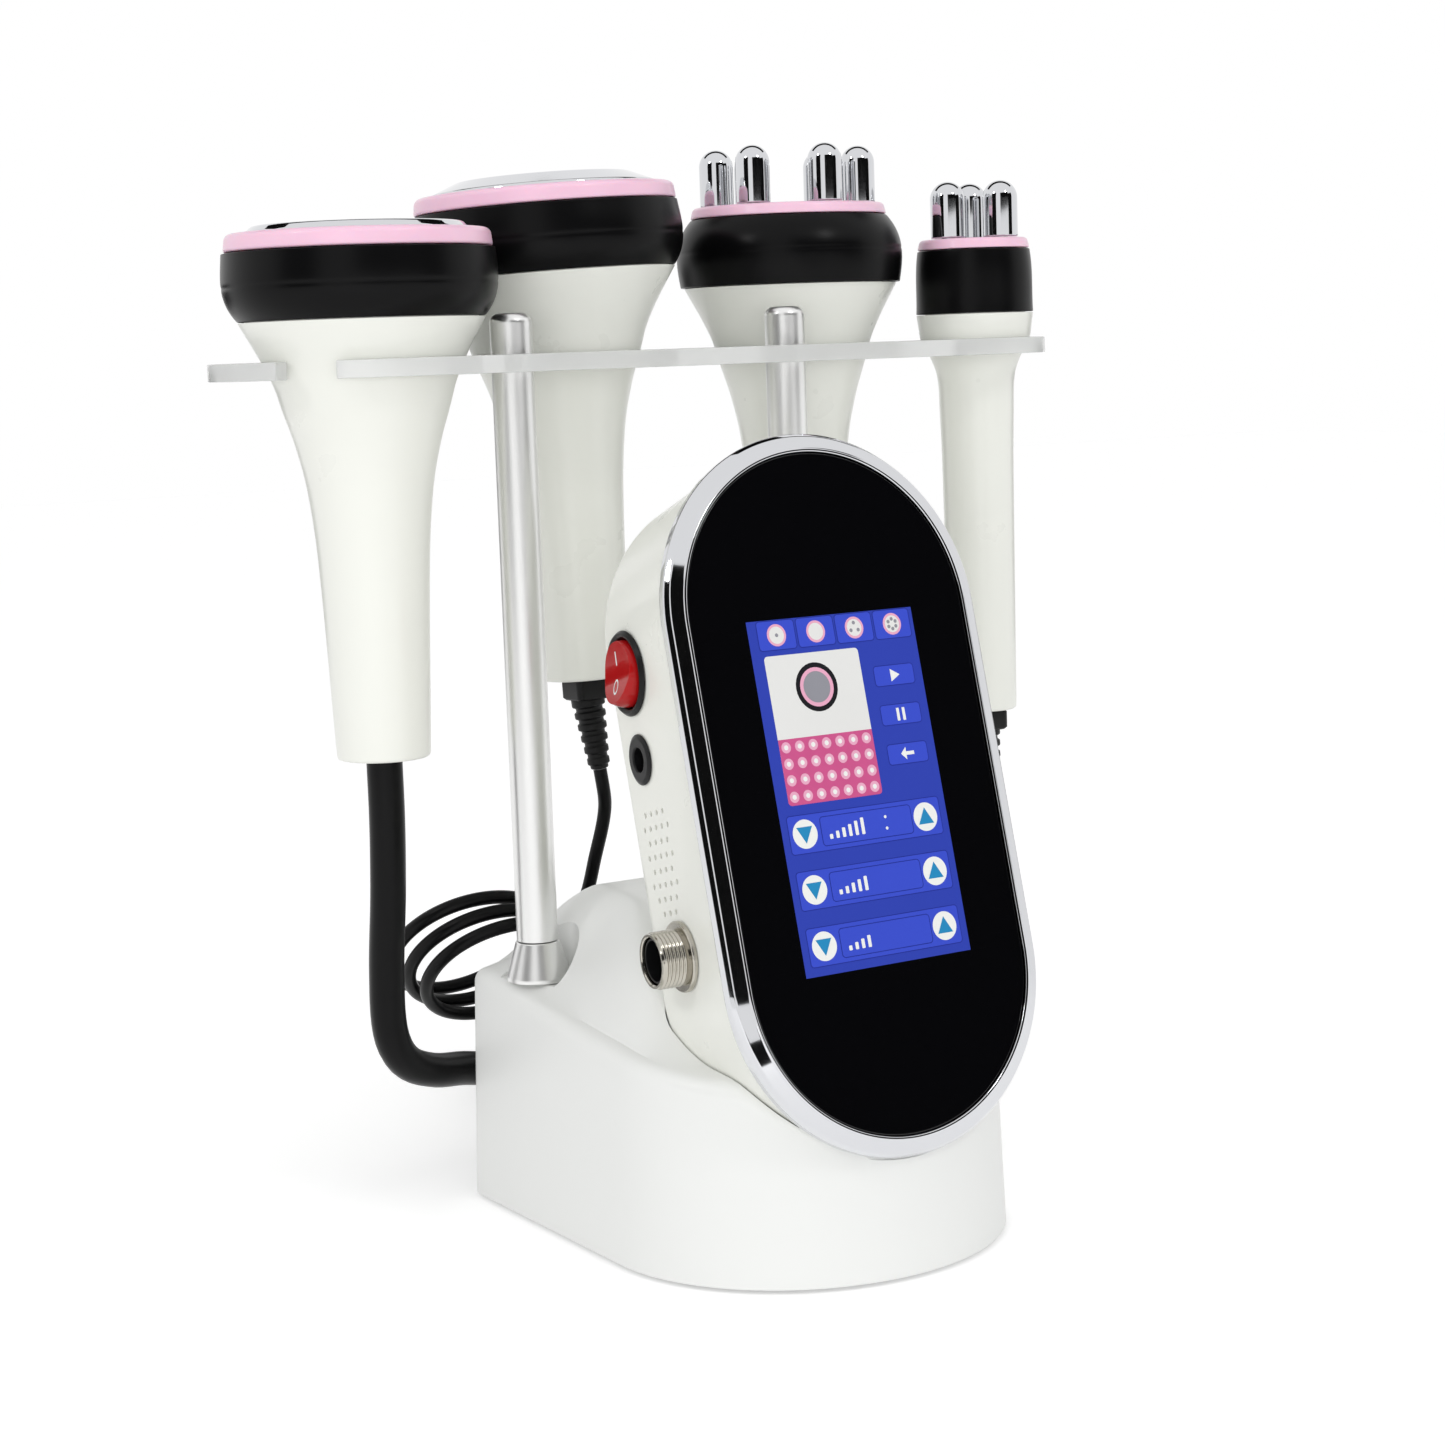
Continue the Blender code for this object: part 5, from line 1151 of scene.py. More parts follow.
@dataclass
class Display(Assembly):
    """What the display shows: panels, buttons and signs, each a thin layer on the glass."""

    unit: ScreenUnit = field(kw_only=True)
    width: float = 0.05386
    height: float = 0.09504
    middle_rise: float = 0.00033
    layer: float = 0.00002
    corner: float = 0.0011
    line: float = 0.00022
    tab_width: float = 0.0126
    tab_bottom: float = 0.0395
    tab_spots: tuple[int, ...] = (1, 0, 3, 6)
    picture_left: float = -0.0232
    picture_right: float = 0.0071
    picture_low: float = -0.0019
    picture_high: float = 0.0382
    picture_split: float = 0.0158
    picture_columns: int = 7
    picture_rows: int = 4
    button_x: float = 0.0176
    button_rises: Point3 = (0.0297, 0.0189, 0.0081)
    button_width: float = 0.0134
    button_height: float = 0.0058
    row_rises: Point3 = (-0.0097, -0.0246, -0.0396)
    row_width: float = 0.0498
    row_height: float = 0.0105
    field_width: float = 0.0298
    field_height: float = 0.0080
    knob_x: float = 0.0197
    knob_radius: float = 0.0039
    colon_rise: float = 0.00155
    colon_radius: float = 0.00042

    def sheet(self, name: str, outlines: Iterable[list[Point2]], level: int, finish: Finish) -> None:
        """Adds flat shapes of one finish on the glass.

        Args:
            name: Name of the piece.
            outlines: Outline of each shape in the display's plane.
            level: Layer, 1 on the glass and more above it.
            finish: The finish.
        """
        bm = bmesh.new()
        for outline in outlines:
            bm.faces.new([bm.verts.new((x, -self.layer * level, y)) for x, y in outline])
        place = self.stand @ self.unit.local
        obj = new_object(name, bm, place)
        outward = place.to_3x3() @ Vector((0, -1, 0))
        for polygon in obj.data.polygons:
            if polygon.normal.dot(outward) < 0:
                polygon.flip()
        self.add(obj, finish)

    def build(self) -> None:
        """Builds the display's layers from the ground up."""
        ground = self._moved(rounded_outline(self.width, self.height, 0.0001), 0, self.middle_rise)
        self.sheet("display_ground", [ground], 1, PANEL_BLUE)
        self._tabs()
        self._picture()
        self._buttons()
        self._rows()

    @staticmethod
    def _moved(outline: list[Point2], x: float, y: float) -> list[Point2]:
        """An outline moved to a place."""
        return [(px + x, py + y) for px, py in outline]

    @staticmethod
    def _round(x: float, y: float, radius: float, steps: int = 32) -> list[Point2]:
        """Outline of a disc."""
        angles = [math.tau * k / steps for k in range(steps)]
        return [(x + radius * math.cos(a), y + radius * math.sin(a)) for a in angles]

    def _framed(self, name: str, plates: list[tuple[float, float, float, float]], level: int) -> None:
        """Adds panels with a dark line round each.

        Args:
            name: Name of the two pieces.
            plates: Middle, width and height of each panel.
            level: Layer of the lines.
        """
        lines, faces = [], []
        for x, y, width, height in plates:
            lines.append(self._moved(rounded_outline(width, height, self.corner), x, y))
            inner = (width - self.line * 2, height - self.line * 2, self.corner - self.line)
            faces.append(self._moved(rounded_outline(*inner), x, y))
        self.sheet(f"{name}_lines", lines, level, LINE_BLUE)
        self.sheet(f"{name}_plates", faces, level + 1, ROW_BLUE)

    def _tabs(self) -> None:
        """Four tabs along the top, each with the sign of one handpiece."""
        top = self.middle_rise + self.height / 2
        plates = []
        rims, faces, dots = [], [], []
        for k, count in enumerate(self.tab_spots):
            x = (k - 1.5) * self.tab_width + self.line * 4
            height = top - self.tab_bottom
            y = self.tab_bottom + height / 2
            plates.append((x, y, self.tab_width - self.line * 2, height - self.line))
            radius = height * 0.36
            rims.append(self._round(x, y, radius))
            faces.append(self._round(x, y, radius * 0.78))
            for i in range(count):
                angle = math.tau * i / count + math.pi / 2
                reach = 0 if count == 1 else radius * 0.45
                spot = (x + reach * math.cos(angle), y + reach * math.sin(angle))
                dots.append(self._round(*spot, radius * 0.17))
        self._framed("tab", plates, 2)
        self.sheet("tab_rims", rims, 4, PICTURE_ROSE)
        self.sheet("tab_faces", faces, 5, PICTURE_PALE)
        self.sheet("tab_dots", dots, 6, PICTURE_GREY)

    def _picture(self) -> None:
        """Pale panel with a round head, above a rosy one with rows of dots."""
        width = self.picture_right - self.picture_left
        x = (self.picture_left + self.picture_right) / 2
        height = self.picture_high - self.picture_low
        y = (self.picture_high + self.picture_low) / 2
        pale = self._moved(rounded_outline(width, height, self.corner), x, y)
        self.sheet("picture_pale_panel", [pale], 2, PICTURE_PALE)
        rose_height = self.picture_split - self.picture_low
        rose = rounded_outline(width, rose_height, self.corner)
        rose = [(px, rose_height / 2 if py > 0 else py) for px, py in rose]
        middle = self.picture_low + rose_height / 2
        self.sheet("picture_rose_panel", [self._moved(rose, x, middle)], 3, PICTURE_PINK)
        dots = []
        shines = []
        columns, rows = self.picture_columns, self.picture_rows
        for row in range(rows):
            for column in range(columns):
                px = x + (column - (columns - 1) / 2) * width / columns
                py = middle + (row - (rows - 1) / 2) * rose_height / rows
                radius = rose_height / rows * 0.34
                dots.append(self._round(px, py, radius, steps=20))
                shines.append(self._round(px, py, radius * 0.45, steps=16))
        self.sheet("picture_dots", dots, 4, PICTURE_ROSE)
        self.sheet("picture_shines", shines, 5, MARK_WHITE)
        head_y = self.picture_high - (self.picture_high - self.picture_split) * 0.42
        radius = width * 0.22
        self.sheet("picture_head_edge", [self._round(x, head_y, radius)], 3, PICTURE_BLACK)
        self.sheet("picture_head_ring", [self._round(x, head_y, radius * 0.80)], 4, PICTURE_ROSE)
        self.sheet("picture_head_face", [self._round(x, head_y, radius * 0.64)], 5, PICTURE_GREY)

    def _buttons(self) -> None:
        """Three buttons with the signs of play, pause and back."""
        plates = [(self.button_x, y, self.button_width, self.button_height) for y in self.button_rises]
        self._framed("button", plates, 2)
        size = self.button_height * 0.30
        shapes = []
        for mark, y in zip((Mark.PLAY, Mark.PAUSE, Mark.BACK), self.button_rises):
            shapes += [self._moved(shape, self.button_x, y) for shape in self._sign(mark, size)]
        self.sheet("button_signs", shapes, 4, MARK_WHITE)

    def _rows(self) -> None:
        """Three rows, each a field between a lowering and a raising knob."""
        self._framed("row", [(0, y, self.row_width, self.row_height) for y in self.row_rises], 2)
        self._framed("field", [(FIT_GAP, y, self.field_width, self.field_height) for y in self.row_rises], 4)
        knobs, arrows, bars = [], [], []
        for row, y in enumerate(self.row_rises):
            for x, mark in ((-self.knob_x, Mark.DOWN), (self.knob_x, Mark.UP)):
                knobs.append(self._round(x, y, self.knob_radius, steps=48))
                arrows += [self._moved(shape, x, y) for shape in self._sign(mark, self.knob_radius * 0.66)]
            pitch = self.field_height * 0.26
            start = -self.field_width / 2 + pitch * 1.6
            for k in range(6 - row):
                height = self.field_height * (0.16 + 0.08 * k)
                outline = rounded_outline(pitch * 0.5, height, pitch * 0.1, 2)
                foot = y - self.field_height * 0.28
                bars.append(self._moved(outline, start + k * pitch, foot + height / 2))
        self.sheet("row_knobs", knobs, 4, MARK_WHITE)
        self.sheet("row_arrows", arrows, 5, MARK_TEAL)
        for side in (1, -1):
            y = self.row_rises[0] + side * self.colon_rise
            bars.append(self._round(self.field_width * 0.22, y, self.colon_radius))
        self.sheet("row_bars", bars, 6, MARK_WHITE)

    @staticmethod
    def _sign(mark: Mark, size: float) -> list[list[Point2]]:
        """Outlines of one sign about its middle.

        Args:
            mark: Which sign.
            size: Half of its height.

        Returns:
            The outlines.
        """
        if mark is Mark.PLAY:
            return [[(-size * 0.7, -size), (size, 0), (-size * 0.7, size)]]
        if mark is Mark.PAUSE:
            bar = [(-1, -1), (-0.35, -1), (-0.35, 1), (-1, 1)]
            return [[(x * side * size * 0.8, y * size) for x, y in bar] for side in (1, -1)]
        if mark is Mark.BACK:
            head = [(-size * 1.3, 0), (-size * 0.3, -size), (-size * 0.3, size)]
            stem = [(-size * 0.3, -size * 0.28), (size * 1.2, -size * 0.28)]
            return [head, [*stem, (size * 1.2, size * 0.28), (-size * 0.3, size * 0.28)]]
        flip = 1 if mark is Mark.UP else -1
        wide = size * 0.98
        return [[(-wide, -size * 0.75 * flip), (wide, -size * 0.75 * flip), (0, size * flip)]]


@dataclass
class SideFittings(Assembly):
    """Power switch, power inlet, sound holes and threaded socket of the unit's left wall."""

    unit: ScreenUnit = field(kw_only=True)
    rocker_rise: float = 0.0419
    rocker_depth: float = 0.0350
    rocker_flange: float = 0.01175
    rocker_rim: float = 0.0016
    rocker_barrel: float = 0.0104
    rocker_bore: float = 0.0096
    rocker_length: float = 0.0160
    rocker_bore_depth: float = 0.0120
    rocker_edge: float = 0.0004
    pivot_out: float = 0.0004
    crown: float = 0.0026
    face_angle: float = math.radians(8.0)
    rest_tilt: float = math.radians(10.0)
    button_skirt: float = 0.0055
    button_edge: float = 0.0004
    button_arc: float = 0.2
    button_arc_steps: int = 6
    mark_lift: float = 0.00005
    mark_steps: int = 40
    jack_rise: float = 0.0182
    jack_depth: float = 0.0356
    jack_flange: float = 0.0070
    jack_rim: float = 0.0011
    jack_barrel: float = 0.0057
    jack_bore: float = 0.0033
    jack_length: float = 0.0120
    jack_floor: float = 0.0100
    jack_pin_radius: float = 0.0010
    jack_pin_recess: float = 0.0026
    jack_edge: float = 0.0003
    grille_rise: float = -0.0104
    grille_depth: float = 0.0335
    grille_pitch: float = 0.0039
    grille_radius: float = 0.0008
    grille_sides: int = 14
    grille_rows: tuple[int, ...] = (4, 5, 4, 5, 4, 5, 4, 3)
    socket_rise: float = -0.0360
    socket_depth: float = 0.0298
    socket_flange: float = 0.00965
    socket_rim: float = 0.0016
    socket_radius: float = 0.0078
    socket_bore: float = 0.0064
    socket_proud: float = 0.0095
    socket_inside: float = 0.0090
    socket_recess: float = 0.0080
    socket_edge: float = 0.0003
    sleeve_wall: float = 0.0006
    sleeve_recess: float = 0.0009
    thread_ridges: int = 6
    thread_depth: float = 0.0005
    thread_steps: int = 8
    pin_radius: float = 0.0008
    pin_circle: float = 0.0032
    pin_proud: float = 0.0038
    pins: int = 4
    pin_sides: int = 20

    @property
    def rocker(self) -> Matrix:
        """Place of the switch."""
        return self.unit.wall_place(self.rocker_rise, self.rocker_depth)

    @property
    def jack(self) -> Matrix:
        """Place of the power inlet."""
        return self.unit.wall_place(self.jack_rise, self.jack_depth)

    @property
    def grille(self) -> Matrix:
        """Place of the sound holes."""
        return self.unit.wall_place(self.grille_rise, self.grille_depth)

    @property
    def socket(self) -> Matrix:
        """Place of the threaded socket."""
        return self.unit.wall_place(self.socket_rise, self.socket_depth)

    def cutters(self) -> list[bpy.types.Object]:
        """Makes the cutters of the wall's holes.

        Returns:
            The cutters, in the stand frame.
        """
        reach = self.unit.shell_wall + OVERRUN
        tools = []
        for name, place, radius in (
            ("rocker_hole", self.rocker, self.rocker_barrel),
            ("jack_hole", self.jack, self.jack_barrel),
            ("socket_hole", self.socket, self.socket_radius),
        ):
            bm = bmesh.new()
            wide = radius + FIT_GAP
            turned(bm, cylinder(wide, -reach, reach), Sides.MEDIUM, place)
            tools.append(new_object(name, bm))
        bm = bmesh.new()
        for row, count in enumerate(self.grille_rows):
            rise = ((len(self.grille_rows) - 1) / 2 - row) * self.grille_pitch
            for k in range(count):
                spot = self.grille @ at(-rise, (k - (count - 1) / 2) * self.grille_pitch, 0)
                hole = cylinder(self.grille_radius, -reach, reach)
                turned(bm, hole, self.grille_sides, spot)
        tools.append(new_object("sound_holes", bm))
        return tools

    def build(self) -> None:
        """Builds the fittings."""
        self._switch()
        self._inlet()
        self._socket()
        self.dress({"socket_nut": NICKEL})

    def _switch(self) -> None:
        """Round power switch: its flanged bezel, the red button and the button's marks."""
        rim = self.rocker_rim
        profile = softened(
            (
                (0, -self.rocker_bore_depth),
                (self.rocker_bore, -self.rocker_bore_depth),
                (self.rocker_bore, rim * 0.6),
                (self.rocker_bore + rim * 0.5, rim),
                (self.rocker_flange - rim * 0.5, rim),
                (self.rocker_flange, rim * 0.4),
                (self.rocker_flange, FIT_GAP),
                (self.rocker_barrel, FIT_GAP),
                (self.rocker_barrel, -self.rocker_length),
                (0, -self.rocker_length),
            ),
            self.rocker_edge,
        )
        self.turn("switch_bezel", profile, BLACK_FITTING, self.rocker, ["rocker_bezel"])
        radius = self.rocker_bore - FIT_GAP
        bm = bmesh.new()
        bmesh.ops.create_uvsphere(bm, u_segments=72, v_segments=36, radius=radius)
        button = new_object("switch_button", bm)
        wide = radius * 1.5
        end = self.crown + wide * math.tan(self.face_angle)
        faces = [(-wide, -self.button_skirt), (-wide, end)]
        for share in np.linspace(-1, 1, 2 * self.button_arc_steps + 1):
            swell = wide * self.button_arc / 2 * (1 + share * share) * math.tan(self.face_angle)
            faces.append((share * wide * self.button_arc, self.crown + swell))
        faces += [(wide, end), (wide, -self.button_skirt)]
        wedge = bmesh.new()
        loft(wedge, [[(x, y, z) for x, z in faces] for y in (-wide, wide)])
        carve(button, [new_object("button_faces", wedge)], "INTERSECT")
        round_edges(button, self.button_edge, 3, 40)
        tip = at(0, 0, self.pivot_out) @ Matrix.Rotation(-self.rest_tilt, 4, "Y")
        place = self.stand @ self.rocker @ tip
        button.data.transform(place)
        self.add(button, RED_BUTTON, ["rocker_button"], sharp=45, body=Body.ROCKER)
        self._button_marks(place, radius)

    def _button_marks(self, place: Matrix, radius: float) -> None:
        """A white bar on one half of the button and a white ring on the other.

        Args:
            place: Place of the button.
            radius: Radius of the button.
        """
        bm = bmesh.new()
        reach = radius * 0.42
        height = self.crown + reach * math.tan(self.face_angle) + self.mark_lift
        for sign in (-1, 1):
            face = at(sign * reach, 0, height) @ Matrix.Rotation(-sign * self.face_angle, 4, "Y")
            if sign < 0:
                outline = rounded_outline(radius * 0.42, radius * 0.07, radius * 0.02, 2)
                bm.faces.new([bm.verts.new(face @ Vector((x, y, 0))) for x, y in outline])
                continue
            rings = []
            for size in (radius * 0.17, radius * 0.235):
                angles = [math.tau * k / self.mark_steps for k in range(self.mark_steps)]
                ring = [face @ Vector((size * math.cos(a), size * 0.72 * math.sin(a), 0)) for a in angles]
                rings.append([bm.verts.new(point) for point in ring])
            bridge(bm, *rings)
        marks = new_object("switch_marks", bm, place)
        self.add(marks, PRINT_WHITE, body=Body.ROCKER)

    def _inlet(self) -> None:
        """Round power inlet."""
        rim = self.jack_rim
        profile = softened(
            (
                (0, -self.jack_floor),
                (self.jack_bore, -self.jack_floor),
                (self.jack_bore, rim * 0.7),
                (self.jack_bore + rim * 0.3, rim),
                (self.jack_flange - rim, rim),
                (self.jack_flange, rim * 0.5),
                (self.jack_flange, FIT_GAP),
                (self.jack_barrel, FIT_GAP),
                (self.jack_barrel, -self.jack_length),
                (0, -self.jack_length),
            ),
            self.jack_edge,
        )
        self.turn("power_inlet", profile, BLACK_FITTING, self.jack, ["dc_jack"])
        pin, tip = self.jack_pin_radius, rim - self.jack_pin_recess
        foot = FIT_GAP - self.jack_floor
        post = softened(((0, foot), (pin, foot), (pin, tip), (0, tip)), pin * 0.8)
        self.turn("inlet_pin", post, CHROME, self.jack, ["dc_jack_pin"], Sides.SMALL)

    def _socket(self) -> None:
        """Threaded socket with its insert and domed pins."""
        pitch = (self.socket_proud - self.socket_rim) / (self.thread_ridges + 1.2)
        root = self.socket_radius - self.thread_depth
        edge = self.socket_edge
        outer: list[Point2] = [(self.socket_bore + edge, self.socket_proud), (root, self.socket_proud)]
        for k in range(self.thread_ridges):
            top = self.socket_proud - pitch * (k + 0.7)
            for share in np.linspace(0, 1, self.thread_steps, endpoint=False):
                swell = 0.5 - 0.5 * math.cos(math.tau * share)
                outer.append((root + self.thread_depth * swell, top - pitch * share))
        outer += [
            (root, self.socket_rim),
            (self.socket_flange - edge, self.socket_rim),
            (self.socket_flange, self.socket_rim - edge * 4 / 3),
            (self.socket_flange, FIT_GAP),
            (self.socket_radius, FIT_GAP),
            (self.socket_radius, -self.socket_inside),
            (self.socket_bore, -self.socket_inside),
            (self.socket_bore, self.socket_proud - edge),
        ]
        self.turn("plated_socket", outer, NICKEL, self.socket, ["socket_shell"], closed=True)
        face = self.socket_proud - self.socket_recess
        wide = self.socket_bore - FIT_GAP
        mouth = self.socket_proud - self.sleeve_recess
        core = (
            (0, -self.socket_inside),
            (wide, -self.socket_inside),
            (wide, mouth),
            (wide - self.sleeve_wall, mouth),
            (wide - self.sleeve_wall, face),
            (0, face),
        )
        profile = softened(core, edge)
        self.turn("socket_core", profile, BLACK_FITTING, self.socket, ["socket_insert"], Sides.MEDIUM)
        bm = bmesh.new()
        tip = face + self.pin_proud
        r = self.pin_radius
        rises = np.linspace(0, math.pi / 2, 7)[:-1]
        dome = [(r * math.cos(a), tip - r + r * math.sin(a)) for a in rises]
        for k in range(self.pins):
            angle = math.tau * (k + 0.5) / self.pins
            spot = at(self.pin_circle * math.cos(angle), self.pin_circle * math.sin(angle), 0)
            turned(bm, ((0, face - r), (r, face - r), *dome, (0, tip)), self.pin_sides, spot)
        pins = new_object("plated_pins", bm, self.stand @ self.socket)
        self.add(pins, CHROME, ["socket_pins"])


# Handpieces


@dataclass
class Handpiece(Assembly):
    """A handpiece hanging in the plate. Heights are measured from the plate's top."""

    name: str = "handle"
    x: float = 0.0
    y: float = 0.0
    plate_top: float = 0.2488
    lean: float = 0.0
    lean_heading: float = math.radians(-122.2)
    flare_shares: Profile = (
        (0.00, 1.000),
        (0.08, 0.745),
        (0.14, 0.585),
        (0.20, 0.480),
        (0.28, 0.335),
        (0.38, 0.210),
        (0.54, 0.117),
        (0.96, 0.012),
    )
    ring_rise: float = 0.0354
    ring_height: float = 0.0051
    ring_radius: float = 0.0375
    band_radius: float = 0.0386
    band_peak_share: float = 0.60
    band_wall: float = 0.0018
    band_edge: float = 0.0004
    band_steps: int = 40
    groove_width: float = 0.0005
    groove_depth: float = 0.00014
    shoulder_radius: float = 0.0345
    shoulder_rise: float = 0.0109
    grip_length: float = 0.1238
    end_radius: float = 0.0133
    grip_edge: float = 0.0012
    skin: float = 0.0022
    cord_radius: float = THICK_CORD
    ribbed: bool = False
    relief_block: float = 0.0120
    relief_block_height: float = 0.0065
    relief_length: float = 0.0219
    relief_radius: float = 0.0052
    relief_tip_share: float = 1.5
    relief_ribs: int = 6
    relief_lean: float = math.radians(5.0)
    gland_flange: float = 0.0030
    gland_radius: float = 0.0085

    @property
    def frame(self) -> Matrix:
        """Place of the handpiece in the stand frame."""
        return at(self.x, self.y, self.plate_top) @ Matrix.Rotation(self.lean, 4, self._heading())

    def _heading(self) -> Vector:
        """Level axis about which the handpiece leans."""
        return Vector((math.cos(self.lean_heading), math.sin(self.lean_heading), 0))

    def flare(self) -> list[Point2]:
        """Shape of the shell from its shoulder down to the grip's end.

        Returns:
            Corners of its profile.
        """
        span = self.shoulder_radius - self.end_radius
        return [
            (self.end_radius + span * radius_share, self.shoulder_rise - self.grip_length * share)
            for share, radius_share in self.flare_shares
        ]

    def hole_radius(self) -> float:
        """Size of the plate's hole round the leaning shell.

        Returns:
            The hole's radius, with a clearance.
        """
        heights, radii = zip(*((z, r) for r, z in reversed(self.flare())))
        radius = float(np.interp(0, heights, radii))
        slope = (float(np.interp(self.grip_edge, heights, radii)) - radius) / self.grip_edge
        return radius * (1 + math.sin(self.lean) * slope) + FIT_GAP

    def collar_radius(self) -> float:
        """Outer radius of the shell's collar, inside the band."""
        return min(self.shoulder_radius, self.ring_radius) - self.band_wall

    def collar_rise(self) -> float:
        """Top of the shell's collar, on which the head sits."""
        return self.ring_rise - self.ring_height - FIT_GAP

    def build(self) -> None:
        """Builds the handpiece."""
        self._shell()
        self._band()
        if self.ribbed:
            self._relief()
        else:
            self.dress({f"{self.name}_gland": BLACK_RUBBER})
        self._head()

    def _head(self) -> None:
        """Builds what the handpiece touches the skin with."""

    def _ring(self, look: str, profile: Profile, finish: Finish, part: str) -> None:
        """Adds a turned ring of the handpiece.

        Args:
            look: Name of the ring, after the handpiece's.
            profile: Its closed outline.
            finish: Its finish.
            part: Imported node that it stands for, after the handpiece's name.
        """
        node = f"{self.name}_{part}"
        self.turn(f"{self.name}_{look}", profile, finish, self.frame, [node], closed=True)

    def _shell(self) -> None:
        """Ivory shell: a collar inside the band, the flare and the grip, hollow throughout."""
        corners = self.flare()
        outer = curved(corners, 8)
        end = self.shoulder_rise - self.grip_length
        foot = softened((outer[-1], (self.end_radius, end), (self.cord_radius * 1.3, end)), self.grip_edge)
        collar = self.collar_radius()
        rim = self.collar_rise()
        thin = [(radius - self.skin, z) for radius, z in corners[::-1]]
        inner = [point for point in thin if self.skin < point[0] < collar - self.skin]
        profile = [
            (collar - self.skin, rim),
            (collar, rim),
            (collar, self.shoulder_rise),
            *outer[:-1],
            *foot,
            (self.cord_radius * 1.3, end + self.skin),
            (self.end_radius - self.skin, end + self.skin),
            *inner[1:-1],
            (collar - self.skin, self.shoulder_rise),
        ]
        self._ring("ivory_shell", profile, IVORY_SHELL, "shell")

    def _band(self) -> None:
        """Black band round the head, with a faint parting groove about its middle."""
        low = self.shoulder_rise + FIT_GAP
        high = self.collar_rise()
        inner = self.collar_radius() + FIT_GAP
        reach = max(self.band_peak_share, 1 - self.band_peak_share)
        groove = self.groove_width / (high - low)
        outer = []
        for share in np.linspace(1.0, 0.0, self.band_steps + 1):
            swell = 1 - abs(share - self.band_peak_share) ** 2 / reach**2
            straight = blend(self.shoulder_radius, self.ring_radius, share)
            drawn = self.groove_depth * math.exp(-(((share - 0.5) / groove) ** 2))
            radius = straight + (self.band_radius - straight) * swell - drawn
            outer.append((radius, blend(low, high, share)))
        edges = ((inner, high), (outer[0][0], high), (outer[1][0], outer[1][1]))
        foot = ((outer[-2][0], outer[-2][1]), (outer[-1][0], low), (inner, low))
        above = softened(edges, self.band_edge)[1:-1]
        below = softened(foot, self.band_edge)[1:-1]
        profile = [(inner, high), *above, *outer[1:-1], *below, (inner, low)]
        self._ring("grained_band", profile, BLACK_BAND, "band")

    def _relief(self) -> None:
        """Square block and ribbed sleeve that the thin cord leaves by."""
        end = self.shoulder_rise - self.grip_length
        block = end - FIT_GAP
        low = block - self.relief_block_height
        bm = bmesh.new()
        square = rounded_outline(self.relief_block, self.relief_block, self.relief_block * 0.16)
        edge = self.relief_block * 0.06
        rings = []
        for drawn, z in ((edge, block), (0, block - edge), (0, low + edge), (edge, low)):
            share = 1 - 2 * drawn / self.relief_block
            rings.append([(x * share, y * share, z) for x, y in square])
        loft(bm, rings)
        top = end + self.skin + FIT_GAP
        neck = self.cord_radius * 1.25
        wide = min(self.gland_radius, self.end_radius - self.skin - FIT_GAP * 2)
        head = top + self.gland_flange
        plug = ((0, head), (wide, head), (wide, top), (neck, top), (neck, block), (0, block))
        turned(bm, plug, Sides.SMALL)
        pitch = self.relief_length / self.relief_ribs
        ribs: list[Point2] = [(0, low + edge), (self.relief_radius, low + edge)]
        for k in range(self.relief_ribs):
            rib = blend(self.relief_radius, self.cord_radius * self.relief_tip_share, k / self.relief_ribs)
            z = low - pitch * k
            ribs += [(rib, z - pitch * 0.08), (rib, z - pitch * 0.58)]
            ribs += [(rib * 0.80, z - pitch * 0.66), (rib * 0.80, z - pitch)]
        ribs.append((0, ribs[-1][1]))
        turned(bm, softened(ribs, pitch * 0.14), Sides.SMALL, self.relief_turn(low))
        obj = new_object(f"{self.name}_ribbed_sleeve", bm, self.stand @ self.frame)
        self.add(obj, BLACK_RUBBER, [f"{self.name}_strain_relief"], sharp=50)

    def relief_turn(self, low: float) -> Matrix:
        """Matrix that leans the ribbed sleeve about the middle of its top."""
        return at(0, 0, low) @ Matrix.Rotation(self.relief_lean, 4, self._heading()) @ at(0, 0, -low)

    def cord_exit(self) -> list[Vector]:
        """Where the cord leaves the handpiece.

        Returns:
            The point, and one a diameter further on.
        """
        end = self.shoulder_rise - self.grip_length
        turn = self.frame
        if self.ribbed:
            low = end - FIT_GAP - self.relief_block_height
            turn = turn @ self.relief_turn(low)
            end = low - self.relief_length
        return [turn @ Vector((0, 0, end - FIT_GAP - run)) for run in (0, self.cord_radius * 2)]


@dataclass
class DiscHandpiece(Handpiece):
    """Handpiece with a pink ring round a polished disc."""

    disc_radius: float = 0.0315
    disc_flat_radius: float = 0.0295
    disc_proud: float = 0.0020
    disc_edge: float = 0.0008

    def _head(self) -> None:
        """Pink ring and polished disc, with the transducer behind it."""
        low = self.collar_rise() + FIT_GAP
        edge = self.ring_height / 5
        top = self.ring_radius - edge / 2
        inner = self.disc_radius + FIT_GAP
        corners = ((inner, self.ring_rise), (top - edge, self.ring_rise), (top, self.ring_rise - edge))
        profile = softened((*corners, (self.ring_radius, low), (inner, low)), edge, closed=True)
        self._ring("pink_ring", profile, PINK_RING, "ring")
        skin = self.ring_height * 0.4
        face = self.ring_rise + self.disc_proud
        hollow = self.disc_radius - skin * 1.5
        disc = softened(
            (
                (0, face),
                (self.disc_flat_radius, face),
                (self.disc_radius - FIT_GAP, face - self.disc_proud * 0.8),
                (self.disc_radius, face - self.disc_proud),
                (self.disc_radius, low),
                (hollow, low),
                (hollow, self.ring_rise - skin),
                (0, self.ring_rise - skin),
            ),
            self.disc_edge,
        )
        self.turn(f"{self.name}_polished_disc", disc, CHROME, self.frame, [f"{self.name}_disc"])
        self.dress({f"{self.name}_transducer": ALUMINIUM})


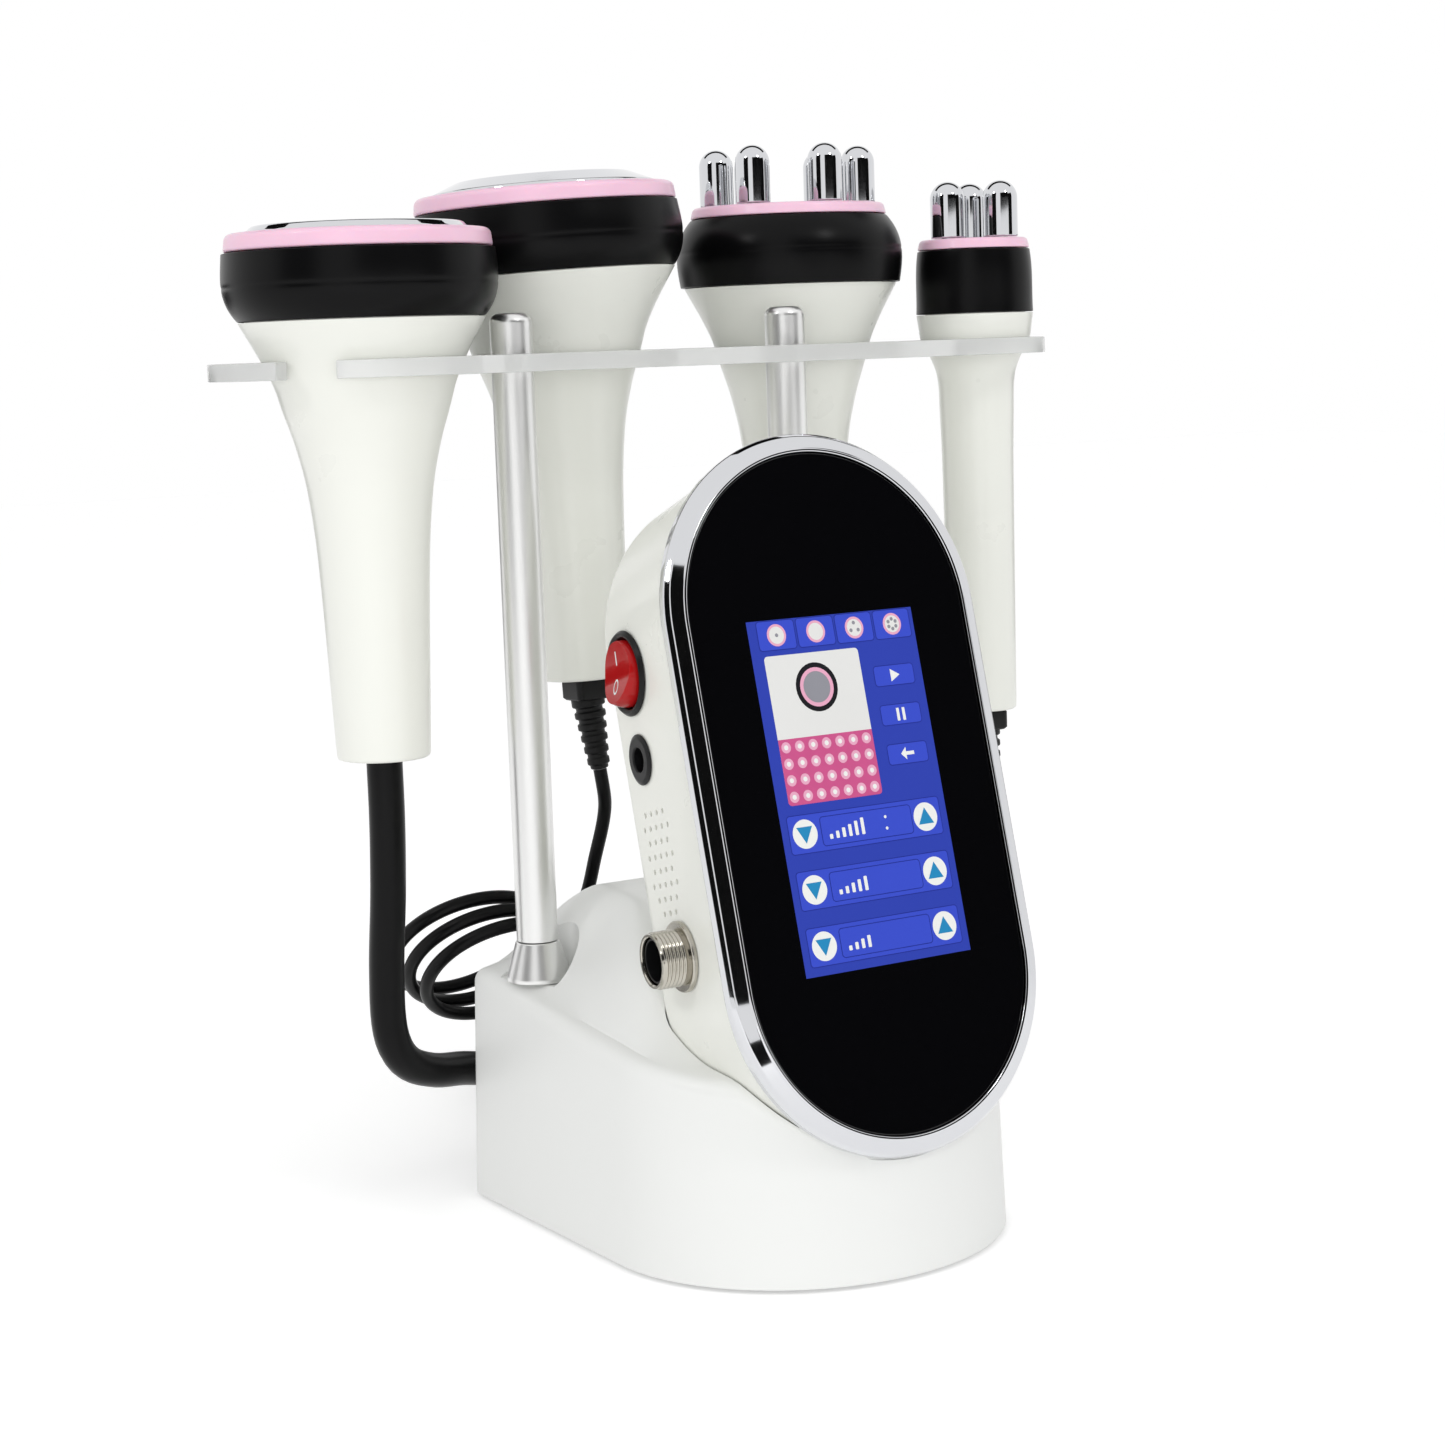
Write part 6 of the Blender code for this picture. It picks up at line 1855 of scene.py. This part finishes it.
@dataclass
class ElectrodeHandpiece(Handpiece):
    """Handpiece with domed electrodes on a pink cap."""

    electrodes: int = 6
    electrode_circle: float = 0.0222
    electrode_radius: float = 0.0053
    electrode_height: float = 0.0180
    electrode_heading: float = math.radians(-32.2)
    electrode_edge: float = 0.0005
    dome_steps: int = 16
    board: float = 0.0016

    def _head(self) -> None:
        """Pink cap and the electrodes, whose studs meet a contact plate behind it."""
        low = self.collar_rise() + FIT_GAP
        edge = self.ring_height / 5
        top = self.ring_radius - edge
        corners = ((0, self.ring_rise), (top - edge, self.ring_rise), (top, self.ring_rise - edge))
        cap = softened((*corners, (self.ring_radius, low), (0, low)), edge)
        self.turn(f"{self.name}_pink_cap", cap, PINK_RING, self.frame, [f"{self.name}_cap"])
        bm = bmesh.new()
        foot = self.ring_rise + FIT_GAP
        tip = self.ring_rise + self.electrode_height
        radius = self.electrode_radius
        angles = np.linspace(0, math.pi / 2, self.dome_steps + 1)
        dome = [(radius * math.sin(a), tip - radius * (1 - math.cos(a))) for a in angles]
        plate = self.collar_rise() - self.ring_height
        stud = radius * 0.4
        rim = softened((dome[-1], (radius, foot), (stud, foot)), self.electrode_edge)
        profile = [(0, tip), *dome[1:-1], *rim, (stud, plate), (0, plate)]
        for k in range(self.electrodes):
            angle = self.electrode_heading + math.tau * k / self.electrodes
            spot = at(self.electrode_circle * math.cos(angle), self.electrode_circle * math.sin(angle), 0)
            turned(bm, profile, Sides.MEDIUM, spot)
        wide = self.collar_radius() - self.skin - FIT_GAP
        turned(bm, cylinder(wide, plate - self.board, plate), Sides.MEDIUM)
        obj = new_object(f"{self.name}_domed_electrodes", bm, self.stand @ self.frame)
        self.add(obj, CHROME, [f"{self.name}_electrodes"])


# Cords


def along_route(route: Sequence[Vector], spacing: float) -> list[Vector]:
    """Points at even steps along a smooth curve through a route with straight ends.

    Args:
        route: Points that the curve passes.
        spacing: Step between the points.

    Returns:
        The points.
    """
    points = [Vector(point) for point in route]
    ends = zip([points[0], *points[:-1]], [*points[1:], points[-1]])
    tangents = [(after - before).normalized() for before, after in ends]
    last = len(points) - 2
    tangents[1] = (points[1] - points[0]).normalized()
    tangents[last] = (points[-1] - points[-2]).normalized()
    fine: list[Vector] = []
    for i in range(1, last):
        start, end = points[i], points[i + 1]
        third = (end - start).length / 3
        handles = (start + tangents[i] * third, end - tangents[i + 1] * third)
        fine += geometry.interpolate_bezier(start, *handles, end, 24)[:-1]
    fine.append(points[last])
    runs = [0.0]
    for before, after in zip(fine, fine[1:]):
        runs.append(runs[-1] + (after - before).length)
    chosen = np.linspace(0, runs[-1], max(2, round(runs[-1] / spacing)) + 1)
    columns = [np.interp(chosen, runs, [point[axis] for point in fine]) for axis in range(3)]
    return [points[0], *(Vector(row) for row in zip(*columns)), points[-1]]


@dataclass
class Cord(Assembly):
    """A cord from a handpiece, through its turns behind the base, into the base's outlet."""

    name: str = "cord"
    radius: float = THICK_CORD
    lead: Sequence[Point3] = ()
    tail: Sequence[Point3] = ()
    outlet: Point3 = (0.0, 0.0, 0.0)
    handpiece: Handpiece = field(kw_only=True)
    turn_steps: int = 96
    spacing: float = 0.0030

    def coil(self) -> list[Vector]:
        """Points of the cord's turns."""
        return []

    def build(self) -> None:
        coil = self.coil()
        into = (coil[1] - coil[0]).normalized()
        out = (coil[-1] - coil[-2]).normalized()
        start = coil[0] - into * FIT_GAP
        end = coil[-1] + out * FIT_GAP
        straight = self.radius * 2
        x, y, z = self.outlet
        lead_route = [*self.handpiece.cord_exit(), *self.lead, start - into * straight, start]
        tail_route = [end, end + out * straight, *self.tail, (x, y + straight, z), (x, y, z)]
        lead = along_route(lead_route, self.spacing)
        tail = along_route(tail_route, self.spacing)
        points = [self.stand @ point for point in [*lead[:-1], *coil, *tail[1:]]]
        curve = bpy.data.curves.new(f"{self.name}_curve", "CURVE")
        curve.dimensions = "3D"
        curve.bevel_depth = self.radius
        curve.bevel_resolution = 8
        curve.use_fill_caps = True
        spline = curve.splines.new("POLY")
        spline.points.add(len(points) - 1)
        for spot, point in zip(spline.points, points):
            spot.co = (*point, 1.0)
        spline.use_smooth = True
        obj = bpy.data.objects.new(self.name, curve)
        bpy.context.scene.collection.objects.link(obj)
        self.add(obj, CORD_SKIN, [f"{self.name}_{part}" for part in ("lead", "coil", "tail")])


@dataclass
class ThickCord(Cord):
    """Cord of the left handpiece, wound flat on the floor behind the base."""

    centre: Point3 = (0.0640, 0.0990, 0.0054)
    coil_radius: float = 0.0620
    turns: float = 2.75
    pitch: float = 0.0112
    layer: float = 0.0109

    def coil(self) -> list[Vector]:
        """Turns that spiral in on the floor, climb and spiral out.

        Returns:
            Points of the turns.
        """
        points = []
        steps = round(self.turns * self.turn_steps)
        for k in range(steps + 1):
            turn = self.turns * k / steps
            angle = math.tau * (turn - 0.25)
            drawn = self.pitch * (self.turns / 2 - abs(turn - self.turns / 2))
            radius = self.coil_radius - drawn
            climb = ramp(turn, self.turns / 2 - 0.25, self.turns / 2 + 0.25)
            x, y, z = self.centre
            spot = (x + radius * math.cos(angle), y + radius * math.sin(angle), z + climb * self.layer)
            points.append(Vector(spot))
        return points


@dataclass
class ThinCord(Cord):
    """Cord of the second handpiece, which hangs in loose loops behind the base."""

    centre: Point3 = (-0.0370, 0.0515, 0.0650)
    shift: Point3 = (0.0032, -0.0050, -0.0036)
    along: Point3 = (0.996, -0.040, -0.075)
    up: Point3 = (0.028, -0.677, 0.735)
    start: float = math.radians(-60.0)
    loop_radius: float = 0.0244
    turns: float = 2.67

    def coil(self) -> list[Vector]:
        """Loose loops, each a little in front of the one before.

        Returns:
            Points of the loops.
        """
        along = Vector(self.along).normalized()
        up = Vector(self.up)
        up = (up - along * up.dot(along)).normalized()
        points = []
        steps = round(self.turns * self.turn_steps)
        for k in range(steps + 1):
            turn = self.turns * k / steps
            angle = self.start - math.tau * turn
            middle = Vector(self.centre) + Vector(self.shift) * (turn - self.turns / 2)
            points.append(middle + (along * math.cos(angle) + up * math.sin(angle)) * self.loop_radius)
        return points


# Studio


@dataclass(frozen=True)
class Lamp:
    """A soft light: its angle to the camera's left, rise, distance, size and power."""

    name: str
    turn: float
    rise: float
    distance: float
    width: float
    height: float
    power: float
    mirrored: bool = False


def largest(tree: bpy.types.NodeTree, values: Sequence[bpy.types.NodeSocket]) -> bpy.types.NodeSocket:
    """The largest of several sockets' values.

    Args:
        tree: Nodes that take the comparison.
        values: The sockets.

    Returns:
        The socket that gives the largest value.
    """
    found = values[0]
    for value in values[1:]:
        node = tree.nodes.new("ShaderNodeMath")
        node.operation = "MAXIMUM"
        tree.links.new(found, node.inputs[0])
        tree.links.new(value, node.inputs[1])
        found = node.outputs[0]
    return found


@dataclass
class Studio:
    """Camera, pale floor, white surroundings, soft lights and dark cards."""

    shift: Vector
    camera_place: Point3 = (-0.42522, -0.70563, 0.24809)
    azimuth: float = math.radians(32.23)
    pitch: float = math.radians(-7.59)
    roll: float = math.radians(-1.97)
    lens: float = 69.70
    sensor: float = 36.0
    ambient: float = 0.70
    floor_size: float = 9.0
    floor_lift: float = 0.34
    aim: float = 0.15
    lamps: tuple[Lamp, ...] = (
        Lamp("key", 52.0, 36.0, 1.5, 0.16, 0.24, 1.5, mirrored=True),
        Lamp("fill", -44.0, 40.0, 1.5, 0.16, 0.24, 1.7, mirrored=True),
        Lamp("front", 0.0, 5.0, 1.5, 1.20, 0.40, 5.4),
        Lamp("overhead", 0.0, 80.0, 1.4, 1.20, 1.40, 1.0),
    )
    card_distance: float = 1.5
    card_steps: int = 13
    card_walls: tuple[tuple[float, float, float, float], ...] = (
        (-56.0, -82.0, 0.18, 0.90),
        (-12.0, -30.0, 0.0, 0.14),
        (0.0, -56.0, 0.36, 1.20),
        (62.0, 30.0, 0.13, 1.20),
        (128.0, 150.0, 0.0, 0.25),
        (-128.0, -150.0, 0.0, 0.25),
    )
    roof_half: float = 0.9
    roof_ends: tuple[float, float] = (-0.9, -0.4)
    roof_height: float = 1.1

    def build(self) -> None:
        """Builds the studio."""
        self._camera()
        self._world()
        self._floor()
        self._lights()
        self._cards()

    def _camera(self) -> None:
        """Camera at the place from which the machine was seen."""
        flat = math.cos(self.pitch)
        ahead = (math.sin(self.azimuth) * flat, math.cos(self.azimuth) * flat)
        forward = Vector((*ahead, math.sin(self.pitch)))
        level = Vector((math.cos(self.azimuth), -math.sin(self.azimuth), 0))
        upward = level.cross(forward)
        right = level * math.cos(self.roll) + upward * math.sin(self.roll)
        up = upward * math.cos(self.roll) - level * math.sin(self.roll)
        data = bpy.data.cameras.new("camera")
        data.lens = self.lens
        data.sensor_width = self.sensor
        data.clip_start = 0.01
        data.clip_end = 40.0
        camera = bpy.data.objects.new("camera", data)
        bpy.context.scene.collection.objects.link(camera)
        turn = Matrix((right, up, -forward)).transposed().to_4x4()
        camera.matrix_world = Matrix.Translation(Vector(self.camera_place) + self.shift) @ turn
        bpy.context.scene.camera = camera

    def _world(self) -> None:
        """White surroundings for the camera and for reflections, softer for diffuse light."""
        world = bpy.data.worlds.new("studio")
        world.use_nodes = True
        nodes, links = world.node_tree.nodes, world.node_tree.links
        ground = nodes["Background"]
        ground.inputs["Color"].default_value = (1, 1, 1, 1)
        path = nodes.new("ShaderNodeLightPath")
        rays = ("Is Camera Ray", "Is Glossy Ray", "Is Transmission Ray")
        white = largest(world.node_tree, [path.outputs[ray] for ray in rays])
        level = nodes.new("ShaderNodeMapRange")
        level.inputs["To Min"].default_value = self.ambient
        level.inputs["To Max"].default_value = 1.0
        links.new(white, level.inputs["Value"])
        links.new(level.outputs["Result"], ground.inputs["Strength"])
        bpy.context.scene.world = world

    def _floor(self) -> None:
        """White floor that keeps a faint shadow of the machine."""
        bm = bmesh.new()
        half = self.floor_size / 2
        corners = ((-half, -half, 0), (half, -half, 0), (half, half, 0), (-half, half, 0))
        bm.faces.new([bm.verts.new(corner) for corner in corners])
        floor = new_object("studio_floor", bm)
        made = bpy.data.materials.new("studio_white")
        made.use_nodes = True
        nodes, links = made.node_tree.nodes, made.node_tree.links
        shader = nodes["Principled BSDF"]
        shader.inputs["Base Color"].default_value = (0.9, 0.9, 0.9, 1)
        shader.inputs["Roughness"].default_value = 0.9
        shader.inputs["Emission Color"].default_value = (1, 1, 1, 1)
        path = nodes.new("ShaderNodeLightPath")
        rays = ("Is Camera Ray", "Is Glossy Ray")
        seen = largest(made.node_tree, [path.outputs[ray] for ray in rays])
        lift = nodes.new("ShaderNodeMath")
        lift.operation = "MULTIPLY"
        lift.inputs[1].default_value = self.floor_lift
        links.new(seen, lift.inputs[0])
        links.new(lift.outputs[0], shader.inputs["Emission Strength"])
        floor.data.materials.append(made)

    def _spot(self, turn: float, distance: float, z: float) -> Vector:
        """Point of the studio at an angle to the left of the camera, round the machine.

        Args:
            turn: Angle in degrees.
            distance: Level distance from the machine.
            z: Height.

        Returns:
            The point.
        """
        heading = self.azimuth + math.pi + math.radians(turn)
        return Vector((math.sin(heading) * distance, math.cos(heading) * distance, z))

    def _lights(self) -> None:
        """Soft lights on both sides of the camera, behind it and above."""
        aim = Vector((0, 0, self.aim))
        for lamp in self.lamps:
            data = bpy.data.lights.new(lamp.name, "AREA")
            data.shape = "RECTANGLE"
            data.size = lamp.width
            data.size_y = lamp.height
            data.energy = lamp.power
            light = bpy.data.objects.new(lamp.name, data)
            bpy.context.scene.collection.objects.link(light)
            rise = math.radians(lamp.rise)
            away = lamp.distance * math.cos(rise)
            spot = self._spot(lamp.turn, away, self.aim + lamp.distance * math.sin(rise))
            light.location = spot
            light.rotation_euler = (aim - spot).to_track_quat("-Z", "Y").to_euler()
            light.visible_glossy = lamp.mirrored

    def _cards(self) -> None:
        """Dark cards round the machine, which only glossy pieces mirror."""
        made = bpy.data.materials.new("studio_black")
        made.use_nodes = True
        shader = made.node_tree.nodes["Principled BSDF"]
        shader.inputs["Base Color"].default_value = (0.008, 0.008, 0.008, 1)
        shader.inputs["Roughness"].default_value = 1.0
        shader.inputs["Specular IOR Level"].default_value = 0.0
        bm = bmesh.new()
        for first, last, low, high in self.card_walls:
            rings = []
            for z in (low, high):
                turns = np.linspace(first, last, self.card_steps)
                rings.append([bm.verts.new(self._spot(turn, self.card_distance, z)) for turn in turns])
            for k in range(self.card_steps - 1):
                bm.faces.new((rings[0][k], rings[0][k + 1], rings[1][k + 1], rings[1][k]))
        half, (near, far) = self.roof_half, self.roof_ends
        roof = []
        for across, ahead in ((-half, near), (half, near), (half, far), (-half, far)):
            spot = self._spot(0, ahead, self.roof_height) + self._spot(-90, across, 0)
            roof.append(bm.verts.new(spot))
        bm.faces.new(roof)
        card = new_object("dark_cards", bm)
        card.data.materials.append(made)
        card.visible_camera = card.visible_diffuse = False
        card.visible_shadow = card.visible_transmission = False


# Making


def stand_frame() -> Matrix:
    """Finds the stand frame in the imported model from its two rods.

    Returns:
        The frame's place.
    """
    middles = []
    for node in ("rod_left", "rod_right"):
        low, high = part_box(node)
        middles.append((low + high) / 2)
    middle = (middles[0] + middles[1]) / 2
    return at(middle.x, middle.y, 0)


def handpieces(stand: Matrix) -> list[Handpiece]:
    """The four handpieces from left to right.

    Args:
        stand: Place of the stand frame.

    Returns:
        The handpieces.
    """
    return [
        DiscHandpiece(stand, Body.BODY_HANDLE, name="body_handle", x=-0.0849, y=0.0160),
        DiscHandpiece(
            stand,
            Body.SONIC_HANDLE,
            name="sonic_handle",
            x=-0.0082,
            y=0.0422,
            lean=math.radians(2.6),
            ring_rise=0.0484,
            ring_radius=0.0396,
            band_radius=0.0409,
            band_peak_share=0.52,
            shoulder_radius=0.0376,
            shoulder_rise=0.0234,
            grip_length=0.1225,
            end_radius=0.0136,
            disc_radius=0.0340,
            disc_flat_radius=0.0260,
            disc_proud=0.0040,
            cord_radius=THIN_CORD,
            ribbed=True,
        ),
        ElectrodeHandpiece(
            stand,
            Body.HEXAPOLAR_HANDLE,
            name="hexapolar_handle",
            x=0.0732,
            y=0.0360,
            ring_rise=0.0432,
            ring_height=0.0034,
            ring_radius=0.0308,
            band_radius=0.0355,
            band_peak_share=0.40,
            shoulder_radius=0.0334,
            shoulder_rise=0.0184,
            grip_length=0.1220,
            end_radius=0.0130,
            cord_radius=THIN_CORD,
        ),
        ElectrodeHandpiece(
            stand,
            Body.TRIPOLAR_HANDLE,
            name="tripolar_handle",
            x=0.1289,
            y=0.0137,
            flare_shares=(
                (0.000, 0.975),
                (0.022, 0.926),
                (0.061, 0.827),
                (0.085, 0.654),
                (0.105, 0.469),
                (0.141, 0.247),
                (0.179, 0.160),
                (0.240, 0.136),
                (0.357, 0.086),
                (0.960, 0.010),
            ),
            ring_rise=0.0314,
            ring_height=0.0032,
            ring_radius=0.0178,
            band_radius=0.0185,
            band_peak_share=0.40,
            groove_depth=0.0,
            shoulder_radius=0.0188,
            shoulder_rise=0.0078,
            grip_length=0.1272,
            end_radius=0.0108,
            cord_radius=THIN_CORD,
            ribbed=True,
            electrodes=3,
            electrode_circle=0.0096,
            electrode_radius=0.0055,
            electrode_heading=math.radians(57.8),
        ),
    ]


def cords(stand: Matrix, pieces: Sequence[Handpiece], base: Base) -> list[Cord]:
    """The two cords that the machine shows.

    Args:
        stand: Place of the stand frame.
        pieces: The handpieces.
        base: The base, whose back wall has the outlets.

    Returns:
        The cords.
    """
    thick = ThickCord(
        stand,
        name="body_cord",
        radius=base.body_outlet.cord,
        handpiece=pieces[0],
        lead=(
            (-0.0848, 0.0180, 0.0980),
            (-0.0845, 0.0225, 0.0720),
            (-0.0828, 0.0255, 0.0530),
            (-0.0770, 0.0285, 0.0430),
            (-0.0660, 0.0330, 0.0375),
            (-0.0512, 0.0400, 0.0342),
            (-0.0330, 0.0455, 0.0290),
            (-0.0080, 0.0430, 0.0195),
            (0.0220, 0.0385, 0.0100),
        ),
        tail=((0.0020, 0.0700, 0.0205), (0.0020, 0.0540, 0.0310)),
        outlet=base.cord_end(base.body_outlet),
    )
    thin = ThinCord(
        stand,
        name="sonic_cord",
        radius=base.sonic_outlet.cord,
        spacing=0.0015,
        handpiece=pieces[1],
        lead=(
            (0.0008, 0.0405, 0.1075),
            (-0.0008, 0.0445, 0.0930),
            (-0.0030, 0.0500, 0.0770),
            (-0.0085, 0.0600, 0.0630),
            (-0.0180, 0.0675, 0.0562),
        ),
        tail=((-0.0110, 0.0372, 0.0640), (-0.0090, 0.0385, 0.0540)),
        outlet=base.cord_end(base.sonic_outlet),
    )
    return [thick, thin]


def main() -> None:
    """Builds every class in order."""
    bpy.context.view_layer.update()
    stand = stand_frame()
    Studio(stand.to_translation()).build()
    base = Base(stand)
    pieces = handpieces(stand)
    for cord in cords(stand, pieces, base):
        cord.build()
    unit = ScreenUnit(stand)
    base.build(unit)
    unit.build()
    Display(stand, unit=unit).build()
    HolderPlate(stand).build(pieces, base.rod_x, base.rod_radius)
    for piece in pieces:
        piece.build()
        LOG.info("%s: %s", piece.name, ", ".join(piece.made))
    bpy.context.scene.view_settings.view_transform = "Standard"
    bpy.context.view_layer.update()


if __name__ == "__main__":
    logging.basicConfig(level=logging.INFO, format="%(message)s")
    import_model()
    main()
